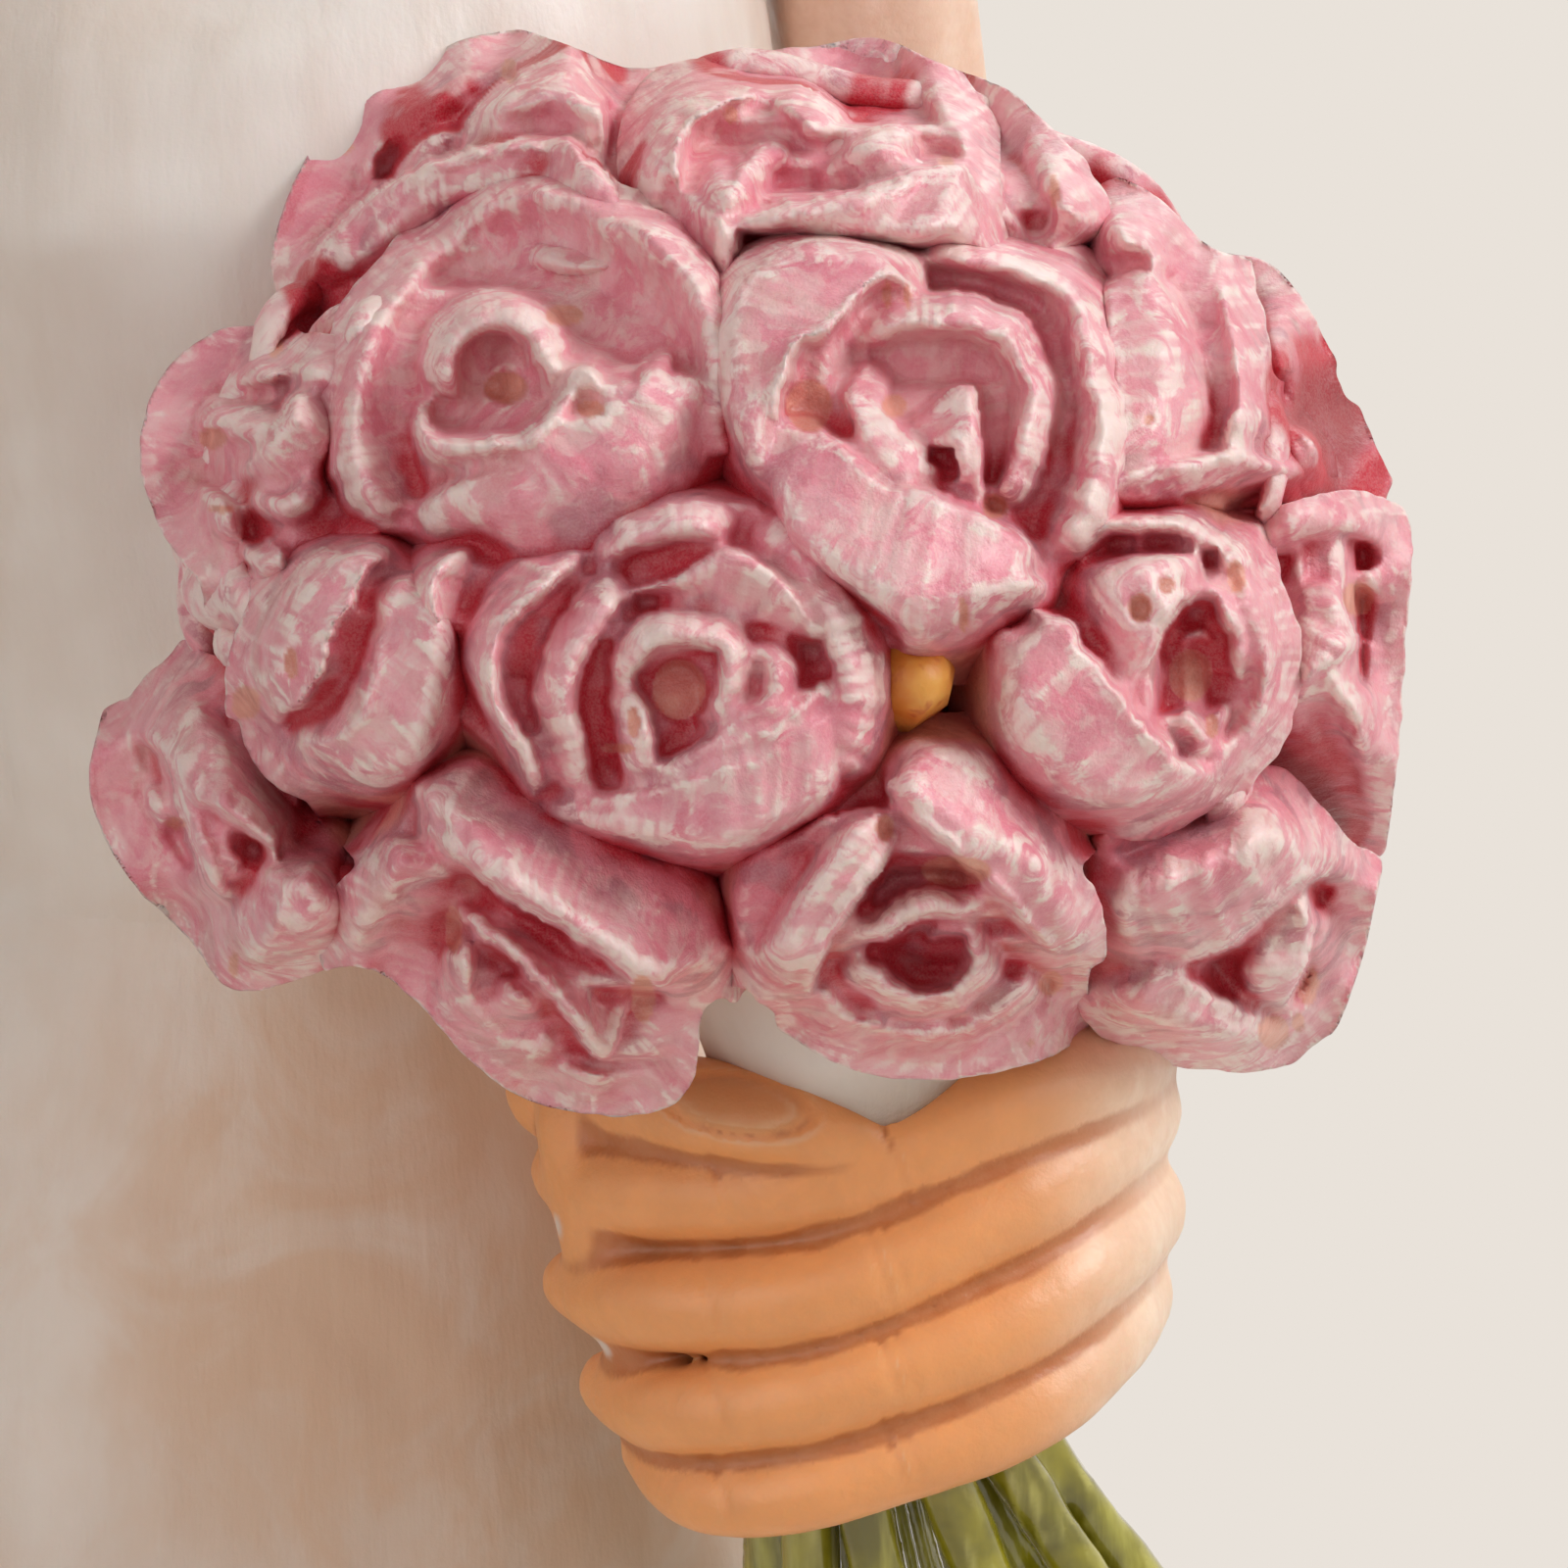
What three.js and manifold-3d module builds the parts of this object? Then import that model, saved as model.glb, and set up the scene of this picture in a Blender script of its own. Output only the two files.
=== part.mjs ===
// Wedding couple figurine in cast, hand-painted resin: a bride who holds a domed bouquet
// of roses in her left fist, and a groom at her right side, pinned to an oval plinth.
// Millimetres, +Z up, the couple faces -Y, origin at the centre of the underside.
import * as THREE from 'three';
import { mergeVertices } from 'three/addons/utils/BufferGeometryUtils.js';
import Module from 'manifold-3d';

const wasm = await Module();
wasm.setup();

// Clearance between pieces that are glued or pinned together
const seam = 0.3;

// Plinth and felt
const plinthLength = 120;
const plinthDepth = 84;
const plinthHeight = 8;
const plinthStepWidth = 4;
const plinthStepHeight = 3;
const plinthSides = 24;
const feltThickness = 1;
const feltInset = 2.5;
const deck = feltThickness + plinthHeight;

// Steel dowels that hold the figures on the plinth
const dowelRadius = 1.5;
const dowelIntoPlinth = 5;
const dowelIntoFigure = 9;
const dowelSides = 10;

// Where the two figures stand
const brideX = 18;
const brideY = -4;
const groomX = -19.5;
const groomY = 5;

// The bride from the plinth up, each length stacked on the one below it
const hipHeight = 88;
const hipToWaist = 17.5;
const waistToBust = 17.5;
const bustToNeckline = 6.5;
const necklineToShoulder = 6.5;
const brideShoulderToChin = 10.5;
const brideHeadHeight = 21.5;
const waistHeight = hipHeight + hipToWaist;
const bustHeight = waistHeight + waistToBust;
const necklineHeight = bustHeight + bustToNeckline;
const brideShoulderHeight = necklineHeight + necklineToShoulder;
const brideChinHeight = brideShoulderHeight + brideShoulderToChin;
const hemHalfWidth = 24;
const trainLength = 31;
const hipHalfWidth = 14.6;
const waistHalfWidth = 9.6;
const bustHalfWidth = 13.2;
const brideNeckRadius = 3.5;
const brideArmRadius = 3.1;
const brideOpenHand = 4.1;
const skirtFolds = 9;
const veilDrop = 37;
const veilWall = 0.9;
const veilFolds = 7;
const veilEdge = 1.5;

// The groom from the plinth up, stacked in the same way
const jacketHemHeight = 85;
const hemToGroomWaist = 24;
const groomWaistToChest = 21;
const groomChestToShoulder = 16.5;
const groomShoulderToChin = 9.5;
const groomHeadHeight = 23;
const groomWaistHeight = jacketHemHeight + hemToGroomWaist;
const groomChestHeight = groomWaistHeight + groomWaistToChest;
const groomShoulderHeight = groomChestHeight + groomChestToShoulder;
const groomChinHeight = groomShoulderHeight + groomShoulderToChin;
const groomChestHalfWidth = 16.4;
const groomStance = 5.6;
const groomNeckRadius = 4.2;
const sleeveRadius = 5;
const groomHand = 4.9;
const trouserHalfWidth = 4.2;
const trouserLift = 3.2;
const shoeLength = 19;
const shoeHalfWidth = 4;
const shoeHeight = 5;
const collarHeight = 3.8;
const bowHalfWidth = 4.6;
const lapelDepth = 1.3;
const lapelWidth = 4.2;
const lapelThickness = 0.6;
const wristReach = 0.8;

// Bouquet: its middle, the lean of its handle and the size of its dome of roses
const bouquetAside = 12.5;
const bouquetAhead = 18.5;
const bouquetAboveWaist = 10.5;
const handleLean = new THREE.Vector3(-0.19, -0.22, 0.957).normalize();
const coreRadius = 8.6;
const coreHeight = 6;
const domeRadius = 13.6;
const domeHeight = 10.4;
const handleRadius = 2.7;
const stemLength = 36;
const stemFlare = 2;
const stemBend = 3.6;
const stemCount = 9;
const cuffRadius = 9.6;
const cuffWall = 0.8;
const cuffDepth = 3.6;

// Rose: rings of overlapping petals round a rolled bud
const roseRadius = 4.4;
const petalsPerRing = 3;
const stepsPerPetal = 3;
const petalOverlap = 0.16;
const petalArch = 0.1;

// Bride's left fist, in the frame of the handle that it closes on
const fistDrop = 18.3;
const fistHalfWidth = 6.2;
const fistHalfDepth = 4.3;
const fingerRadius = 1.75;
const fingerPitch = 2.75;
const fingerCount = 4;
const fistTaper = 0.09;
const fistBelow = 6.6;

// Finishes
const resin = (color, roughness, metalness = 0) => ({ color, roughness, metalness });
const finishes = {
  gown: resin(0xefe8e2, 0.42),
  skin: resin(0xe0a878, 0.45),
  petal: resin(0xd08f92, 0.4),
  core: resin(0xc47a45, 0.5),
  stem: resin(0x6a5f1c, 0.3),
  cuff: resin(0xf0e8e0, 0.5),
  suit: resin(0x26262b, 0.5),
  shirt: resin(0xf2efea, 0.45),
  bow: resin(0x1c1c20, 0.35),
  brownHair: resin(0x6b4528, 0.5),
  darkHair: resin(0x3a271b, 0.5),
  veil: resin(0xf4f1ee, 0.4),
  plinth: resin(0xeee9e2, 0.4),
  felt: resin(0x4a4a46, 0.95),
  steel: resin(0xb8babd, 0.35, 1),
};

// A closed geometry becomes a solid once the vertices that its faces share are merged
function solid(geometry) {
  const bare = geometry.clone();
  bare.deleteAttribute('normal');
  bare.deleteAttribute('uv');
  const merged = mergeVertices(bare, 1e-4);
  return new wasm.Manifold(new wasm.Mesh({
    numProp: 3,
    vertProperties: Float32Array.from(merged.attributes.position.array),
    triVerts: Uint32Array.from(merged.index.array),
  }));
}

// Rings of points become a skin that is closed by a fan over each end
function loft(rings) {
  const around = rings[0].length;
  const middle = (ring) => ring.reduce((sum, p) => sum.add(p), new THREE.Vector3()).divideScalar(around);
  const points = [...rings.flat(), middle(rings[0]), middle(rings[rings.length - 1])];
  const foot = points.length - 2;
  const crown = points.length - 1;
  const faces = [];
  for (let j = 0; j < around; j += 1) {
    const next = (j + 1) % around;
    faces.push(foot, next, j);
    for (let i = 0; i < rings.length - 1; i += 1) {
      const low = i * around;
      const high = low + around;
      faces.push(low + j, low + next, high + next, low + j, high + next, high + j);
    }
    const last = (rings.length - 1) * around;
    faces.push(crown, last + j, last + next);
  }
  const geometry = new THREE.BufferGeometry();
  geometry.setAttribute('position', new THREE.Float32BufferAttribute(points.flatMap((p) => p.toArray()), 3));
  geometry.setIndex(faces);
  return solid(geometry);
}

// A level slice of a body: an oval that is deeper or shallower in front than behind.
// wave(angle) scales it for folds, and lift(angle) raises its edge for a shaped hem.
function slice({ x = 0, y = 0, z, half, front, back, wave = () => 1, lift = () => 0 }, around, grow) {
  return Array.from({ length: around }, (_, j) => {
    const angle = (2 * Math.PI * j) / around;
    const scale = wave(angle);
    const depth = (Math.sin(angle) < 0 ? front : back) * scale + grow;
    return new THREE.Vector3(
      x + (half * scale + grow) * Math.cos(angle),
      y + depth * Math.sin(angle),
      z + lift(angle),
    );
  });
}

function body(slices, { around = 20, grow = 0, x = 0, y = 0 } = {}) {
  const rings = slices.map((s) => slice(s, around, grow));
  const first = rings[0];
  const last = rings[rings.length - 1];
  first.forEach((p) => p.setZ(p.z - grow));
  last.forEach((p) => p.setZ(p.z + grow));
  return loft(rings).translate([x, y, 0]);
}

// A limb: a tube of changing radius along a smooth curve, rounded at both ends
function limb(points, radii, { sides = 10, steps = 10, grow = 0, flat = 1, flatAxis = null } = {}) {
  const curve = new THREE.CatmullRomCurve3(points.map((p) => new THREE.Vector3(...p)), false, 'centripetal');
  const frames = curve.computeFrenetFrames(steps, false);
  const radiusAt = (t) => {
    const place = t * (radii.length - 1);
    const k = Math.min(Math.floor(place), radii.length - 2);
    return THREE.MathUtils.lerp(radii[k], radii[k + 1], place - k) + grow;
  };
  const ring = (t, frame, scale, push) => {
    const centre = curve.getPointAt(t).addScaledVector(frames.tangents[frame], push);
    return Array.from({ length: sides }, (_, j) => {
      const angle = (2 * Math.PI * j) / sides;
      const arm = new THREE.Vector3()
        .addScaledVector(frames.normals[frame], Math.cos(angle))
        .addScaledVector(frames.binormals[frame], Math.sin(angle))
        .multiplyScalar(radiusAt(t) * scale);
      if (flatAxis) arm.addScaledVector(flatAxis, (flat - 1) * arm.dot(flatAxis));
      return centre.clone().add(arm);
    });
  };
  const rings = [ring(0, 0, 0.55, -0.75 * radiusAt(0))];
  for (let i = 0; i <= steps; i += 1) rings.push(ring(i / steps, i, 1, 0));
  rings.push(ring(1, steps, 0.55, 0.75 * radiusAt(1)));
  return loft(rings);
}

const join = (solids) => solids.reduce((whole, next) => whole.add(next));
const cut = (whole, ...tools) => tools.reduce((left, tool) => left.subtract(tool), whole);
const largest = (whole) => whole.decompose().sort((a, b) => b.volume() - a.volume())[0];
const ellipsoid = (x, y, z, rx, ry, rz, around = 16) => solid(
  new THREE.SphereGeometry(1, around, around / 2).rotateX(Math.PI / 2).scale(rx, ry, rz).translate(x, y, z),
);
const block = (x0, x1, y0, y1, z0, z1) => solid(
  new THREE.BoxGeometry(x1 - x0, y1 - y0, z1 - z0).translate((x0 + x1) / 2, (y0 + y1) / 2, (z0 + z1) / 2),
);

const figurine = new THREE.Group();

function addPiece(name, whole, finish) {
  const { vertProperties, triVerts } = whole.getMesh();
  const geometry = new THREE.BufferGeometry();
  geometry.setAttribute('position', new THREE.BufferAttribute(vertProperties, 3));
  geometry.setIndex(new THREE.BufferAttribute(triVerts, 1));
  geometry.computeVertexNormals();
  const mesh = new THREE.Mesh(geometry, new THREE.MeshStandardMaterial(finish));
  mesh.name = name;
  figurine.add(mesh);
}

// Plinth, felt and dowels

function turned(profile) {
  const geometry = new THREE.LatheGeometry(profile.map(([r, z]) => new THREE.Vector2(r, z)), plinthSides);
  return geometry.rotateX(Math.PI / 2);
}

const dowel = (x, y, grow) => solid(
  new THREE.CylinderGeometry(dowelRadius + grow, dowelRadius + grow, dowelIntoPlinth + dowelIntoFigure + 2 * grow, dowelSides)
    .rotateX(Math.PI / 2).translate(x, y, deck + (dowelIntoFigure - dowelIntoPlinth) / 2),
);
const dowelPlaces = {
  bride_dowel: [brideX, brideY],
  groom_left_dowel: [groomX + groomStance, groomY],
  groom_right_dowel: [groomX - groomStance, groomY],
};
const dowels = (grow) => Object.values(dowelPlaces).map(([x, y]) => dowel(x, y, grow));

function plinth() {
  const half = plinthLength / 2;
  const top = half - plinthStepWidth;
  const stepTop = feltThickness + plinthStepHeight;
  return solid(turned([
    [0, feltThickness],
    [half, feltThickness],
    [half, stepTop - 0.8],
    [half - 0.8, stepTop],
    [top, stepTop + 1.2],
    [top, deck - 1],
    [top - 1, deck],
    [0, deck],
  ]).scale(1, plinthDepth / plinthLength, 1));
}

function felt() {
  const half = plinthLength / 2 - feltInset;
  const squash = (plinthDepth / 2 - feltInset) / half;
  return solid(turned([[0, 0], [half, 0], [half, feltThickness], [0, feltThickness]]).scale(1, squash, 1));
}

// Bride's gown, body and head

const above = (height) => deck + height;
const foldWave = (depth, count, turn) => (angle) => 1 + depth * Math.cos(count * angle + turn);

// A ring of a figure: its half width, then its reach to the front and the back as shares of it
const girth = (z, half, front, back, more = {}) => ({ z, half, front: half * front, back: half * back, ...more });

function skirt(grow = 0) {
  const fold = (depth) => ({ wave: foldWave(depth, skirtFolds, 0.6) });
  const train = trainLength / hemHalfWidth;
  return body([
    girth(deck, hemHalfWidth, 0.94, train, fold(0.045)),
    girth(above(0.06 * hipHeight), hemHalfWidth * 0.95, 0.93, train * 0.97, fold(0.045)),
    girth(above(0.23 * hipHeight), hemHalfWidth * 0.85, 0.9, train * 0.87, fold(0.036)),
    girth(above(0.48 * hipHeight), hipHalfWidth * 1.19, 0.84, 0.98, fold(0.026)),
    girth(above(0.75 * hipHeight), hipHalfWidth * 1.04, 0.79, 0.9, fold(0.014)),
    girth(above(hipHeight), hipHalfWidth, 0.75, 0.86),
    girth(above(hipHeight + 0.57 * hipToWaist), waistHalfWidth * 1.23, 0.8, 0.81),
    girth(above(waistHeight) - seam, waistHalfWidth, 0.81, 0.77),
  ], { around: 27, grow, x: brideX, y: brideY });
}

// The bodice starts flush with the skirt and ends in a heart-shaped neckline
function bodice(grow = 0) {
  const rise = 0.34 * bustToNeckline;
  const sweetheart = (angle) => (
    Math.sin(angle) < 0 ? rise * Math.abs(Math.sin(2 * angle)) - 0.27 * rise : -1.1 * rise * Math.sin(angle)
  );
  return body([
    girth(above(waistHeight), waistHalfWidth, 0.81, 0.77),
    girth(above(waistHeight + 0.34 * waistToBust), waistHalfWidth * 1.08, 0.83, 0.74),
    girth(above(bustHeight - 0.29 * waistToBust), bustHalfWidth * 0.92, 0.85, 0.66),
    girth(above(bustHeight), bustHalfWidth, 0.89, 0.61),
    girth(above(bustHeight + 0.62 * bustToNeckline), bustHalfWidth * 0.985, 0.83, 0.6),
    girth(above(necklineHeight), bustHalfWidth * 0.955, 0.73, 0.6, { lift: sweetheart }),
  ], { around: 20, grow, x: brideX, y: brideY });
}

function brideShoulders(grow = 0) {
  const neckStart = brideShoulderHeight + 0.62 * brideShoulderToChin;
  return body([
    girth(above(bustHeight - 0.4 * waistToBust), bustHalfWidth * 0.73, 0.75, 0.63),
    girth(above(bustHeight + 0.31 * bustToNeckline), bustHalfWidth * 0.88, 0.83, 0.59),
    girth(above(necklineHeight), bustHalfWidth * 0.91, 0.68, 0.57),
    girth(above(brideShoulderHeight - 0.31 * necklineToShoulder), bustHalfWidth * 0.985, 0.49, 0.48),
    girth(above(brideShoulderHeight + 0.19 * brideShoulderToChin), bustHalfWidth * 0.94, 0.4, 0.44),
    girth(above(brideShoulderHeight + 0.43 * brideShoulderToChin), bustHalfWidth * 0.64, 0.5, 0.57),
    girth(above(neckStart), brideNeckRadius * 1.26, 0.84, 0.91),
    girth(above(brideChinHeight - 0.19 * brideShoulderToChin), brideNeckRadius, 0.97, 1.03),
    girth(above(brideChinHeight) + 0.19 * brideHeadHeight, brideNeckRadius, 0.91, 0.97),
  ], { around: 16, grow, x: brideX, y: brideY });
}

// Head: rings from the chin to the crown, as shares of the head's height, then a nose and ears
function head(height, x, y, chin, grow = 0) {
  const h = height;
  const rings = [
    [0, -0.2, 0.11, 0.1, 0.16],
    [0.08, -0.14, 0.2, 0.22, 0.22],
    [0.2, 0, 0.28, 0.38, 0.22],
    [0.34, 0, 0.325, 0.38, 0.36],
    [0.5, 0, 0.345, 0.375, 0.44],
    [0.68, 0, 0.35, 0.38, 0.46],
    [0.84, 0, 0.31, 0.33, 0.41],
    [0.95, 0, 0.2, 0.22, 0.28],
    [1, 0.02, 0.08, 0.08, 0.12],
  ];
  const skull = body(
    rings.map(([z, cy, half, front, back]) => (
      { z: chin + z * h, y: cy * h, half: half * h, front: front * h, back: back * h }
    )),
    { around: 12, grow },
  );
  const nose = limb(
    [[0, -0.36 * h, chin + 0.5 * h], [0, -0.4 * h, chin + 0.4 * h], [0, -0.43 * h, chin + 0.33 * h]],
    [0.03 * h, 0.04 * h, 0.052 * h],
    { sides: 5, steps: 2, grow },
  );
  const ear = (side) => ellipsoid(
    side * 0.35 * h, 0.04 * h, chin + 0.4 * h, 0.035 * h + grow, 0.07 * h + grow, 0.105 * h + grow, 6,
  );
  return join([skull, nose, ear(-1), ear(1)]).translate([x, y, 0]);
}

const brideChin = above(brideChinHeight);
const brideHeadY = brideY - 1;
const brideHead = (grow = 0) => head(brideHeadHeight, brideX, brideHeadY, brideChin, grow);

// Hair swept back from the brow into a low bun
function brideHair(grow = 0) {
  const h = brideHeadHeight;
  const cap = ellipsoid(0, 0.1 * h, brideChin + 0.63 * h, 0.41 * h + grow, 0.47 * h + grow, 0.45 * h + grow, 14);
  const bun = ellipsoid(0, 0.52 * h, brideChin + 0.42 * h, 0.21 * h + grow, 0.17 * h + grow, 0.19 * h + grow, 10);
  const face = ellipsoid(0, -0.52 * h, brideChin + 0.32 * h, 0.34 * h - grow, 0.46 * h - grow, 0.5 * h - grow, 12);
  return cut(join([cap, bun]), face).translate([brideX, brideHeadY, 0]);
}

// Short veil: the back half of a thin bell that hangs from the comb above the bun
function veil() {
  const top = brideChin + 0.88 * brideHeadHeight;
  const half = 0.54 * brideHeadHeight;
  const bell = (wall, below) => {
    const ring = (drop, width, back, ripple) => ({
      z: top - drop, half: width * half - wall, front: 0.5 * half, back: back * half - wall,
      wave: foldWave(ripple, veilFolds, 0.3),
    });
    return body([
      ring(veilDrop + below, 1, 1.07, 0.05),
      ring(0.62 * veilDrop, 0.84, 1.16, 0.04),
      ring(0.28 * veilDrop, 0.64, 1.21, 0.02),
      ring(wall, 0.4, 0.83, 0),
    ], { around: 14, x: brideX, y: brideY });
  };
  const reach = 2 * veilDrop;
  const front = block(brideX - reach, brideX + reach, brideY - reach, brideY + veilEdge, top - 2 * reach, top + reach);
  return cut(bell(0, 0), bell(veilWall, 2 * veilWall), front);
}

// Bride's arms and her left fist

const handleMiddle = new THREE.Vector3(
  brideX + bouquetAside, brideY - bouquetAhead, above(waistHeight + bouquetAboveWaist),
);
const handleRight = new THREE.Vector3(1, 0, 0).addScaledVector(handleLean, -handleLean.x).normalize();
const handleFront = handleRight.clone().cross(handleLean);
const handleFrame = new THREE.Matrix4().makeBasis(handleRight, handleFront.clone().negate(), handleLean)
  .setPosition(handleMiddle);

// The plain round way that the gathered stems take through the cuff, the core and the fist
const handleBore = () => onHandle(limb(
  [[0, 0, 0], [0, 0, -stemLength * 0.35], [0, 0, -stemLength * 0.7]],
  [handleRadius, handleRadius],
  { sides: 12, steps: 2, grow: seam },
));

// A solid made in the handle's frame (x right, y back, z along the handle) goes to its place
const onHandle = (whole) => whole.transform(handleFrame.elements.slice());
const placeOnHandle = (x, y, z) => new THREE.Vector3(x, y, z).applyMatrix4(handleFrame).toArray();

function fingerPath(k) {
  const shrink = 1 - fistTaper * k;
  const level = -fistDrop + fingerPitch * ((fingerCount - 1) / 2 - k - 0.18);
  const reach = [100, 62, 25, -15, -55, -95];
  return reach.map((degrees) => {
    const a = THREE.MathUtils.degToRad(degrees);
    return [
      fistHalfWidth * (shrink * Math.sin(a) - 0.03 * k),
      -fistHalfDepth * shrink * Math.cos(a),
      level + 0.33 * fingerPitch * Math.sin(a),
    ];
  });
}

function leftFist(grow = 0) {
  const fingers = Array.from({ length: fingerCount }, (_, k) => (
    limb(fingerPath(k), [1.06, 1, k === fingerCount - 1 ? 0.91 : 1].map((share) => share * fingerRadius), {
      sides: 5, steps: 5, grow,
    })
  ));
  const w = fistHalfWidth;
  const d = fistHalfDepth;
  const inFist = (x, y, z) => [x * w, y * d, z * w - fistDrop];
  const palm = ellipsoid(...inFist(-0.06, 0.14, -0.1), 0.87 * w + grow, 0.98 * d + grow, 0.9 * w + grow, 8);
  const back = limb(
    [inFist(0.84, 0.12, 0), inFist(0.71, 0.93, -0.1), inFist(0.42, 1.95, -0.06)],
    [0.71 * w, 0.61 * w, 0.37 * w],
    { sides: 8, steps: 4, grow },
  );
  const thumb = limb(
    [inFist(-0.74, 0.7, 0.39), inFist(-1.06, -0.14, 0.68), inFist(-0.77, -0.91, 0.79), inFist(-0.19, -1.16, 0.79)],
    [1.09, 1.03, 0.91, 0.74].map((share) => share * fingerRadius),
    { sides: 6, steps: 5, grow },
  );
  return onHandle(join([...fingers, palm, back, thumb]));
}

function stems(grow = 0) {
  const rings = 9;
  const around = stemCount * 2;
  const top = coreHeight * -0.62;
  const boundShare = (fistDrop + fistBelow + top) / (stemLength + top);
  return onHandle(loft(Array.from({ length: rings }, (_, i) => {
    const t = 1 - i / (rings - 1);
    const loose = Math.max(0, (t - boundShare) / (1 - boundShare));
    const flare = 1 + (stemFlare - 1) * loose ** 0.9;
    const bend = stemBend * loose ** 1.8;
    return Array.from({ length: around }, (__, j) => {
      const angle = (2 * Math.PI * j) / around;
      const ridge = j % 2 ? 1 : 0.84;
      const radius = handleRadius * flare * ridge + grow;
      const end = i === 0 ? -grow : (i === rings - 1 ? grow : 0);
      return new THREE.Vector3(
        bend + radius * Math.cos(angle), radius * Math.sin(angle), top - (stemLength + top) * t + end,
      );
    });
  })));
}

const wrist = placeOnHandle(0.39 * fistHalfWidth, 2.23 * fistHalfDepth, -fistDrop - 0.05 * fistHalfWidth);
const leftElbow = [brideX + 1.39 * bustHalfWidth, brideY + 0.68 * bustHalfWidth, above(waistHeight + 0.5)];

// The arm's radius from the shoulder to the wrist
const leftArmShares = [1.03, 0.9, 0.84, 0.82, 0.66];
const rightArmShares = [1, 0.9, 0.8, 0.76, 0.68, 0.54];
const brideArm = (points, shares, grow) => (
  limb(points, shares.map((share) => share * brideArmRadius), { sides: 9, steps: 9, grow })
);

function brideLeftArm(grow = 0) {
  const shoulder = [brideX + 1.09 * bustHalfWidth, brideY + 0.5, above(brideShoulderHeight - 1.6)];
  const middle = [brideX + 1.23 * bustHalfWidth, brideY + 3.2, (above(brideShoulderHeight) + leftElbow[2]) / 2 + 2];
  const forearm = leftElbow.map((v, i) => (v + wrist[i]) / 2);
  return brideArm([shoulder, middle, leftElbow, forearm, wrist], leftArmShares, grow);
}

// An open hand: a flat palm and four fingers side by side, with the thumb apart
function openHand({ at, along, across, size }, grow = 0) {
  const normal = along.clone().cross(across);
  const place = (a, b, c) => at.clone().addScaledVector(along, a * size).addScaledVector(across, b * size)
    .addScaledVector(normal, c * size).toArray();
  const finger = (k) => {
    const side = (k - 1.5) * 0.26;
    const length = [0.92, 1.06, 1, 0.8][k];
    return limb(
      [place(0.3, side, 0), place(0.9, side * 1.15, 0.06), place(0.75 + length * 0.62, side * 1.1, -0.06)],
      [0.15 * size, 0.14 * size, 0.1 * size],
      { sides: 4, steps: 1, grow },
    );
  };
  const palm = limb(
    [place(-0.6, 0, 0), place(0.1, 0, 0.02), place(0.62, 0, 0)],
    [0.3 * size, 0.52 * size, 0.5 * size],
    { sides: 6, steps: 3, grow, flat: 0.42, flatAxis: normal },
  );
  const thumb = limb(
    [place(-0.1, 0.34, 0), place(0.25, 0.66, -0.08), place(0.66, 0.72, -0.1)],
    [0.17 * size, 0.16 * size, 0.11 * size],
    { sides: 4, steps: 1, grow },
  );
  return join([palm, thumb, ...[0, 1, 2, 3].map(finger)]);
}

const vector = (x, y, z) => new THREE.Vector3(x, y, z);
const chestFront = groomY - 0.67 * groomChestHalfWidth;
const brideRightHandPose = {
  at: vector(groomX + 0.44 * groomChestHalfWidth, chestFront - 1.7, above(groomChestHeight - 1)),
  along: vector(-0.86, 0.12, 0.5).normalize(),
  across: vector(0.5, 0, 0.86).normalize(),
  size: brideOpenHand,
};

function brideRightArm(grow = 0) {
  const { at, along, size } = brideRightHandPose;
  const hand = at.clone().addScaledVector(along, -0.9 * size);
  const shoulder = vector(brideX - 1.09 * bustHalfWidth, brideY, above(brideShoulderHeight - 1.6));
  const elbow = vector(brideX - 1.29 * bustHalfWidth, brideY - 0.95 * bustHalfWidth, above(bustHeight - 8));
  const upper = shoulder.clone().lerp(elbow, 0.45);
  const bends = [shoulder.clone().lerp(elbow, 0.8), hand.clone().lerp(elbow, 0.72)];
  const forearm = hand.clone().lerp(elbow, 0.3);
  const points = [shoulder, upper, ...bends, forearm, hand].map((point) => point.toArray());
  return brideArm(points, rightArmShares, grow);
}

// Bouquet: a domed core, a paper cuff under it, and roses that stand square to the dome

// Where each rose sits on the dome: polar is the angle down from the handle's line, and turn
// goes round it from the front towards the viewer's right. size scales the rose.
const rosePlan = [
  { polar: 32, turn: -28, size: 1.06 },
  { polar: 46, turn: 31, size: 1.04 },
  { polar: 71, turn: -6, size: 1 },
  { polar: 40, turn: -118, size: 1 },
  { polar: 10, turn: 110, size: 0.98 },
  { polar: 38, turn: 112, size: 0.86 },
  { polar: 57, turn: 72, size: 0.9 },
  { polar: 56, turn: -76, size: 0.86 },
  { polar: 72, turn: -43, size: 0.9 },
  { polar: 98, turn: -74, size: 0.98 },
  { polar: 112, turn: -28, size: 1.04 },
  { polar: 112, turn: 14, size: 1.02 },
  { polar: 88, turn: 45, size: 0.96 },
  { polar: 104, turn: 82, size: 0.98 },
  { polar: 126, turn: 52, size: 0.94 },
  { polar: 76, turn: 104, size: 0.86 },
  { polar: 72, turn: -112, size: 0.9 },
  { polar: 54, turn: 160, size: 0.95 },
  { polar: 72, turn: 134, size: 0.9 },
  { polar: 108, turn: 118, size: 0.95 },
  { polar: 58, turn: -150, size: 0.85 },
  { polar: 90, turn: 152, size: 0.85 },
  { polar: 108, turn: -112, size: 0.85 },
];

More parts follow.
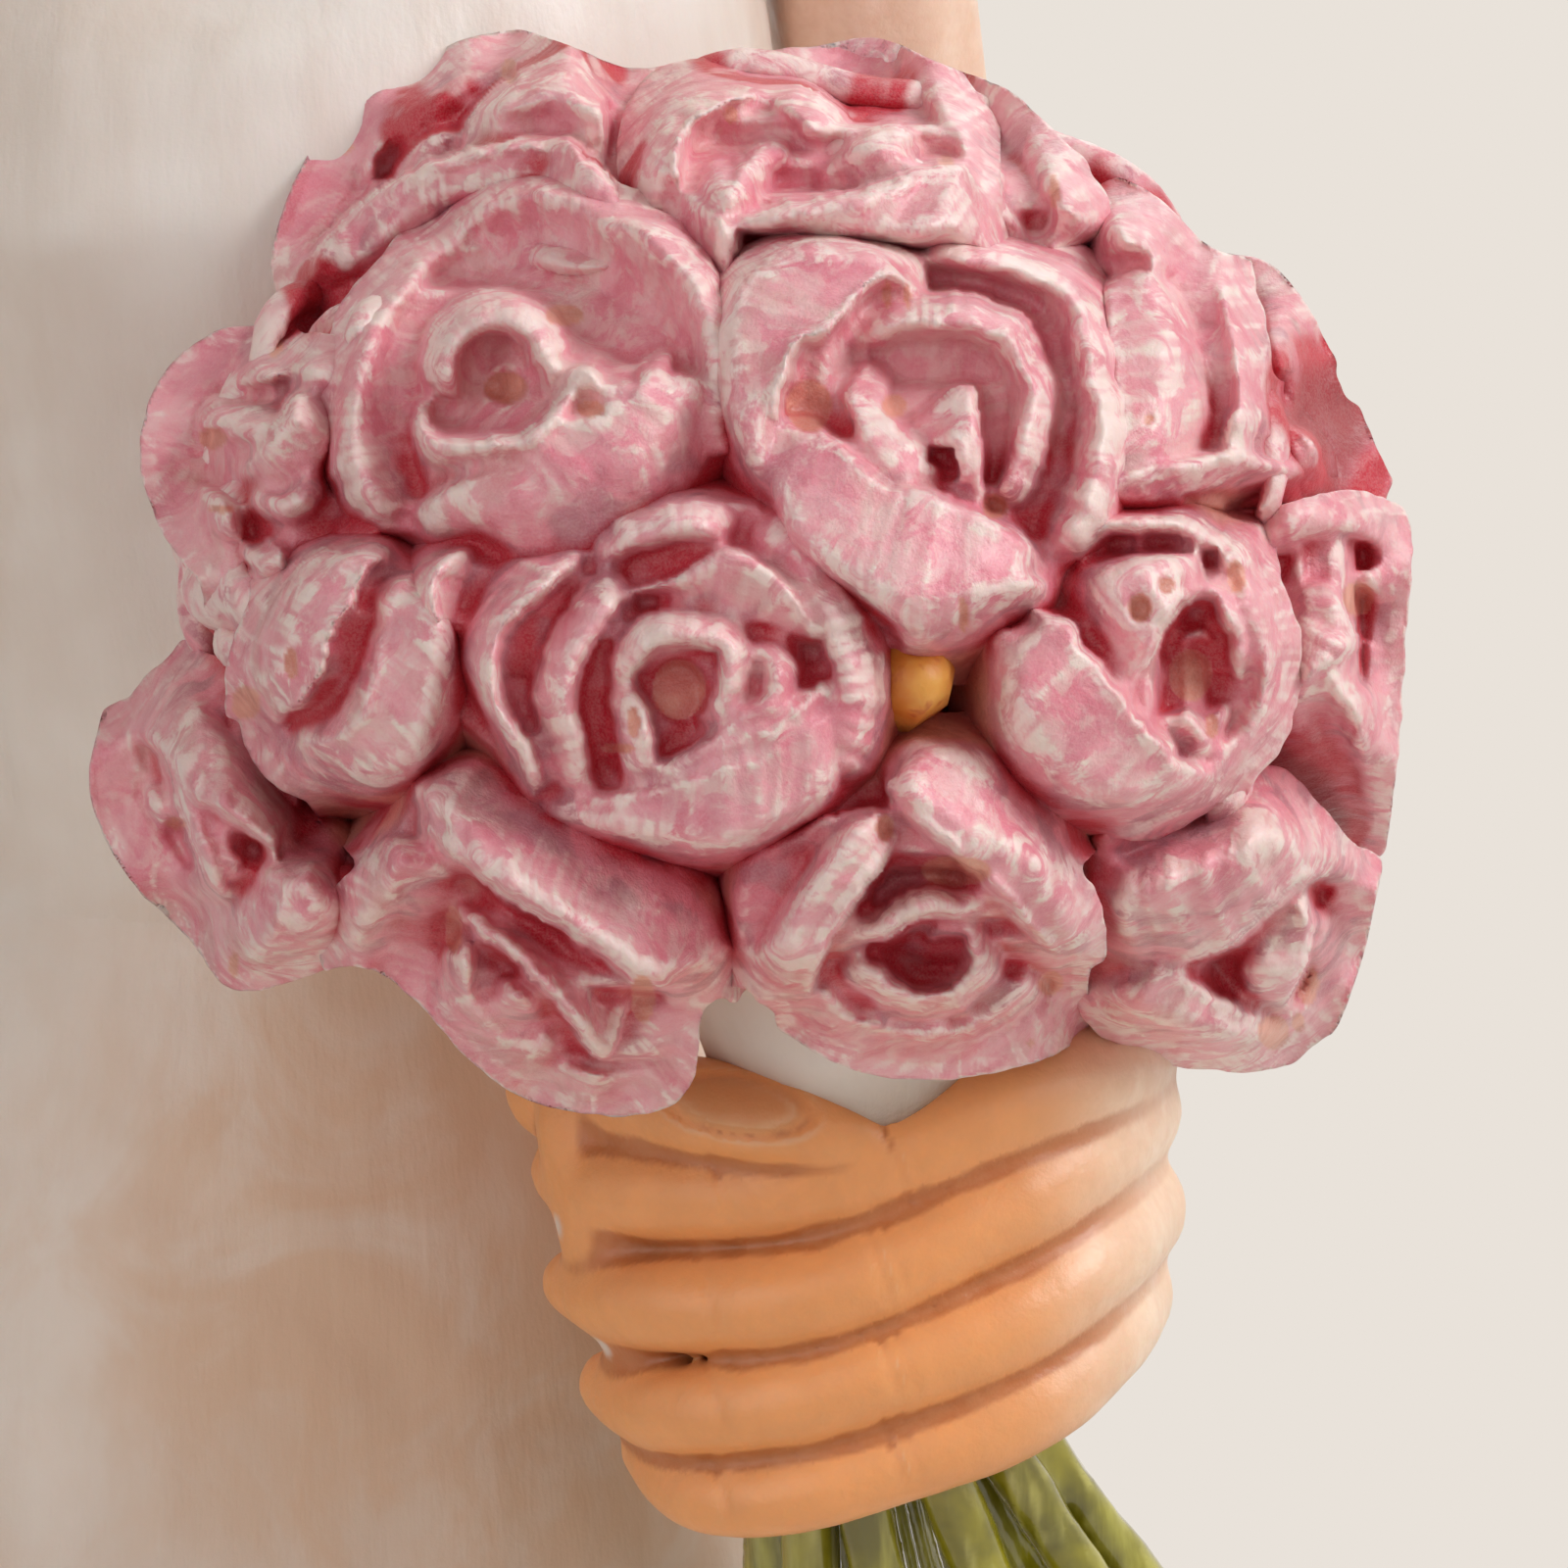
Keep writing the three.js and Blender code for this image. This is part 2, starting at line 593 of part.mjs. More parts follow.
// One rose, its foot at the origin and its face towards +Z. Each ring of petals is a lip that
// rolls over and dips into a groove; petals in a ring overlap like a fan, and each arches.
function rose(radius, height, spin) {
  const around = petalsPerRing * stepsPerPetal;
  const profile = [
    { r: 0.42, z: 0, ring: 0 },
    { r: 0.74, z: 0.42, ring: 0 },
    { r: 1, z: 0.8, ring: 1, lip: 1 },
    { r: 0.9, z: 0.97, ring: 1, lip: 1 },
    { r: 0.68, z: 0.66, ring: 1 },
    { r: 0.55, z: 1, ring: 2, lip: 1 },
    { r: 0.34, z: 0.7, ring: 2 },
    { r: 0.27, z: 0.96, ring: 3, lip: 1 },
    { r: 0.1, z: 0.8, ring: 3 },
  ];
  return loft(profile.map(({ r, z, ring, lip = 0 }) => Array.from({ length: around }, (_, j) => {
    const angle = (2 * Math.PI * j) / around;
    const share = ((petalsPerRing * j) / around + 0.5 * ring) % 1;
    const reach = radius * r * (1 + (ring ? petalOverlap * (0.5 - share) : 0));
    const level = height * (z + lip * petalArch * (Math.sin(Math.PI * share) - 0.5));
    return vector(reach * Math.cos(angle + spin), reach * Math.sin(angle + spin), level);
  })));
}

function roseSeat({ polar, turn }) {
  const p = THREE.MathUtils.degToRad(polar);
  const t = THREE.MathUtils.degToRad(turn);
  const out = vector(Math.sin(p) * Math.sin(t), -Math.sin(p) * Math.cos(t), Math.cos(p));
  return {
    foot: vector(out.x * coreRadius, out.y * coreRadius, out.z * coreHeight),
    face: vector(out.x * domeRadius, out.y * domeRadius, out.z * domeHeight),
  };
}

const core = (grow = 0) => onHandle(ellipsoid(0, 0, 0, coreRadius + grow, coreRadius + grow, coreHeight + grow, 12));

function cuff(grow = 0) {
  const rim = -coreHeight * 0.62;
  const neck = rim - cuffDepth;
  const inner = handleRadius + seam - grow;
  const profile = [
    [inner, neck - grow],
    [cuffRadius + grow, rim - grow],
    [cuffRadius + grow, rim + cuffWall + grow],
    [inner, neck + cuffWall + grow],
    [inner, neck - grow],
  ];
  const points = profile.map(([r, z]) => new THREE.Vector2(r, z));
  return onHandle(solid(new THREE.LatheGeometry(points, 14).rotateX(Math.PI / 2)));
}

// A slab beyond the plane midway between two roses, which keeps the seam between them
function beyond(here, there) {
  const normal = there.clone().sub(here).normalize();
  const size = 4 * domeRadius;
  const centre = here.clone().add(there).multiplyScalar(0.5).addScaledVector(normal, size / 2 - seam / 2);
  const turn = new THREE.Matrix4().makeRotationFromQuaternion(
    new THREE.Quaternion().setFromUnitVectors(vector(0, 0, 1), normal),
  ).setPosition(centre);
  return solid(new THREE.BoxGeometry(size, size, size).applyMatrix4(turn));
}

function bouquetRoses(obstacles) {
  const seats = rosePlan.map(roseSeat);
  const inFrame = core(seam);
  return rosePlan.map((plan, k) => {
    const { foot, face } = seats[k];
    const axis = face.clone().sub(foot);
    const height = axis.length() + 2.2;
    const place = new THREE.Matrix4().makeRotationFromQuaternion(
      new THREE.Quaternion().setFromUnitVectors(vector(0, 0, 1), axis.normalize()),
    ).setPosition(foot.clone().addScaledVector(axis, -1.2));
    const whole = rose(roseRadius * plan.size, height, k * 2.4).transform(place.elements.slice());
    const near = seats.filter((seat, n) => n !== k && seat.face.distanceTo(face) < 3 * roseRadius);
    const trimmed = cut(whole, ...near.map((seat) => beyond(face, seat.face)));
    return largest(cut(onHandle(trimmed), inFrame, ...obstacles));
  });
}

// Groom's suit, body and head

function trousers(grow = 0) {
  const w = trouserHalfWidth;
  const knee = 0.56 * jacketHemHeight;
  const leg = (side) => body([
    girth(above(trouserLift), w, 1.14, 1.1, { x: side * groomStance }),
    girth(above(0.62 * knee), w * 1.1, 1.13, 1.13, { x: side * groomStance }),
    girth(above(knee), w * 1.24, 1.15, 1.12, { x: side * (groomStance - 0.05 * w) }),
    girth(above(0.89 * jacketHemHeight), w * 1.57, 1.18, 1.21, { x: side * (groomStance - 0.14 * w) }),
    girth(above(jacketHemHeight + 0.2 * hemToGroomWaist), w * 1.67, 1.14, 1.2, { x: side * (groomStance - 0.29 * w) }),
  ], { around: 12, grow });
  return join([leg(-1), leg(1)]).translate([groomX, groomY, 0]);
}

// A dress shoe: sole, broad toe and an instep that rises into the trouser leg
function shoe(side) {
  const heel = 0.33 * shoeLength;
  const ring = (share, half, front, back) => ({
    z: above(share * shoeHeight), half: half * shoeHalfWidth, front: front * (shoeLength - heel), back: back * heel,
  });
  return body([
    ring(0, 0.94, 0.98, 0.98),
    ring(0.26, 1, 1, 1),
    ring(0.52, 0.93, 0.86, 0.96),
    ring(0.78, 0.82, 0.52, 0.86),
    ring(1, 0.7, 0.3, 0.7),
  ], { around: 12, x: groomX + side * groomStance, y: groomY });
}

function jacketForm(grow = 0) {
  const half = groomChestHalfWidth;
  return body([
    girth(above(jacketHemHeight), half * 0.94, 0.68, 0.73),
    girth(above(jacketHemHeight + 0.5 * hemToGroomWaist), half * 0.88, 0.68, 0.72),
    girth(above(groomWaistHeight), half * 0.8, 0.7, 0.68),
    girth(above(groomChestHeight), half, 0.67, 0.61),
    girth(above(groomShoulderHeight - 0.36 * groomChestToShoulder), half * 1.02, 0.56, 0.58),
    girth(above(groomShoulderHeight - 0.03 * groomChestToShoulder), half * 0.98, 0.42, 0.46),
    girth(above(groomShoulderHeight + 0.36 * groomShoulderToChin), half * 0.7, 0.47, 0.52),
    girth(above(groomShoulderHeight + 0.62 * groomShoulderToChin), groomNeckRadius * 1.45, 0.82, 0.88),
  ], { around: 18, grow, x: groomX, y: groomY });
}

// The opening between the lapels, from the collar down to the top button
function lapelOpening(grow, depth) {
  const topZ = above(groomShoulderHeight + 9);
  const tipZ = above(groomWaistHeight + 1) - grow;
  const half = 0.45 * groomChestHalfWidth + grow;
  const outline = new THREE.Shape([
    new THREE.Vector2(0, tipZ),
    new THREE.Vector2(half * 0.72, THREE.MathUtils.lerp(tipZ, topZ, 0.5)),
    new THREE.Vector2(half, topZ + grow),
    new THREE.Vector2(-half, topZ + grow),
    new THREE.Vector2(-half * 0.72, THREE.MathUtils.lerp(tipZ, topZ, 0.5)),
  ]);
  const reach = 20;
  const geometry = new THREE.ExtrudeGeometry(outline, { depth: reach, bevelEnabled: false });
  return solid(geometry.rotateX(Math.PI / 2).translate(groomX, groomY - depth, 0));
}

// Lapels: strips beside the opening, raised on the jacket's front, with a notch at the collar
function lapels() {
  const half = 0.45 * groomChestHalfWidth;
  const tipZ = above(groomWaistHeight);
  const notchZ = above(groomShoulderHeight - 0.22 * groomChestToShoulder);
  const topZ = above(groomShoulderHeight + 0.5 * groomShoulderToChin);
  const midZ = THREE.MathUtils.lerp(tipZ, topZ, 0.5);
  const strip = (side) => {
    const outline = new THREE.Shape([
      [0.02, tipZ - 0.4], [0.7 * half + 0.86 * lapelWidth, midZ], [0.9 * half + lapelWidth, notchZ],
      [half + 0.5 * lapelWidth, notchZ + 0.5], [half + 0.72 * lapelWidth, notchZ + 2.2], [half + 0.3 * lapelWidth, topZ],
      [0.8 * half, topZ], [0.5 * half, midZ],
    ].map(([x, z]) => new THREE.Vector2(side * x, z)));
    const geometry = new THREE.ExtrudeGeometry(outline, { depth: 20, bevelEnabled: false });
    return solid(geometry.rotateX(Math.PI / 2).translate(groomX, groomY, 0));
  };
  return join([strip(-1), strip(1)]).intersect(jacketForm(lapelThickness));
}

const groomChin = above(groomChinHeight);
const groomHeadY = groomY - 1;

// Head and neck in one piece; the neck ends inside the shirt collar
function groomHead(grow = 0) {
  const neck = body([
    girth(above(groomShoulderHeight + 0.32 * groomShoulderToChin), groomNeckRadius * 0.98, 0.98, 1.02),
    girth(above(groomChinHeight - 0.21 * groomShoulderToChin), groomNeckRadius, 0.95, 1.05),
    girth(above(groomChinHeight) + 0.22 * groomHeadHeight, groomNeckRadius * 1.05, 0.91, 1.05),
  ], { around: 12, grow, x: groomX, y: groomY });
  return join([head(groomHeadHeight, groomX, groomHeadY, groomChin, grow), neck]);
}

function groomHair() {
  const h = groomHeadHeight;
  const cap = ellipsoid(0, 0.08 * h, groomChin + 0.65 * h, 0.395 * h, 0.47 * h, 0.44 * h, 14);
  const face = ellipsoid(0, -0.52 * h, groomChin + 0.36 * h, 0.38 * h, 0.44 * h, 0.46 * h, 12);
  const nape = block(-h, h, -h, h, groomChin - h, groomChin + 0.28 * h);
  return cut(cap, face, nape).translate([groomX, groomHeadY, 0]);
}

function shirtCollar() {
  const low = above(groomShoulderHeight + 0.48 * groomShoulderToChin);
  const high = low + collarHeight;
  const inner = groomNeckRadius + 2 * seam;
  const outer = inner + 1.4;
  const profile = [[inner, low], [outer, low], [outer - 0.5, high], [inner + 0.1, high], [inner, low]];
  const points = profile.map(([r, z]) => new THREE.Vector2(r, z));
  return solid(new THREE.LatheGeometry(points, 14).rotateX(Math.PI / 2).translate(groomX, groomY, 0));
}

function bowTie(grow = 0) {
  const z = above(groomShoulderHeight + 0.5 * groomShoulderToChin);
  const y = groomY - groomNeckRadius - 2.5;
  const wing = (side) => body([
    { z: 0, half: 0.8, front: 0.9, back: 0.5 },
    { z: 0.52 * bowHalfWidth, half: 0.37 * bowHalfWidth, front: 1.1, back: 0.6 },
    { z: bowHalfWidth, half: 0.48 * bowHalfWidth, front: 1, back: 0.6 },
  ], { around: 6, grow }).rotate([0, side * 90, 0]).translate([groomX, y, z]);
  return join([wing(-1), wing(1), ellipsoid(groomX, y - 0.2, z, 1.1 + grow, 1.2 + grow, 1.3 + grow, 6)]);
}

// Sleeves: the right one hangs, the left one goes round behind the bride's waist
const armpit = groomChestHalfWidth;
const rightSleevePoints = [
  [groomX - 0.98 * armpit, groomY + 0.4, above(groomShoulderHeight) - 0.98 * sleeveRadius],
  [groomX - 1.14 * armpit, groomY + 1.6, above(groomChestHeight)],
  [groomX - 1.21 * armpit, groomY + 1.2, above(groomWaistHeight + 0.4 * groomWaistToChest)],
  [groomX - 1.17 * armpit, groomY - 3, above(jacketHemHeight + 0.42 * hemToGroomWaist)],
];
const leftSleevePoints = [
  [groomX + 0.98 * armpit, groomY + 0.6, above(groomShoulderHeight) - 0.98 * sleeveRadius],
  [groomX + 1.2 * armpit, groomY + 5.4, above(groomChestHeight + 0.2 * groomChestToShoulder)],
  [groomX + 1.49 * armpit, groomY + 9.6, above(groomChestHeight - 0.3 * groomWaistToChest)],
  [brideX - 0.62 * waistHalfWidth, brideY + 1.59 * waistHalfWidth, above(waistHeight + 0.63 * waistToBust)],
  [brideX + 0.21 * waistHalfWidth, brideY + 1.42 * waistHalfWidth, above(waistHeight + 0.34 * waistToBust)],
];
const sleeveShares = [1, 0.92, 0.84, 0.78, 0.68];
const sleeve = (points, grow = 0) => (
  limb(points, sleeveShares.map((share) => share * sleeveRadius), { sides: 9, steps: 7, grow })
);

// A hand whose wrist goes a little way into the end of its sleeve
function handInSleeve(points, along, across, size) {
  const end = vector(...points[points.length - 1]);
  return { at: end.addScaledVector(along, wristReach + 0.83 * size), along, across, size };
}

const rightHandPose = handInSleeve(
  rightSleevePoints, vector(0.06, -0.12, -1).normalize(), vector(0.3, -0.94, 0.12).normalize(), groomHand,
);
const leftHandPose = handInSleeve(
  leftSleevePoints, vector(0.9, -0.36, -0.22).normalize(), vector(0.2, -0.1, 0.97).normalize(), 0.9 * groomHand,
);

// Assembly: each piece is cut back from what it is glued or pinned to

const skirtSolid = cut(skirt(), ...dowels(seam));
const gown = [skirt(seam), bodice(seam)];
const fistSolid = largest(cut(leftFist(), handleBore(), ...gown));

addPiece('felt_pad', felt(), finishes.felt);
addPiece('base_plinth', cut(plinth(), ...dowels(seam)), finishes.plinth);
Object.entries(dowelPlaces).forEach(([name, [x, y]]) => addPiece(name, dowel(x, y, 0), finishes.steel));

addPiece('bride_skirt', skirtSolid, finishes.gown);
addPiece('bride_bodice', cut(bodice(), brideShoulders(seam)), finishes.gown);
addPiece('bride_shoulders', brideShoulders(), finishes.skin);
addPiece('bride_head', cut(brideHead(), brideShoulders(seam)), finishes.skin);
addPiece('bride_hair', largest(cut(brideHair(), brideHead(seam), brideShoulders(seam))), finishes.brownHair);
addPiece('bride_veil', largest(cut(
  veil(), brideHair(seam), brideHead(seam), brideShoulders(seam), brideLeftArm(seam), brideRightArm(seam), ...gown,
)), finishes.veil);
addPiece('bride_left_arm', largest(cut(brideLeftArm(), brideShoulders(seam), leftFist(seam), ...gown)), finishes.skin);
addPiece('bride_left_hand', fistSolid, finishes.skin);
addPiece('bride_right_arm', largest(cut(brideRightArm(), brideShoulders(seam), ...gown)), finishes.skin);
addPiece('bride_right_hand', largest(cut(
  openHand(brideRightHandPose), brideRightArm(seam), jacketForm(lapelThickness + seam),
)), finishes.skin);

addPiece('bouquet_core', cut(core(), handleBore()), finishes.core);
addPiece('bouquet_stems', stems(), finishes.stem);
addPiece('bouquet_cuff', largest(cut(cuff(), handleBore(), core(seam), leftFist(seam), ...gown)), finishes.cuff);
bouquetRoses([cuff(seam), leftFist(seam), ...gown, brideLeftArm(seam)]).forEach((whole, k) => {
  addPiece(`rose_${String(k + 1).padStart(2, '0')}`, whole, finishes.petal);
});

const shirtForm = jacketForm(-lapelDepth);
const jacketTools = [
  lapelOpening(seam, 0), trousers(seam), groomHead(seam), brideRightArm(seam),
];
const jacket = largest(cut(join([jacketForm(), lapels()]), ...jacketTools, bowTie(seam)));
addPiece('groom_trousers', cut(trousers(), ...dowels(seam)), finishes.suit);
addPiece('groom_left_shoe', cut(shoe(1), trousers(seam), ...dowels(seam)), finishes.bow);
addPiece('groom_right_shoe', cut(shoe(-1), trousers(seam), ...dowels(seam)), finishes.bow);
addPiece('groom_jacket', jacket, finishes.suit);
const shirtFront = largest(cut(shirtForm.intersect(lapelOpening(0, seam)), groomHead(seam), bowTie()));
addPiece('groom_shirt', shirtFront, finishes.shirt);
addPiece('groom_collar', cut(shirtCollar(), groomHead(seam), jacketForm(seam), bowTie()), finishes.shirt);
addPiece('groom_bow_tie', bowTie(), finishes.bow);
addPiece('groom_left_sleeve', largest(cut(
  sleeve(leftSleevePoints), jacketForm(seam), openHand(leftHandPose, seam), ...gown, brideRightArm(seam),
)), finishes.suit);
addPiece('groom_right_sleeve', largest(cut(
  sleeve(rightSleevePoints), jacketForm(seam), openHand(rightHandPose, seam),
)), finishes.suit);
addPiece('groom_left_hand', largest(cut(openHand(leftHandPose), ...gown)), finishes.skin);
addPiece('groom_right_hand', openHand(rightHandPose), finishes.skin);
addPiece('groom_head', groomHead(), finishes.skin);
addPiece('groom_hair', largest(cut(groomHair(), groomHead(seam))), finishes.darkHair);

export default figurine;
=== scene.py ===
import math

import bpy
import numpy as np
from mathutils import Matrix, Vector
from mathutils.bvhtree import BVHTree


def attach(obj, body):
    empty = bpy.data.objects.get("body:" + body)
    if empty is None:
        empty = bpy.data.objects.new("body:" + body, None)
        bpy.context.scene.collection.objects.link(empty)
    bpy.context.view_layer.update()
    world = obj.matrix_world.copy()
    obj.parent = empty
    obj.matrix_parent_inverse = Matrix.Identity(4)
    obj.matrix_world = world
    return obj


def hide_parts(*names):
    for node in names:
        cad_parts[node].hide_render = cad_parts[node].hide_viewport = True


# Wedding couple figurine: cast resin, painted by hand. Work in millimetres, meshes in metres.
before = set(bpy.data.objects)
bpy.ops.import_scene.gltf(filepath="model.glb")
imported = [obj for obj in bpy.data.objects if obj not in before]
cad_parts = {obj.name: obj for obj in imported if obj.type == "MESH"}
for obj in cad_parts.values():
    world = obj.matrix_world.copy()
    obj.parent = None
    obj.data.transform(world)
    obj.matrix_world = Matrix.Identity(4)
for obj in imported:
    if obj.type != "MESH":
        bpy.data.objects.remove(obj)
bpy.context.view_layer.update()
metre = 0.001

# the view of the bouquet, in millimetres
view = {
    "aim": (31.2, -23.5, 120.3),
    "elevation": 12.0,
    "distance": 115.0,
    "frameWidth": 35.6,
}
elevation = math.radians(view["elevation"])
viewRight = np.array([1.0, 0.0, 0.0])
viewUp = np.array([0.0, math.sin(elevation), math.cos(elevation)])
viewInto = np.array([0.0, math.cos(elevation), -math.sin(elevation)])
aim = np.array(view["aim"])
eye = aim - viewInto * view["distance"]

# the bouquet's own frame: right, back and up along the lean of the handle
bouquet = {
    "middle": (30.5, -22.5, 125.0),
    "lean": (-0.19, -0.22, 0.957),
    "coreRadius": 8.6,
    "coreHeight": 6.0,
    "liftToHeight": 0.9,
    "fistDrop": 18.3,
}
middle = np.array(bouquet["middle"])
lean = np.array(bouquet["lean"]) / np.linalg.norm(bouquet["lean"])
handleRight = viewRight - lean * lean[0]
handleRight /= np.linalg.norm(handleRight)
handleFront = np.cross(handleRight, lean)
handleBack = -handleFront
handleAxes = np.stack([handleRight, handleBack, lean])


def onHandle(points):
    return middle + np.asarray(points, float) @ handleAxes


# Mesh tools. A part is (points, faces), with faces as rows of four, the last repeated for a triangle.


def catmullRom(a, b, c, d, t):
    return 0.5 * (2 * b + (c - a) * t + (2 * a - 5 * b + 4 * c - d) * t**2 + (3 * b - a - 3 * c + d) * t**3)


def smoothLine(points, count):
    # Catmull-Rom through the points, resampled to even steps
    p = np.asarray(points, float)
    if len(p) < 3:
        t = np.linspace(0, 1, count)[:, None]
        return p[0] + (p[-1] - p[0]) * t
    q = np.vstack([2 * p[0] - p[1], p, 2 * p[-1] - p[-2]])
    fine = []
    for k in range(1, len(q) - 2):
        fine.append(catmullRom(*q[k - 1:k + 3], np.linspace(0, 1, 9)[:-1, None]))
    line = np.vstack(fine + [q[-2][None]])
    step = np.r_[0, np.cumsum(np.linalg.norm(np.diff(line, axis=0), axis=1))]
    at = np.linspace(0, step[-1], count)
    return np.stack([np.interp(at, step, line[:, i]) for i in range(p.shape[1])], 1)


def gridFaces(rows, columns, closeColumns=False):
    last = columns if closeColumns else columns - 1
    i, j = np.meshgrid(np.arange(rows - 1), np.arange(last), indexing="ij")
    n = (j + 1) % columns
    return np.stack([i * columns + j, i * columns + n, (i + 1) * columns + n, (i + 1) * columns + j],
                    -1).reshape(-1, 4)


def gridNormals(grid):
    du = np.gradient(grid, axis=0)
    dv = np.gradient(grid, axis=1)
    n = np.cross(du, dv)
    return n / np.maximum(np.linalg.norm(n, axis=2, keepdims=True), 1e-9)


def thickSheet(grid, wall):
    # a closed sheet round a grid of points, thinner at its ends
    rows, columns = grid.shape[:2]
    taper = np.clip(np.minimum(np.arange(rows), np.arange(rows)[::-1]) / (rows * 0.12), 0.35, 1)
    normal = gridNormals(grid) * (taper * wall / 2)[:, None, None]
    top = (grid + normal).reshape(-1, 3)
    low = (grid - normal).reshape(-1, 3)
    face = gridFaces(rows, columns)
    half = rows * columns
    edge = [k * columns for k in range(rows)] + [(rows - 1) * columns + k for k in range(1, columns)]
    edge += [k * columns + columns - 1 for k in range(rows - 2, -1, -1)] + list(range(columns - 2, 0, -1))
    edge = np.array(edge)
    ahead = np.roll(edge, -1)
    side = np.stack([edge, ahead, ahead + half, edge + half], 1)
    return np.vstack([top, low]), np.vstack([face[:, ::-1], face + half, side])


def tube(points, radii, sides=12, steps=28, flat=1.0):
    # a swept tube with rounded ends, radii run along it
    line = smoothLine(points, steps)
    size = np.interp(np.linspace(0, 1, steps), np.linspace(0, 1, len(radii)), radii)
    ahead = np.gradient(line, axis=0)
    ahead /= np.maximum(np.linalg.norm(ahead, axis=1, keepdims=True), 1e-9)
    side = np.cross(ahead[0], [0.13, 0.31, 0.94])
    rings = []
    for k in range(steps):
        side = side - ahead[k] * (side @ ahead[k])
        side /= np.linalg.norm(side)
        other = np.cross(ahead[k], side)
        turn = np.arange(sides) * 2 * math.pi / sides
        ring = np.cos(turn)[:, None] * side + np.sin(turn)[:, None] * other * flat
        rings.append((line[k], ring, size[k], ahead[k]))
    caps = [(rings[0], -1), (rings[-1], 1)]
    rows = []
    for reach, shrink in ((0.98, 0.1), (0.8, 0.6), (0.45, 0.9)):
        (c, r, s, a), way = caps[0]
        rows.append(c + a * s * reach * way + r * s * shrink)
    rows += [c + r * s for c, r, s, a in rings]
    for reach, shrink in ((0.45, 0.9), (0.8, 0.6), (0.98, 0.1)):
        (c, r, s, a), way = caps[1]
        rows.append(c + a * s * reach * way + r * s * shrink)
    grid = np.array(rows)
    count = len(rows)
    points = np.vstack([grid.reshape(-1, 3), grid[0].mean(0), grid[-1].mean(0)])
    face = gridFaces(count, sides, True)
    around = np.arange(sides)
    first, end = count * sides, count * sides + 1
    low = np.stack([np.full(sides, first), (around + 1) % sides, around, around], 1)
    base = (count - 1) * sides
    high = np.stack([np.full(sides, end), base + around, base + (around + 1) % sides,
                     base + (around + 1) % sides], 1)
    return points, np.vstack([face, low, high])


def ball(centre, radii, axes=None, rows=14, sides=20):
    lat = np.linspace(0, math.pi, rows)
    turn = np.arange(sides) * 2 * math.pi / sides
    grid = np.stack([np.outer(np.sin(lat), np.cos(turn)), np.outer(np.sin(lat), np.sin(turn)),
                     np.outer(np.cos(lat), np.ones(sides))], -1) * np.asarray(radii, float)
    if axes is not None:
        grid = grid @ np.asarray(axes)
    return grid.reshape(-1, 3) + np.asarray(centre, float), gridFaces(rows, sides, True)


def revolve(profile, sides):
    # a turned body from (radius, height) pairs
    turn = np.arange(sides) * 2 * math.pi / sides
    rows = [np.stack([r * np.cos(turn), r * np.sin(turn), np.full(sides, z)], 1) for r, z in profile]
    return np.vstack(rows), gridFaces(len(profile), sides, True)


def coarser(voxel):
    return voxel


def joined(parts):
    points, faces, start = [], [], 0
    for p, f in parts:
        points.append(p)
        faces.append(np.asarray(f) + start)
        start += len(p)
    return np.vstack(points), np.vstack(faces)


def toMesh(name, points, faces):
    faces = np.asarray(faces)
    kept = faces != np.roll(faces, 1, 1)
    count = kept.sum(1)
    kept[count < 3] = False
    count = count[count > 2]
    mesh = bpy.data.meshes.new(name)
    mesh.vertices.add(len(points))
    mesh.vertices.foreach_set("co", np.asarray(points, np.float32).reshape(-1))
    mesh.loops.add(int(count.sum()))
    mesh.loops.foreach_set("vertex_index", faces[kept].astype(np.int32))
    mesh.polygons.add(len(count))
    mesh.polygons.foreach_set("loop_start", np.r_[0, np.cumsum(count)[:-1]].astype(np.int32))
    mesh.update(calc_edges=True)
    return mesh


def toArrays(mesh):
    points = np.empty(len(mesh.vertices) * 3, np.float32)
    mesh.vertices.foreach_get("co", points)
    count = np.empty(len(mesh.polygons), np.int32)
    mesh.polygons.foreach_get("loop_total", count)
    start = np.empty(len(mesh.polygons), np.int32)
    mesh.polygons.foreach_get("loop_start", start)
    loops = np.empty(len(mesh.loops), np.int32)
    mesh.loops.foreach_get("vertex_index", loops)
    take = start[:, None] + np.minimum(np.arange(4)[None], count[:, None] - 1)
    return points.reshape(-1, 3).astype(float), loops[take]


def evaluated(obj):
    # the modifiers' result as a plain mesh, the helper object goes
    graph = bpy.context.evaluated_depsgraph_get()
    mesh = bpy.data.meshes.new_from_object(obj.evaluated_get(graph))
    bpy.data.objects.remove(obj)
    return mesh


def helper(mesh):
    obj = bpy.data.objects.new("helper", mesh)
    bpy.context.scene.collection.objects.link(obj)
    return obj


def fused(parts, voxel, relaxing=2):
    # one skin over overlapping closed parts
    points, faces = joined(parts)
    obj = helper(toMesh("fusing", points, faces))
    skin = obj.modifiers.new("skin", "REMESH")
    skin.mode = "VOXEL"
    skin.voxel_size = voxel
    skin.adaptivity = 0
    points, faces = toArrays(evaluated(obj))
    return relaxed(points, faces, relaxing), faces


def edgesOf(faces):
    pairs = np.vstack([faces[:, [0, 1]], faces[:, [1, 2]], faces[:, [2, 3]], faces[:, [3, 0]]])
    return pairs[pairs[:, 0] != pairs[:, 1]]


def averaged(values, pairs, count):
    total = np.stack([np.bincount(pairs[:, 0], values[pairs[:, 1], i], count)
                      + np.bincount(pairs[:, 1], values[pairs[:, 0], i], count)
                      for i in range(values.shape[1])], 1)
    share = np.bincount(pairs[:, 0], minlength=count) + np.bincount(pairs[:, 1], minlength=count)
    return total / np.maximum(share, 1)[:, None]


def relaxed(points, faces, times, keep=0.5):
    pairs = edgesOf(faces)
    for _ in range(times):
        points = points * keep + averaged(points, pairs, len(points)) * (1 - keep)
    return points


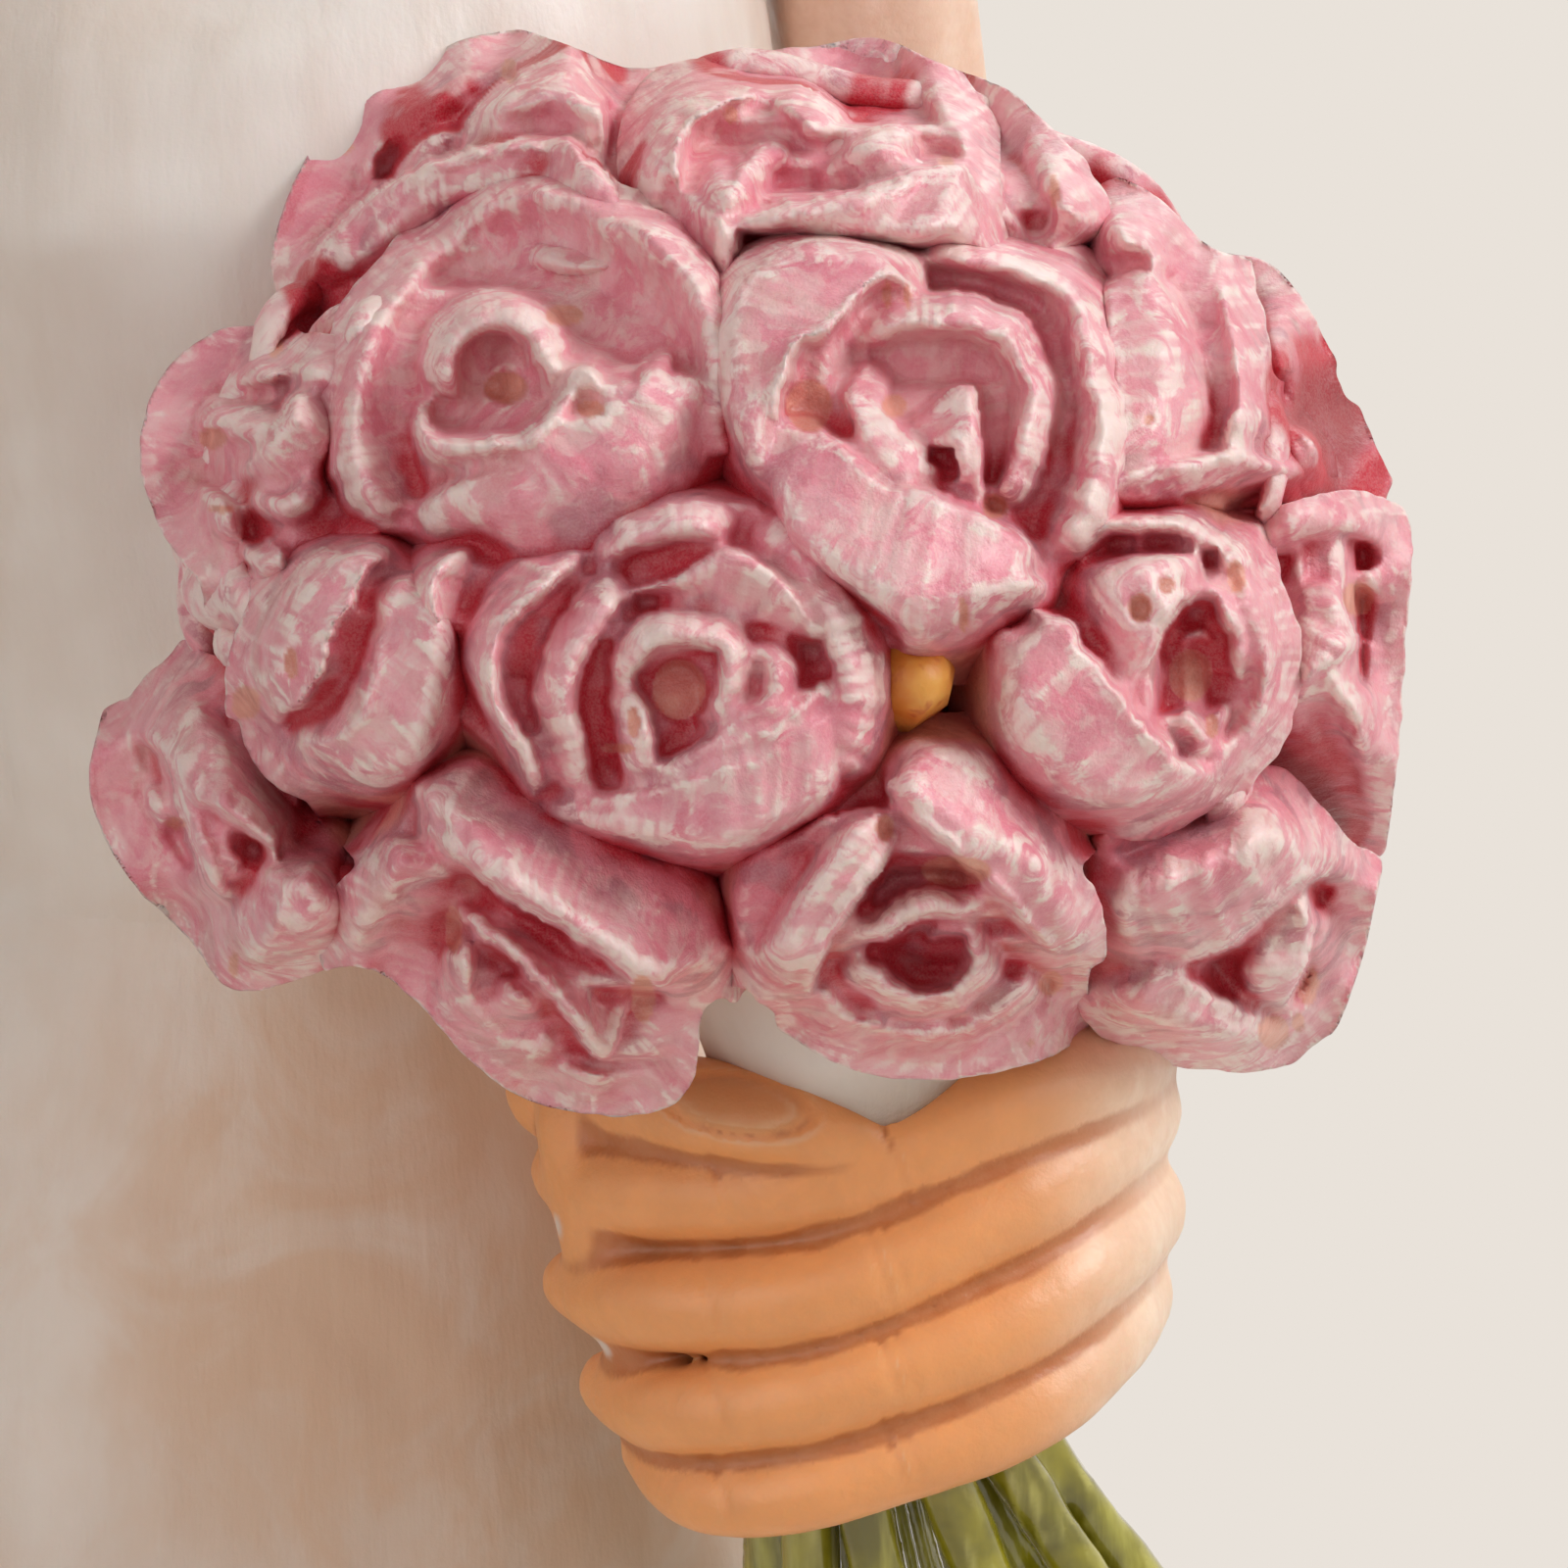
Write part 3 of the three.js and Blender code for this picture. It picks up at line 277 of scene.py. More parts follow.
def normalsOf(points, faces):
    a, b, c, d = (points[faces[:, i]] for i in range(4))
    n = np.cross(c - a, d - b)
    flat = faces[:, 2] == faces[:, 3]
    n[flat] = np.cross(b[flat] - a[flat], c[flat] - a[flat])
    total = np.stack([sum(np.bincount(faces[:, i], n[:, k], len(points)) for i in range(4))
                      for k in range(3)], 1)
    return total / np.maximum(np.linalg.norm(total, axis=1, keepdims=True), 1e-12)


def noiseAt(points, size, seed, octaves=1):
    # smooth lattice noise from -1 to 1, features of about the given size in millimetres
    table = np.random.default_rng(seed).uniform(-1, 1, (32, 32, 32))
    total, gain, weight = 0.0, 1.0, 0.0
    p = np.asarray(points, float) / size + 100.0
    for _ in range(octaves):
        cell = np.floor(p).astype(int)
        f = p - cell
        f = f * f * (3 - 2 * f)
        value = 0.0
        for corner in range(8):
            o = np.array([corner & 1, corner >> 1 & 1, corner >> 2 & 1])
            w = np.prod(np.where(o, f, 1 - f), axis=1)
            i = (cell + o) % 32
            value = value + table[i[:, 0], i[:, 1], i[:, 2]] * w
        total = total + value * gain
        weight += gain
        gain *= 0.5
        p = p * 2.03
    return total / weight


def blurred(field, cells):
    for axis in range(3):
        for _ in range(2):
            padded = np.concatenate([np.repeat(np.take(field, [0], axis), cells + 1, axis), field,
                                     np.repeat(np.take(field, [-1], axis), cells, axis)], axis)
            run = np.cumsum(padded, axis)
            size = field.shape[axis]
            wide = 2 * cells + 1
            field = (np.take(run, range(wide, wide + size), axis)
                     - np.take(run, range(0, size), axis)) / wide
    return field


def crowding(bodies, cell, reaches):
    # how much solid stands round each point of the bodies, for each reach in millimetres
    low = np.min([p.min(0) for p, f in bodies], 0) - cell * 8
    high = np.max([p.max(0) for p, f in bodies], 0) + cell * 8
    shape = np.ceil((high - low) / cell).astype(int)
    solid = np.zeros(shape)
    for p, f in bodies:
        a, b, c, d = (p[f[:, i]] for i in range(4))
        area = np.cross(c - a, d - b)[:, 2] / 2
        flat = f[:, 2] == f[:, 3]
        area[flat] = np.cross(b[flat] - a[flat], c[flat] - a[flat])[:, 2] / 2
        at = np.floor(((a + b + c + d) / 4 - low) / cell).astype(int)
        first = np.maximum(at.min(0) - 3, 0)
        last = np.minimum(at.max(0) + 4, shape)
        shell = np.zeros(last - first)
        np.add.at(shell, tuple((at - first).T), -area / cell**2)
        part = tuple(slice(i, j) for i, j in zip(first, last))
        solid[part] = np.maximum(solid[part], np.clip(np.cumsum(blurred(shell, 1), 2), 0, 1))
    fields = [blurred(solid, max(1, round(r / cell / 2))) for r in reaches]
    found = []
    for p, f in bodies:
        at = (p - low) / cell - 0.5
        base = np.floor(at).astype(int)
        part = at - base
        values = []
        for field in fields:
            total = 0.0
            for corner in range(8):
                o = np.array([corner & 1, corner >> 1 & 1, corner >> 2 & 1])
                i = np.clip(base + o, 0, shape - 1)
                total = total + field[i[:, 0], i[:, 1], i[:, 2]] * np.prod(np.where(o, part, 1 - part), 1)
            values.append(total)
        found.append(values)
    return found


def smoothStep(low, high, value):
    t = np.clip((value - low) / (high - low), 0, 1)
    return t * t * (3 - 2 * t)


def nodeArrays(name):
    # a copy of a CAD node's mesh in millimetres, its loose triangles merged
    points, faces = toArrays(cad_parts[name].data)
    points = points / metre
    key = np.round(points / 0.002).astype(np.int64)
    _, first, back = np.unique(key, axis=0, return_index=True, return_inverse=True)
    return points[first], back.reshape(-1)[faces]


def skinTree(points, faces):
    corners = [tuple(dict.fromkeys(int(i) for i in face)) for face in faces]
    return BVHTree.FromPolygons([Vector(p) for p in points], corners)


def rimOf(points, faces, passes=9, keep=0.3):
    # how far a point stands proud of the skin around it
    return ((points - relaxed(points, faces, passes, keep)) * normalsOf(points, faces)).sum(1)


def surfaceFields(points, faces, cell=0.4, reaches=(1.2,), passes=6, high=0.06):
    # the shade and wear that every painted casting shows
    close = crowding([(points, faces)], cell, reaches)[0][0]
    return {"close": close, "rim": smoothStep(0.0, high, rimOf(points, faces, passes, 0.4))}


def pushed(points, faces, amount):
    return points + normalsOf(points, faces) * amount[:, None]


def addPiece(name, points, faces, material, nodes=(), fields=None, colours=None):
    mesh = toMesh(name, np.asarray(points) * metre, faces)
    for field, values in (fields or {}).items():
        mesh.attributes.new(field, "FLOAT", "POINT").data.foreach_set("value", np.asarray(values, np.float32))
    if colours is not None:
        tint = np.ones((len(points), 4), np.float32)
        tint[:, :3] = colours
        mesh.attributes.new("tint", "FLOAT_COLOR", "POINT").data.foreach_set("color", tint.ravel())
    mesh.polygons.foreach_set("use_smooth", [True] * len(mesh.polygons))
    mesh.materials.append(material)
    obj = bpy.data.objects.new(name, mesh)
    bpy.context.scene.collection.objects.link(obj)
    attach(obj, "root")
    if nodes:
        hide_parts(*nodes)
    return obj


# Materials. Colours are written as on a paint chart, 0 to 255.


def paintColour(r, g, b):
    return tuple(((v / 255 + 0.055) / 1.055) ** 2.4 if v > 10 else v / 255 / 12.92 for v in (r, g, b)) + (1.0,)


def rgb(colour):
    return np.array(paintColour(*colour)[:3])


def over(tint, colour, share):
    # a colour laid over the tints of points, share of it at each
    share = np.clip(share, 0, 1)[:, None]
    return tint * (1 - share) + rgb(colour) * share


def tintOf(colour, points):
    return np.tile(rgb(colour), (len(points), 1))


class Paint:
    # a node material with short calls for its nodes
    def __init__(self, name):
        self.material = bpy.data.materials.new(name)
        self.material.use_nodes = True
        self.nodes = self.material.node_tree.nodes
        self.links = self.material.node_tree.links
        self.shader = self.nodes["Principled BSDF"]
        self.place = self.nodes.new("ShaderNodeTexCoord").outputs["Object"]

    def link(self, value, socket):
        if isinstance(value, (int, float, tuple)):
            socket.default_value = value
        else:
            self.links.new(value, socket)

    def field(self, name, output="Fac"):
        node = self.nodes.new("ShaderNodeAttribute")
        node.attribute_name = name
        return node.outputs[output]

    def stretched(self, scale, turn=(0, 0, 0)):
        node = self.nodes.new("ShaderNodeMapping")
        node.inputs["Scale"].default_value = scale
        node.inputs["Rotation"].default_value = turn
        self.links.new(self.place, node.inputs["Vector"])
        return node.outputs["Vector"]

    def noise(self, size, detail=3.0, rough=0.55, at=None, distort=0.0):
        # size of the features in millimetres
        node = self.nodes.new("ShaderNodeTexNoise")
        node.inputs["Scale"].default_value = 1 / (size * metre) if at is None else 1.0
        node.inputs["Detail"].default_value = detail
        node.inputs["Roughness"].default_value = rough
        node.inputs["Distortion"].default_value = distort
        self.links.new(self.place if at is None else at, node.inputs["Vector"])
        return node.outputs["Fac"]

    def span(self, value, low, high, toLow=0.0, toHigh=1.0):
        node = self.nodes.new("ShaderNodeMapRange")
        node.interpolation_type = "SMOOTHSTEP"
        self.link(value, node.inputs["Value"])
        node.inputs["From Min"].default_value = low
        node.inputs["From Max"].default_value = high
        node.inputs["To Min"].default_value = toLow
        node.inputs["To Max"].default_value = toHigh
        return node.outputs["Result"]

    def times(self, a, b):
        node = self.nodes.new("ShaderNodeMath")
        node.operation = "MULTIPLY"
        self.link(a, node.inputs[0])
        self.link(b, node.inputs[1])
        return node.outputs[0]

    def mix(self, share, a, b):
        node = self.nodes.new("ShaderNodeMix")
        node.data_type = "RGBA"
        self.link(share, node.inputs["Factor"])
        self.link(a, node.inputs["A"])
        self.link(b, node.inputs["B"])
        return node.outputs["Result"]

    def over(self, base, colour, value, low, high, toLow=0.0, toHigh=1.0):
        # a colour over the base, as far as the value lies between low and high
        return self.mix(self.span(value, low, high, toLow, toHigh), base, paintColour(*colour))

    def between(self, value, deep, pale, low=0.35, high=0.65):
        return self.mix(self.span(value, low, high), paintColour(*deep), paintColour(*pale))

    def bump(self, height, depth, under=None):
        # depth in millimetres
        node = self.nodes.new("ShaderNodeBump")
        node.inputs["Distance"].default_value = depth * metre
        self.links.new(height, node.inputs["Height"])
        if under is not None:
            self.links.new(under, node.inputs["Normal"])
        return node.outputs["Normal"]

    def finish(self, colour, roughness, normal=None, **fixed):
        self.link(colour, self.shader.inputs["Base Color"])
        self.link(roughness, self.shader.inputs["Roughness"])
        if normal is not None:
            self.links.new(normal, self.shader.inputs["Normal"])
        for name, value in fixed.items():
            self.shader.inputs[name.replace("_", " ")].default_value = value
        return self.material


def petalPaint(name="petal paint"):
    # pink paint, a crimson wash in the creases, painted shade of darker pink and mauve in the hollows, white brushed
    # over what stands proud
    p = Paint(name)
    close, wide, rim = p.field("close"), p.field("wide"), p.field("rim")
    bare, streak = p.field("bare"), p.field("streak")
    blotch = p.noise(1.9, 3, 0.6, distort=0.8)
    patch = p.noise(1.2, 4, 0.65, distort=1.2)
    fine = p.noise(0.28, 3, 0.7)
    grain = p.noise(0.055, 2, 0.6)
    base = p.between(blotch, (226, 128, 146), (238, 166, 176))
    # painted shade: darker pink where the petals crowd round a hollow
    base = p.over(base, (214, 104, 122), wide, 0.45, 0.65, 0, 0.6)
    # painted shade: mauve patches over the hollows
    paintedMauveShade = p.times(p.span(p.noise(1.4, 2, 0.5, distort=0.6), 0.47, 0.62), p.span(wide, 0.3, 0.52, 0.15, 1))
    base = p.mix(p.times(paintedMauveShade, 0.6), base, paintColour(160, 98, 112))
    olive = p.times(p.span(p.noise(2.4, 3, 0.6), 0.56, 0.68), 0.3)
    base = p.mix(olive, base, paintColour(196, 166, 150))
    chalk = p.times(p.span(patch, 0.43, 0.56), p.span(rim, 0.0, 0.5, 0.42, 1.0))
    chalk = p.times(chalk, p.span(wide, 0.62, 0.4))
    chalk = p.times(chalk, p.span(streak, 0.2, 0.66, 0.15, 1.0))
    base = p.mix(chalk, base, paintColour(238, 220, 210))
    lips = p.times(p.span(rim, 0.35, 1.0, 0, 0.6), p.span(patch, 0.38, 0.52, 0.15, 1.0))
    lips = p.times(lips, p.span(streak, 0.15, 0.55, 0.1, 1.0))
    base = p.mix(lips, base, paintColour(248, 222, 218))
    flesh = p.mix(p.span(blotch, 0.4, 0.6), paintColour(206, 132, 112), paintColour(232, 164, 142))
    base = p.mix(p.times(bare, 0.92), base, flesh)
    inDeep = p.times(p.span(close, 0.55, 0.71), p.span(p.noise(1.3, 2, 0.5), 0.33, 0.5, 0.3, 1.0))
    inDeep = p.times(inDeep, p.span(bare, 0.2, 0.8, 1.0, 0.5))
    base = p.mix(inDeep, base, paintColour(196, 34, 58))
    base = p.over(base, (146, 20, 36), close, 0.8, 0.94, 0, 0.8)
    base = p.over(base, (246, 228, 220), grain, 0.35, 0.65, 0, 0.1)
    gloss = p.span(p.noise(0.6, 3, 0.6), 0.3, 0.7, 0.34, 0.52)
    lumps = p.bump(p.noise(0.5, 4, 0.6, distort=0.5), 0.06)
    brush = p.bump(fine, 0.03, lumps)
    normal = p.bump(grain, 0.008, brush)
    return p.finish(base, gloss, normal, Subsurface_Weight=0.12, Subsurface_Scale=0.0006,
                    Coat_Weight=0.12, Coat_Roughness=0.3, Specular_IOR_Level=0.45)


def gownPaint(name="gown paint"):
    # satin white with long brush marks, a tan wash and painted shade in the folds, and painted shade under the bouquet
    p = Paint(name)
    close, rim, tanWashAndShade = p.field("close"), p.field("rim"), p.field("tanWashAndShade")
    drag = p.noise(1, 4, 0.6, at=p.stretched((420, 420, 60), (0, 0.5, 0.25)))
    fine = p.noise(1, 3, 0.65, at=p.stretched((1500, 1500, 180), (0, 0.5, 0.25)))
    cloud = p.noise(9, 3, 0.55)
    grain = p.noise(0.12, 2, 0.6)
    base = p.between(cloud, (226, 214, 204), (238, 231, 224))
    base = p.over(base, (212, 193, 178), drag, 0.42, 0.7, 0, 0.35)
    # darker tan in the folds: a wash, and painted shade
    base = p.over(base, (178, 146, 122), close, 0.52, 0.75, 0, 0.8)
    # painted shade, in part a tan wash, in blotches under the bouquet and beside the fist
    washAndShadeBlotches = p.times(tanWashAndShade, p.span(p.noise(5, 4, 0.6, distort=0.8), 0.35, 0.6, 0.6, 1.0))
    base = p.mix(washAndShadeBlotches, base, paintColour(218, 180, 150))
    base = p.over(base, (246, 242, 237), rim, 0.4, 1.0, 0, 0.6)
    gloss = p.span(p.noise(2.5, 3, 0.6), 0.3, 0.7, 0.34, 0.5)
    normal = p.bump(grain, 0.008, p.bump(fine, 0.035, p.bump(drag, 0.09)))
    return p.finish(base, gloss, normal, Subsurface_Weight=0.08, Subsurface_Scale=0.001,
                    Coat_Weight=0.15, Coat_Roughness=0.35)


def skinResin(name="skin resin"):
    # flesh resin with its shade in the hollows, and tints painted on by the tint colour
    p = Paint(name)
    close, rim = p.field("close"), p.field("rim")
    tint = p.field("tint", "Color")
    mottle = p.noise(1.6, 4, 0.6, distort=0.4)
    fine = p.noise(0.35, 3, 0.65)
    grain = p.noise(0.08, 2, 0.6)
    base = p.mix(p.span(mottle, 0.35, 0.65, 0, 0.2), tint, paintColour(206, 142, 92))
    base = p.over(base, (158, 84, 40), close, 0.56, 0.8, 0, 0.85)
    base = p.over(base, (247, 214, 180), rim, 0.4, 1.0, 0, 0.35)
    base = p.over(base, (214, 160, 118), fine, 0.35, 0.65, 0, 0.12)
    gloss = p.span(mottle, 0.3, 0.7, 0.32, 0.46)
    normal = p.bump(grain, 0.006, p.bump(fine, 0.02, p.bump(mottle, 0.05)))
    return p.finish(base, gloss, normal, Subsurface_Weight=0.2, Subsurface_Scale=0.0012,
                    Coat_Weight=0.1, Coat_Roughness=0.3)


def stemPaint(name="stem paint"):
    p = Paint(name)
    close, rim = p.field("close"), p.field("rim")
    long = p.noise(1, 4, 0.6, at=p.stretched((900, 900, 110), (0, -0.19, 0)))
    cloud = p.noise(2.2, 3, 0.6)
    base = p.between(cloud, (110, 104, 8), (150, 142, 22))
    base = p.over(base, (196, 192, 88), long, 0.48, 0.7, 0, 0.55)
    # painted shade in the gaps between the stalks, and a painted highlight on what stands proud
    base = p.over(base, (44, 36, 6), close, 0.42, 0.62, 0, 0.92)
    base = p.over(base, (200, 194, 104), rim, 0.3, 0.9, 0, 0.7)
    normal = p.bump(p.noise(0.4, 3, 0.6), 0.015, p.bump(long, 0.05))
    return p.finish(base, p.span(cloud, 0.3, 0.7, 0.14, 0.24), normal, Coat_Weight=0.9, Coat_Roughness=0.06)


def bareResin(name="core resin"):
    p = Paint(name)
    cloud = p.noise(2.0, 4, 0.6)
    base = p.between(cloud, (226, 142, 54), (240, 178, 88))
    base = p.mix(p.span(p.noise(0.7, 3, 0.6), 0.58, 0.72, 0, 0.5), base, paintColour(190, 70, 44))
    normal = p.bump(p.noise(0.5, 4, 0.6), 0.05)
    return p.finish(base, p.span(cloud, 0.3, 0.7, 0.35, 0.5), normal,
                    Subsurface_Weight=0.2, Subsurface_Scale=0.001)


def suitPaint(name="suit paint"):
    # eggshell charcoal with painted shade in its folds, worn a little paler on its edges
    p = Paint(name)
    close, rim = p.field("close"), p.field("rim")
    cloud = p.noise(6, 3, 0.55)
    weave = p.noise(1, 2, 0.6, at=p.stretched((2600, 2600, 1300)))
    drag = p.noise(1, 4, 0.6, at=p.stretched((500, 500, 90)))
    base = p.between(cloud, (37, 37, 42), (47, 47, 54))
    base = p.over(base, (64, 64, 72), drag, 0.5, 0.75, 0, 0.35)
    # painted shade in the folds and hollows
    base = p.over(base, (20, 20, 24), close, 0.52, 0.75, 0, 0.8)
    base = p.over(base, (84, 83, 90), rim, 0.6, 1.0, 0, 0.25)
    normal = p.bump(weave, 0.012, p.bump(drag, 0.04))
    return p.finish(base, p.span(cloud, 0.3, 0.7, 0.5, 0.62), normal)


def glossPaint(name, deep, pale):
    p = Paint(name)
    cloud = p.noise(3, 3, 0.55)
    base = p.between(cloud, deep, pale)
    drag = p.noise(1, 3, 0.6, at=p.stretched((700, 700, 150)))
    normal = p.bump(drag, 0.03)
    return p.finish(base, p.span(p.noise(0.9, 3, 0.6), 0.3, 0.7, 0.2, 0.34), normal, Coat_Weight=0.3)


def hairPaint(name, deep, middleTone, pale):
    p = Paint(name)
    strand, close = p.field("strand"), p.field("close")
    cloud = p.noise(4, 3, 0.6)
    base = p.between(cloud, deep, middleTone)
    base = p.over(base, pale, strand, 0.5, 0.85, 0, 0.75)
    # painted shade in the hollows between the locks
    base = p.mix(p.span(close, 0.52, 0.75, 0, 0.7), base, paintColour(*(v * 0.5 for v in deep)))
    normal = p.bump(p.noise(0.25, 3, 0.6), 0.02)
    return p.finish(base, p.span(cloud, 0.3, 0.7, 0.36, 0.5), normal)


def veilPaint(name="veil paint"):
    p = Paint(name)
    rim, edge = p.field("rim"), p.field("edge")
    cloud = p.noise(7, 3, 0.55)
    net = p.noise(1, 1, 0.4, at=p.stretched((1700, 1700, 1700)))
    base = p.between(cloud, (232, 226, 220), (244, 241, 237))
    base = p.over(base, (208, 198, 190), net, 0.55, 0.65, 0, 0.2)
    base = p.mix(p.times(edge, 0.5), base, paintColour(252, 250, 247))
    base = p.over(base, (252, 250, 247), rim, 0.3, 1, 0, 0.4)
    normal = p.bump(net, 0.03, p.bump(cloud, 0.12))
    return p.finish(base, p.span(cloud, 0.3, 0.7, 0.36, 0.5), normal,
                    Subsurface_Weight=0.1, Subsurface_Scale=0.001)


def plinthPaint(name="plinth paint"):
    p = Paint(name)
    rim = p.field("rim")
    cloud = p.noise(14, 3, 0.55)
    pits = p.noise(0.9, 3, 0.6)
    swirl = p.noise(5, 5, 0.6, distort=1.5)
    base = p.between(cloud, (226, 219, 210), (236, 231, 224))
    base = p.over(base, (204, 190, 176), swirl, 0.55, 0.7, 0, 0.22)
    base = p.over(base, (246, 242, 236), rim, 0.3, 1.0, 0, 0.5)
    normal = p.bump(pits, 0.03, p.bump(swirl, 0.06))
    return p.finish(base, p.span(cloud, 0.3, 0.7, 0.3, 0.45), normal, Coat_Weight=0.15)


def feltCloth(name="wool felt"):
    p = Paint(name)
    hairs = p.noise(0.35, 5, 0.75, distort=2.0)
    cloud = p.noise(5, 3, 0.6)
    base = p.between(hairs, (62, 62, 58), (92, 92, 86))
    base = p.over(base, (74, 74, 70), cloud, 0.4, 0.65, 0, 0.4)
    return p.finish(base, 0.95, p.bump(hairs, 0.15), Sheen_Weight=0.3)


def drawnSteel(name="drawn steel"):
    p = Paint(name)
    lines = p.noise(1, 3, 0.6, at=p.stretched((4000, 4000, 90)))
    base = p.between(lines, (176, 178, 181), (196, 198, 202))
    return p.finish(base, p.span(lines, 0.3, 0.7, 0.25, 0.4), p.bump(lines, 0.01), Metallic=1.0)


gown = gownPaint()
skin = skinResin()


def tintedPaint(name, gloss):
    # paint whose colours are laid on point by point, with a little unevenness
    p = Paint(name)
    uneven = p.noise(0.5, 3, 0.6)
    base = p.mix(p.span(uneven, 0.35, 0.65, 0, 0.08), p.field("tint", "Color"), paintColour(120, 110, 100))
    return p.finish(base, gloss, p.bump(uneven, 0.01), Coat_Weight=0.4, Coat_Roughness=0.08)


# Bouquet. Places on the view are millimetres right and up of the bouquet's middle, and a lift
# in millimetres above the core that the roses stand on.


def sightTo(x, y):
    # from the eye to the place on the plane through the aim
    return (aim + (x + (middle - aim) @ viewRight)[..., None] * viewRight
            + (y + (middle - aim) @ viewUp)[..., None] * viewUp) - eye


def domeSize(lift):
    return np.stack([bouquet["coreRadius"] + lift, bouquet["coreRadius"] + lift,
                     bouquet["coreHeight"] + lift * bouquet["liftToHeight"]], -1)


def fromView(x, y, lift):
    x, y, lift = (np.asarray(v, float) for v in (x, y, lift))
    ray = sightTo(x, y)
    size = domeSize(lift)
    start = ((eye - middle) @ handleAxes.T) / size
    way = (ray @ handleAxes.T) / size
    a = (way * way).sum(-1)
    b = (way * start).sum(-1)
    c = (start * start).sum(-1) - 1
    # past the edge of the dome the skin goes on, back and steeply down
    share = (b * b - a * c) / a
    ahead = np.where(share > 0.12, np.sqrt(np.maximum(share, 0.12)), 0.346 + (share - 0.12) * 1.443)
    return eye + ray * ((-b - ahead * np.sqrt(a)) / a)[..., None]


def domeShare(x, y, lift):
    # 1 over the middle of the dome of this lift, 0 at its edge for the eye, less outside it
    local = (fromView(x, y, lift) - middle) @ handleAxes.T
    return 1 - ((np.linalg.norm(local / domeSize(lift), axis=-1) - 1).clip(0) * 4)


def numbers(text):
    # rows of numbers, with a comma between the rows
    return np.array([[float(v) for v in row.split()] for row in text.split(",")])


def readPetals(text, centre):
    # the petals of a rose as (kind, width, rails)
    petals = []
    for line in text.replace(",\n", ", ").strip().splitlines():
        if line.split()[0].isalpha():
            kind, wall = line.split()
            petals.append((kind, float(wall), []))
        else:
            petals[-1][2].append(numbers(line) + [*centre, 0])
    return petals


def roseAxes(polar, turn):
    # the way out of the bouquet and two ways across the rose
    p, t = math.radians(polar), math.radians(turn)
    out = np.array([math.sin(p) * math.sin(t), -math.sin(p) * math.cos(t), math.cos(p)])
    out = out @ handleAxes
    side = np.cross(lean + 0.01 * viewRight, out)
    side /= np.linalg.norm(side)
    return side, np.cross(out, side), out


def roseFoot(polar, turn):
    p, t = math.radians(polar), math.radians(turn)
    out = np.array([math.sin(p) * math.sin(t), -math.sin(p) * math.cos(t), math.cos(p)])
    return onHandle(out * [bouquet["coreRadius"], bouquet["coreRadius"], bouquet["coreHeight"]])


def grownRose(foot, axes, size, seed, rings, reach=5.0):
    # a rose that no view shows closely: rings of rolled petals round a wound centre
    random = np.random.default_rng(seed)
    side, up, out = axes
    parts = [ball(foot + out * 1.3, (3.1 * size, 3.1 * size, 2.4), [side, up, out])]
    for ring in range(rings):
        share = ring / max(rings - 1, 1)
        count = 3 if ring < 2 else 2
        radius = size * (4.15 - 2.75 * share)
        height = reach * (0.74 + 0.3 * share)
        start = random.uniform(0, 6.28)
        for k in range(count):
            spread = 2 * math.pi / count * (1.32 if ring < 2 else 1.6)
            angle = start + k * 2 * math.pi / count + np.linspace(-0.5, 0.5, 26) * spread
            bend = np.linspace(-1, 1, 26)
            wave = 1 + 0.07 * np.sin(angle * 5 + random.uniform(0, 6)) + random.uniform(-0.06, 0.06)
            lift = height * (1 - 0.22 * np.abs(bend) ** 2.5) + 0.25 * np.sin(angle * 4 + random.uniform(0, 6))
            spiral = 1 - 0.12 * bend
            flare = 0.5 * size * (1 - share)
            rows = []
            for far, high in ((0.3, 0.25), (0.62, 0.45), (0.82, 0.75), (0.93, 0.97), (1.03, 1.0), (1.1, 0.93),
                              (1.12, 0.8)):
                r = radius * wave * spiral * far + flare * smoothStep(0.7, 1.1, far)
                rows.append(foot + np.outer(r * np.cos(angle), side) + np.outer(r * np.sin(angle), up)
                            + np.outer(lift * high, out))
            grid = np.array([smoothLine([row[i] for row in rows], 26) for i in range(26)])
            parts.append(thickSheet(grid, 0.62 - 0.12 * share))
    parts.append(ball(foot + out * (reach * 0.72), (0.75 * size, 0.6 * size, 0.9), [side, up, out]))
    return parts
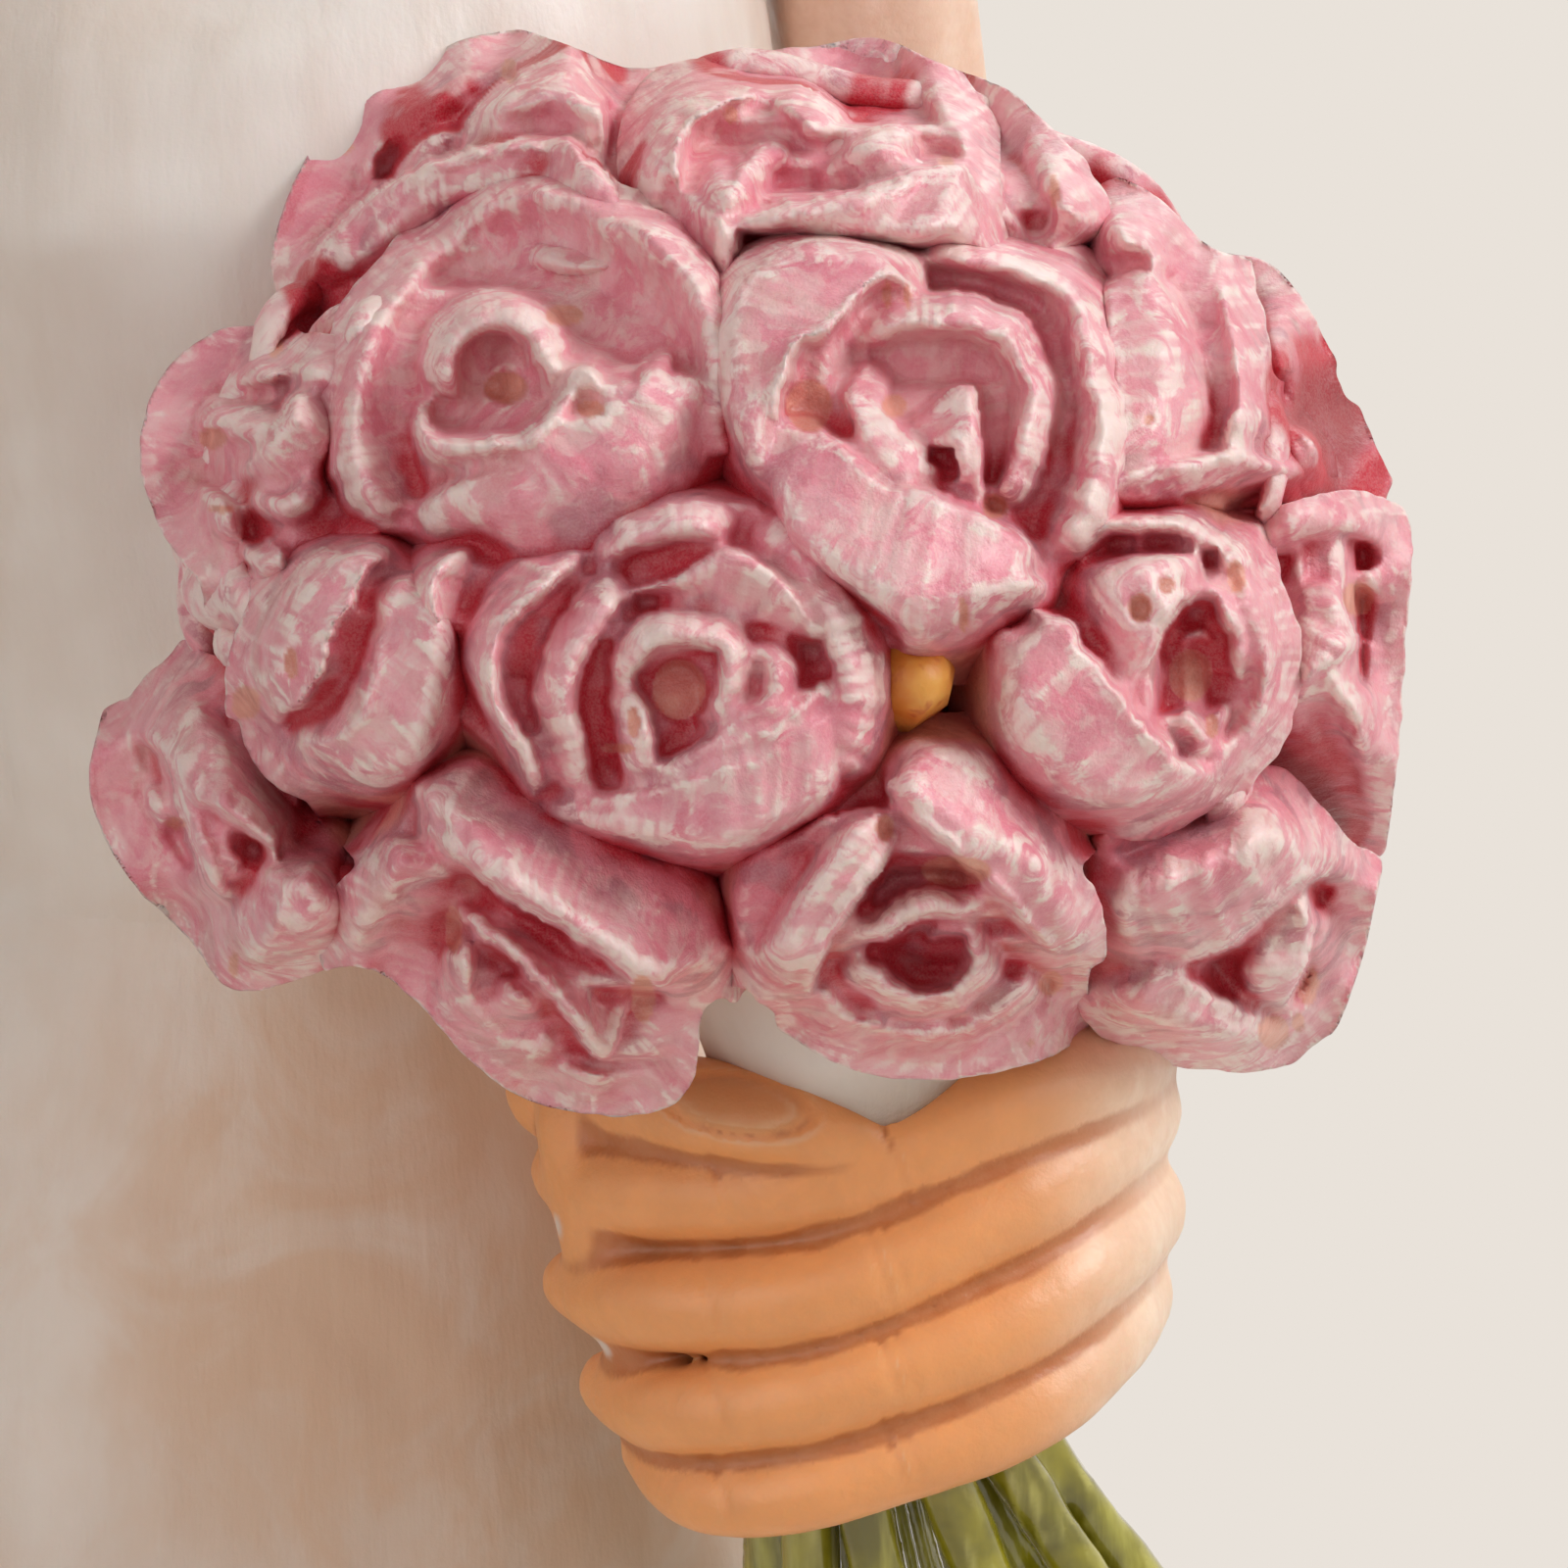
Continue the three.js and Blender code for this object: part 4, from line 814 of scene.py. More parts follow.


# Petals listed one by one. Each starts with its kind and the width of its lip, then come rails across it,
# from its inner side to its outer side: points right, up and out, from the rose's centre on the view.
# A comma at the end of a line carries the rail on. Dents are right, up, half width, half height, depth.
handRoses = {
    "rose_01": ((-5.4, 4.22), """
        slope 0.6
        -1.2 2.1 3.4, -0.8 2.3 3.2, -0.1 2.3 3, 0.8 2.4 3, 2.4 1.6 3, 3 1.1 2.9, 3.6 -0.4 2.8,
        3.4 -1.7 2.8
        -1.9 3 4.4, -1.4 3.9 4.7, -0.6 4.5 4.9, 0.4 4.7 5, 1.4 4.5 5, 3.3 3.2 4.9, 4.5 1.3 4.4,
        4.4 -1.6 3.6
        slope 0.7
        -1.5 2.8 3.8, -1.8 2.1 3.6, -2.1 -0.6 3.3, -1.8 -1.9 3.1, -1.3 -2.4 3
        -1.6 3.4 4.6, -2.3 2.9 4.9, -3.5 1.3 5.1, -3.9 -0.6 5, -3.4 -2.1 4.5, -2.7 -3 4
        rim 0.5
        -1.6 -0.2 4.6, -1.4 1.1 5.1, -0.3 1.6 5.2, 0.6 1 5, 0.9 -0.1 4.6
        wrap 0.5
        -2.1 -0.4 4.4, -2.1 -1 4.8, -1.6 -1.4 5.1, 0.3 -1.2 5.2, 1.4 0.1 5, 1.7 0.2 5.1, 2 -0.1 4.9,
        2.8 0 4.8, 3.5 0.7 4.4
        -2.2 -1.2 3.6, -1.9 -1.9 3.6, -0.1 -1.8 3.8, 1.4 -0.8 4, 2.8 -0.4 4, 3.3 0 3.8
        wrap 0.7
        -2.2 -3 4.2, -1.2 -2.3 4.7, 0.8 -1.2 5.1, 2.6 -0.3 5, 3.5 0.4 4.8
        -1.9 -3.3 3.8, 0.1 -2.8 4.6, 2.3 -1.9 4.7, 3.4 -1.1 4.5, 4.2 -0.1 4.2
        -1.6 -3.6 2.8, -0.6 -3.7 3, 0.4 -4.5 3, 1.7 -4 3.2, 3.7 -2.5 3.2, 4.4 -1.7 3
        """, [(-0.22, -0.02, 0.53, 0.4, 0.8), (1.11, 1.62, 0.49, 0.27, 0.5),
              (1.71, -0.51, 0.36, 0.22, 0.4)]),
    "rose_02": ((3.82, 3.44), """
        band 0.8
        -0.8 2.3 3.2, -1.3 2.2 3.2, -2.5 0.7 2.6, -2.7 0.1 2.6
        0.2 2.8 4.2, -0.6 3.2 4.9, -1.3 3.1 5.2, -2.2 2.1 5.4, -2.8 1.8 5.4, -3.3 0.6 5.1, -3.1 -0.4 4.4
        0.1 3.2 3.9, -0.3 3.7 4.4, -2.4 4 5, -4 3.1 5, -4.3 1.3 4.9, -3.9 -0.6 4.6, -3.1 -2 3.8
        0.1 3.3 3.2, -0.3 3.9 3.4, -1.3 4.2 3.6, -2.4 4.2 3.7, -4.3 3.2 3.7, -4.8 1.3 3.5,
        -4.3 -0.6 3.3, -3.5 -2 3
        wrap 0.8
        -3.6 0.1 4.2, -2.4 -0.3 4.9, -0.9 -1.6 5.3, 0.2 -1.9 5.4, 2 -2.7 5.3, 2.5 -3.3 5
        -3.6 -0.9 4, -3.1 -2 4.8, -2.3 -2.9 5.2, -0.2 -4 5.7, 2 -3.8 5.4, 2.7 -3.7 4.9
        -3.4 -1.6 3, -3 -2.8 3.4, -2.7 -3.4 3.6, -0.9 -4.5 4, 0.1 -5.2 4, 2 -4.4 4, 2.7 -3.9 4
        rim 0.35
        -3 -3.1 3.4, -2.4 -3.9 3.7, -1.6 -4.7 3.7, -0.8 -5.1 3.4
        slope 0.7
        0.5 3.1 3.4, 2.2 2.6 3.6, 2.9 0.7 3.6, 2.5 -2.3 3.3
        0.1 3.9 4.2, 2.6 3.4 4.8, 3.4 2.9 4.9, 3.7 2 5, 4.1 -0.4 5, 3.6 -2.2 4.7, 3.1 -2.9 4.4
        slope 0.7
        -1.3 1.1 3.2, 0.6 1.4 3.3, 1.4 0.7 3.4, 1.7 -0.7 3.3, 1.6 -1.4 3.1
        -1.7 1.7 4.2, -0.4 2.3 4.9, 1.3 2.2 5.2, 2 1.8 5.2, 2.6 0.6 5, 2.1 -1.1 4.7, 1.7 -1.9 4.2
        band 0.5
        -1.2 1.3 4, -1.6 0.8 4.5, -1.6 0.2 4.7, -0.7 -1.3 4.9, 0.2 -1.7 4.6
        -0.8 1.1 4, -0.8 0.3 4.6, -0.1 -0.8 4.8, 0.5 -1.2 4.6
        band 0.6
        -0.3 -0.1 4.3, 1 0.8 4.9, 1.3 0 5, 1.4 -1.7 4.6
        0 -0.5 4.5, 0.8 -0.4 5, 0.9 -1.3 4.8, 0.8 -1.6 4.5
        """, [(-2.55, 0.34, 0.58, 0.67, 1), (-0.62, 0.34, 0.31, 0.31, 0.6),
              (0.94, -4.4, 0.13, 0.44, 0.5), (1.67, -1.95, 0.31, 0.31, 0.6),
              (-0.78, 2.89, 0.11, 0.36, 0.35), (-0.31, 2.85, 0.09, 0.31, 0.3)]),
    "rose_03": ((-1.73, -2.33), """
        band 0.8
        -4.2 2.6 3, -4.5 1.9 3.2, -4.5 1.1 3
        -4.7 2.8 4.2, -5.4 2.4 4.9, -5.5 1.3 4.9, -5.1 0.9 4.2
        -5.1 2.9 3.2, -5.8 2.5 3.5, -6.2 1.9 3.6, -6 1.1 3.5, -5.5 0.8 3.2
        wrap 0.7
        -2.2 2.8 4.2, -2.9 2.2 4.8, -3.5 1.7 5.1, -4.3 0.1 5.2, -3.1 -2.5 4.7
        -2.9 2.9 3.2, -4.2 2.5 3.4, -5.2 0.9 3.4, -4.7 -0.3 3.6, -3.2 -2.9 3.4
        rim 0.55
        -1.1 2 4.4, -1.7 1.6 4.8, -2.6 -0.2 5.1, -2.3 -2 4.6, -1.8 -2.8 4.2
        rim 0.5
        -2 2.7 4, -0.2 3.4 4.7, 0.7 3.4 4.7, 1.2 3.1 4.4
        band 0.5
        -0.8 2 4.3, 0 2.2 4.8, 1.2 2.8 5.1, 2.2 2.3 5.2, 2.8 1.6 5.2, 3.1 0.9 4.8
        -0.5 1.9 3.8, 0.2 1.8 4.1, 1.2 1.1 4.5, 1.8 1.3 4.7, 3 0.8 4.4
        rim 0.6
        1.6 3.2 4.2, 2.4 2.9 4.6, 3.2 2 4.9, 3.9 -0.2 5, 3.5 -2.2 4.7
        rim 0.45
        -1.4 -0.1 4.7, -0.4 0.8 5.2, 0.9 0.9 5.3, 1.2 0.4 5.2, 1 -0.8 4.9, 0.5 -1.1 4.5
        rim 0.5
        -1.3 -0.1 4.4, -0.8 -1.3 5, -0.8 -2.5 4.8
        rim 0.45
        -0.8 -2.5 4.6, 0.2 -2 4.9, 2.2 -0.5 5.2, 2 0.6 4.8, 1.5 0.8 4.5
        rim 0.45
        0 -2.5 4.7, 1.1 -1.7 5.1, 2.3 -1.3 5.2, 3.6 -0.2 4.9
        wrap 0.8
        -3 -3.1 4, 0.2 -2.5 5.1, 2.4 -1.7 5.2, 3.3 -1 5, 3.8 -0.3 4.6
        -2.9 -3.2 3.6, -1.6 -3.5 4.4, 1 -3.7 5, 3.1 -2.8 4.8, 3.8 -1.8 4.3
        -2.9 -3.3 2.6, -1.6 -3.7 3, 0.9 -4.2 3.2, 3.3 -3.2 3.2, 4 -2 3
        """, [(0.04, -0.34, 0.67, 0.76, 1), (-1, -1.07, 0.16, 0.4, 0.4), (-1.34, -1.67, 0.44, 0.13, 0.4)]),
    "rose_04": ((-7.07, 9), """
        wrap 0.8
        -3.5 -2.7 4.2, -2.7 -1.6 4.7, -0.7 0 5.1, 0.5 0.4 5.2, 2.5 0.7 5.2, 3.3 0.3 5, 4.2 -0.8 4.3
        -3.3 -3.2 3.4, -2.3 -2.3 4, -0.2 -0.9 4.3, 1.1 -0.3 4.4, 2.3 -0.2 4.4, 3.3 -0.6 4.3,
        4.2 -1.3 3.8
        -2.9 -3.7 2.4, -0.9 -2.1 2.8, 1.6 -1 2.8, 2.7 -1 2.8, 4.6 -1.9 2.6
        band 0.7
        0.5 0.3 4.4, 0.6 1.3 5, 1.8 2.6 5.6
        1.1 0.4 4.8, 1.4 1.4 5.6, 2.2 2.9 6.1
        2.1 0.7 4.8, 2.7 2.3 6.1, 2.7 3.1 6.1
        3.6 0.4 4.2, 3.7 1.2 5, 3.5 2 5.6, 3.2 2.8 5.8
        slope 0.7
        -1.4 -1.2 3.2, -2.1 -0.8 3.2, -2.2 0 3.4, -1 1.1 3.6, -0.2 1.3 3.6, 0.5 1.7 3.8
        -3.7 -3.1 3.8, -3.6 -0.7 4.9, -2.2 1.3 5.4, -0.2 1.9 5.5, 0.4 2.5 5.7, 1.1 3.1 5.8
        rim 0.5
        -1.4 -0.6 3.8, -1.7 0.2 4.4, -1.6 0.8 4.8, -1.1 1.2 5, -0.7 1.2 4.8
        band 0.5
        -1.2 -0.4 3.8, -0.9 0.3 4.5, -0.2 0.9 4.9, 0.2 1 4.8
        -0.6 -0.6 3.4, -0.2 0 4, 0.7 0.7 4.4
        rim 0.6
        3.1 3.1 4.8, 5.1 2.1 4.4, 6 1.6 4
        """, [(1.54, 2.38, 0.2, 0.31, 0.7), (-2.22, 0.67, 0.22, 0.18, 0.4)]),
    "rose_05": ((1.38, 9.44), """
        band 0.8
        -2.1 -1 3.2, -2.4 -0.3 3.4, -2.1 0.7 3.6, -1.6 1.1 3.6, -0.9 1.1 3.6
        -3.1 -1.2 4, -3.2 -0.1 4.9, -2.9 0.7 5.2, -2.2 1.2 5.3, -1.3 1.5 5.1, -0.6 1.4 4.6
        -4 -1.2 4, -4 0 4.8, -3.8 1.1 5.1, -2.9 1.8 5.2, -1.9 2 5, -0.9 1.8 4.4
        -4.4 -1.1 3, -4.5 0.2 3.4, -4.1 1.5 3.6, -3.2 2.2 3.7, -1.9 2.3 3.6, -0.8 2 3.2
        slope 0.7
        -0.7 1.4 3.2, 1.6 1.1 2.9, 2.8 0.2 3.2
        -1.2 2.1 3.8, -0.5 2.5 4.4, 1.7 2.8 4.9, 2.4 2.2 4.9, 3.5 0.6 4.7, 3.4 -0.3 4.2
        rim 0.6
        -2 1.2 4.4, -1.2 1.5 4.9, 0.1 0.8 5.1, 0.3 0.3 4.7
        rim 0.5
        -2.5 0.2 4.2, -2.2 -0.4 4.7, -2 -0.8 4.9, -0.9 0.2 4.6, -0.3 0.2 4.4
        band 0.6
        0.2 -0.4 4, 0.9 0.3 4.8, 1.7 0.7 5.1, 2.2 0.5 5.1
        0.4 -0.8 3.9, 1.9 -0.3 4.8, 2.3 0.2 4.8
        wrap 0.7
        -2 -1.6 4.2, -1.2 -1.4 4.8, 1.1 -0.9 5.4, 3.2 -0.3 5.4, 3.9 -0.8 5, 4.2 -1.6 4.4
        -1.9 -1.7 3.8, 2 -1.7 5, 3.1 -1.6 5.1, 4 -1.8 4.6
        -1.8 -1.9 2.8, 2 -2.1 3.4, 3.9 -2.4 3.4
        wrap 0.6
        -3.7 -1.2 3.8, -2.9 -0.8 4.3, -2.1 -1.5 4.6, -1.8 -2.3 4.2
        -3.5 -1.7 3.2, -2.4 -2.3 3.6, -1.9 -2.9 3.4
        """, [(-1.89, 0.94, 0.18, 0.22, 0.4), (3, -0.11, 0.18, 0.13, 0.4)]),
    "rose_06": ((5.82, 8.78), """
        slope 0.6
        -1.1 1.6 2.8, 0.1 0 3.2, 0.7 -1.6 3
        -2 2.7 3.6, -1 2.5 4.2, 0 1.9 4.7, 1.3 0.1 5.1, 1.7 -0.7 4.9, 1.6 -1.2 4.4
        band 0.6
        0.5 0.9 4, 0.7 0.2 4.4, 1.1 -0.6 4.4, 1.4 -1.1 4
        1.1 0.3 4.2, 1.4 -0.3 4.7, 1.7 -0.9 4.6
        wrap 0.7
        -1.7 2.1 3.4, -0.4 0.6 4, -0.3 -0.2 4, -0.6 -0.8 3.8
        -1 -0.3 2.8, -0.4 -1 3, 0.3 -1.4 3, 1.2 -1.5 2.8
        """, [(1, -0.11, 0.13, 0.44, 0.4)]),
    "rose_07": ((9.27, 5.22), """
        slope 0.7
        -1.6 1.8 3.2, 0.2 1.7 3.6, 0.9 0.8 3.8, 1.4 -1.3 3.8, 1.3 -2.1 3.6
        -1.8 2.5 3.8, -0.8 3.2 4.5, 0.1 3.2 4.9, 0.9 2.8 5.1, 1.4 2 5.3, 1.9 -1.1 5.3, 1.4 -2.6 4.6
        band 0.8
        -1.9 1.1 2.8, -1.6 -1.8 3, -1.7 -3.3 2.8
        -1.2 1.4 4.1, -0.9 -1.7 4.4, -1.1 -3.2 4
        -0.3 1.6 4.6, 0.1 0 4.9, 0.1 -1.7 4.8, -0.1 -3.1 4.3
        0.4 1.1 4.2, 0.9 -0.2 4.4, 1.1 -1.6 4.3, 1 -2.6 4
        rim 0.7
        -1.2 2 4.2, -0.8 2.4 4.9, -0.2 2.4 5.1, 0.2 2.1 5, 0.5 1.7 4.6
        wrap 0.6
        -1.7 -3.3 3.6, -0.8 -3.1 4.2, 1.4 -2.6 4.7, 2.3 -2.8 4.5
        -1.4 -3.6 3, -0.5 -3.7 3.4, 1.7 -3.2 3.6, 2.5 -3.2 3.4
        rim 0.5
        1.9 -1.1 4.2, 3.2 -2.4 4.6, 3.5 -3.1 4.5, 3.2 -3.5 4.2
        band 0.5
        1.4 -2.5 3.8, 2.3 -2.6 4.2, 3.3 -2.9 4.2
        1.8 -2.9 4, 2.5 -3.1 4.5, 3.3 -3.4 4.3
        2.1 -3.3 3.2, 2.7 -3.5 3.4, 3.2 -3.8 3.2
        """, [(-0.29, -1.73, 0.13, 0.13, 0.2)]),
    "rose_08": ((-11.51, 2.67), """
        slope 0.8
        0.8 2.2 3.2, -0.2 2.1 3.2, -0.9 1.4 3.4, -1.3 -0.3 3.5, -1 -1.2 3.4, -0.3 -2 3.3
        1.1 2.8 3.8, 0.3 2.9 4.4, -0.7 2.6 4.9, -2 1.2 5.4, -2.3 -0.6 5.5, -2 -1.4 5.3, -0.8 -2.9 4.7,
        0 -3.3 4.2
        band 0.7
        0.9 2.7 4, 0.9 2.1 4.4, 1.1 1.5 4.2
        1.5 2.8 4.8, 1.6 2.1 5.2, 1.7 1.5 4.7
        2.2 2.7 4, 2.5 2.1 4.2, 2.3 1.4 4
        rim 0.5
        -0.6 1.6 4.2, 0.6 1.9 4.8, 0.8 1.6 4.4
        rim 0.55
        -1.3 0.8 4.4, -0.8 0.8 4.9, 0.4 0.5 4.9, 1 0.6 4.6
        wrap 0.5
        -0.2 -0.5 4.6, 1 0.7 5.1, 1.2 1.2 5, 1.6 1.4 4.7
        0.3 -0.9 3.9, 1.1 -0.8 3.9, 1.8 -0.1 4, 2.2 1.1 3.8
        rim 0.4
        0.2 -0.3 4.2, 0.3 -1 4.5, 0.8 -1.1 4.5, 1.3 -0.8 4.4, 1.5 -0.2 4.2
        rim 0.5
        -1.4 -0.8 4.5, -0.8 -1.1 4.8, -0.5 -1.5 4.9, -0.2 -1.9 4.6
        wrap 0.7
        2.1 1.3 3.6, 2.8 -0.2 4, 3.6 -1.7 3.4
        1.6 -0.1 2.6, 2.2 -1.4 2.8, 3 -1.9 2.6
        band 0.6
        -0.2 -2.1 4, 0.3 -2.7 4.2, 0 -3.2 3.8
        0.3 -1.9 4.2, 0.8 -2.4 4.3, 0.5 -2.8 4
        """, [(-0.76, 0.37, 0.36, 0.27, 0.7), (0.62, 2.55, 0.27, 0.36, 0.6),
              (-0.56, -1.23, 0.31, 0.11, 0.4)]),
    "rose_09": ((-9.4, -2.33), """
        band 0.8
        0.9 2.5 3.2, 0.2 1.8 3.6, -0.4 0 3.8, -1 -1 3.6
        1.7 2.4 4.2, 1.2 1.7 4.9, 0.7 -0.5 5.3, 0.1 -1.3 5.1, -1 -1.6 4.6
        2.4 1.8 4, 2.3 0.9 4.8, 1.9 -1.3 4.9, 1 -2.1 4.6, -0.3 -2.3 4.2
        2.7 1.1 2.6, 3 0 2.8, 2.9 -1.2 2.8, 2.2 -2.2 2.8, 1 -2.8 2.8, -0.6 -2.9 2.6
        band 0.8
        -1 -0.7 3.2, -0.6 0.9 3.4, 0.4 2.2 3
        -1.7 -1.2 4.4, -0.7 -0.2 5.6, -0.2 1.1 5.8, 0.6 2.4 5.2, 1 2.6 4.6
        -2.3 -1 4.2, -2.2 0 5.2, -1.8 1 5.6, -0.3 2.4 5.2, 0.7 2.8 4.6
        -2.6 -1 3.2, -2.6 0.1 3.8, -2.3 1.2 4, -1.7 2.2 4, -0.6 2.9 3.8, 0.6 3.1 3.4
        wrap 0.7
        -1.8 -1.3 4.2, -1.6 -1.9 4.4, -1 -2.3 4.4, -0.3 -2.5 4.2
        -2.3 -1.3 3.2, -1.9 -2.1 3.2, -1.2 -2.7 3.2, -0.3 -3 3
        """, [(-2.11, -0.63, 0.38, 0.44, 0.7), (-1.09, 0.26, 0.16, 0.4, 0.5)]),
    "rose_10": ((-12.62, -6.11), """
        slope 0.7
        -1.1 2.1 3.2, -1.7 1.6 3.2, -1.9 0.2 3.4, -0.9 -1 3.4, 0.1 -2.3 3.6
        -0.9 2.8 3.8, -1.7 2.5 4.4, -2.2 1.9 4.9, -2.4 0 5.3, -0.6 -2.4 5, -0.1 -3.2 4.8, 0.6 -3.6 4.6,
        1.3 -3.6 4.4, 2 -3.2 4
        wrap 0.6
        -1.4 3.1 4, -0.1 1.3 5, 1.4 0.3 5, 1.6 -0.1 4.6
        -1.1 3.7 3.4, -0.2 3.1 3.9, 1.4 1.1 4.1, 2 0.4 3.6
        -0.3 4.7 2.4, 0.6 3.8 2.6, 1.1 2.4 2.6, 2.7 0.5 2.6
        rim 0.4
        -0.8 2 4.2, -0.3 1.2 4.7, 0.3 -0.6 4.9, 0.8 -1.4 4.7
        rim 0.4
        0.3 0.8 4.2, 0.6 0 4.6, 1 -1.5 4.4
        rim 0.45
        -1.7 1.3 3.8, -1.1 1.1 4.1, -0.8 0.6 4.2, -0.3 0.4 4.1
        rim 0.45
        -1.1 -0.8 3.8, 0.3 -1 4.3, 0.8 -1.4 4.3
        band 0.8
        1.6 -0.2 4, 0.7 -1.8 4.6, 0 -2.3 4.2
        2 -0.5 4.6, 1.9 -1.4 5.1, 1.6 -2.3 5.2, 0.6 -2.9 4.9
        2.9 -0.5 4.2, 3.2 -1.3 4.6, 3 -2.3 4.6, 1.1 -3.3 4.2
        3.4 -0.7 3, 3.6 -1.6 3, 3.4 -2.5 3, 2.5 -3.3 3, 1.4 -3.6 3
        """, [(0.84, -2.8, 0.13, 0.33, 0.5), (-0.49, 0.4, 0.27, 0.13, 0.4)]),
    "rose_11": ((-4.96, -8.89), """
        wrap 0.8
        -2.6 3.3 4.2, -2.2 3 4.9, -0.6 1.8 5.7, 1.7 0.4 5.6, 2.7 -0.3 5.3, 4.3 -0.3 3.8
        -2.6 3.9 4, -2 3.7 4.8, 0 2.2 5.3, 2.1 0.8 5.1, 3.2 0.2 4.6, 4.4 0.1 3.6
        -2.3 4.3 3.2, -1.4 4.7 3.2, -0.3 4.1 3.2, 1.8 2.8 3.4, 3.8 1.6 3, 4.5 0.6 2.6
        wrap 0.6
        -1.8 1.3 3.8, -0.6 0.4 4.9, 1 -1.3 5.3, 1.5 -1.9 5.2, 1.8 -1.7 4.8, 1.9 -1.1 4.3
        -1 1.8 2.8, -0.1 1.1 3.2, 1.9 -0.1 3.4, 2.5 -0.3 3.2
        rim 0.45
        -1.6 0.6 4, -1.6 -1.1 4.6, -0.3 -2.1 4.4, 0.7 -1.3 3.8
        band 0.6
        -1.2 -0.3 3.4, -1.3 -0.9 3.8, -0.9 -1.4 3.9, -0.3 -1.6 3.8
        -0.7 -0.2 3.9, -0.5 -0.7 4.4, 0 -1.3 4.2
        0 -0.3 3.6, 0.3 -0.7 3.8, 0.3 -1.5 3.6
        slope 0.7
        -1.6 1.8 3.2, -2.1 1.2 2.9, -2.2 0 2.6, -1 -2 2.9, 0.3 -2.7 3.2
        -1.7 2.3 4.2, -3.3 2.1 4.9, -4.2 0.8 4.8, -4.1 0 4.6, -2.5 -1.1 4.4, -0.8 -2.6 4.5, 0.1 -3.1 4.4
        slope 0.7
        0.7 -2.2 3, 1.2 -2.3 3.1, 2.5 -1.7 3, 2.7 -0.4 2.8
        0.2 -2.8 4.2, 0.7 -3.2 4.5, 2.4 -3.4 4.6, 3.7 -2.2 4.5, 4.1 -0.4 3.8
        rim 0.4
        0.4 -2.8 4, 0.6 -2.5 4.5, 1.5 -2.7 4.6, 1.7 -3 4.4
        """, [(-1.84, 0.78, 0.22, 0.58, 0.5), (2.45, -0.78, 0.31, 0.62, 0.6)]),
    "rose_12": ((3.93, -8.11), """
        band 0.7
        -0.4 2 3.4, -2.1 -0.4 3.4, -2.4 -1.1 3.2
        -0.6 2.3 4.6, -1.3 1.3 5.2, -2.3 -0.2 5.2, -2.9 -1.6 4.4
        -1 2.6 4.8, -1.9 1.9 5.3, -3.1 0.1 5.3, -3.4 -0.8 5.1, -3.3 -1.7 4.5
        -1.4 2.8 3.4, -2.3 2.2 3.6, -3.9 -0.5 3.6, -3.9 -1.4 3.5, -3.4 -2 3.4
        wrap 0.7
        -0.9 2.8 3.8, -2.1 2.5 4, -2.8 1.7 4, -3.9 -0.4 3.9, -4 -1.3 3.7
        -1.9 2.7 3.2, -4.1 1.5 3.4, -4.3 -0.8 3.3, -3.8 -1.7 3.2
        band 0.7
        -0.4 2.3 3.4, 1.8 0.1 3.6, 2.5 -0.8 3.4
        -0.7 2.8 4.5, 0.1 2.3 5.1, 1.6 1 5.3, 3 -0.5 4.8, 3.5 -1.1 4.2
        -0.9 3.2 4.2, 0.1 3 5, 3 1.1 5.4, 3.6 0.2 5.2, 3.9 -0.8 4.5
        -0.9 3.5 3.4, -0.1 4.1 3.8, 1 4 3.9, 1.9 3.2 4, 3.7 1.2 4.1, 4.1 0.1 4.1, 4.1 -0.8 3.8
        rim 0.4
        -2.4 -0.5 4, -1.7 -0.2 4.5, 0 0.5 4.8, 0.9 0.6 4.8, 1.9 1.1 4.2
        rim 0.5
        -1.8 -0.3 3.8, -1.4 -0.9 4.3, -0.1 -1.7 4.6, 1.2 -1 4.5, 1 0 4.2, -0.2 0 3.7
        slope 0.5
        -1.4 -1.1 2.8, -1 -1.7 2.8, -0.1 -2 2.8, 0.8 -1.8 2.8, 1.7 -0.6 2.8
        -2.4 -1 3.9, -2.1 -1.8 4.2, -1.4 -2.3 4.3, 0.7 -2.4 4.3, 2.1 -1.4 4.2, 2.3 -0.6 3.9
        slope 0.8
        -2.2 -2 3.2, -0.4 -2.7 3.6, 1.7 -2.2 3.5, 2.6 -1.2 3.2
        -2.9 -2 3.8, -2.3 -2.7 4.3, -0.3 -3.5 4.7, 1.9 -3.1 4.6, 3.3 -1.9 3.8
        """, [(-0.93, 2.31, 0.24, 0.33, 0.9), (2.83, -1.22, 0.31, 0.31, 0.6),
              (0.67, 1.33, 0.89, 0.4, 0.5), (2.38, -2.58, 0.11, 0.09, 0.25)]),
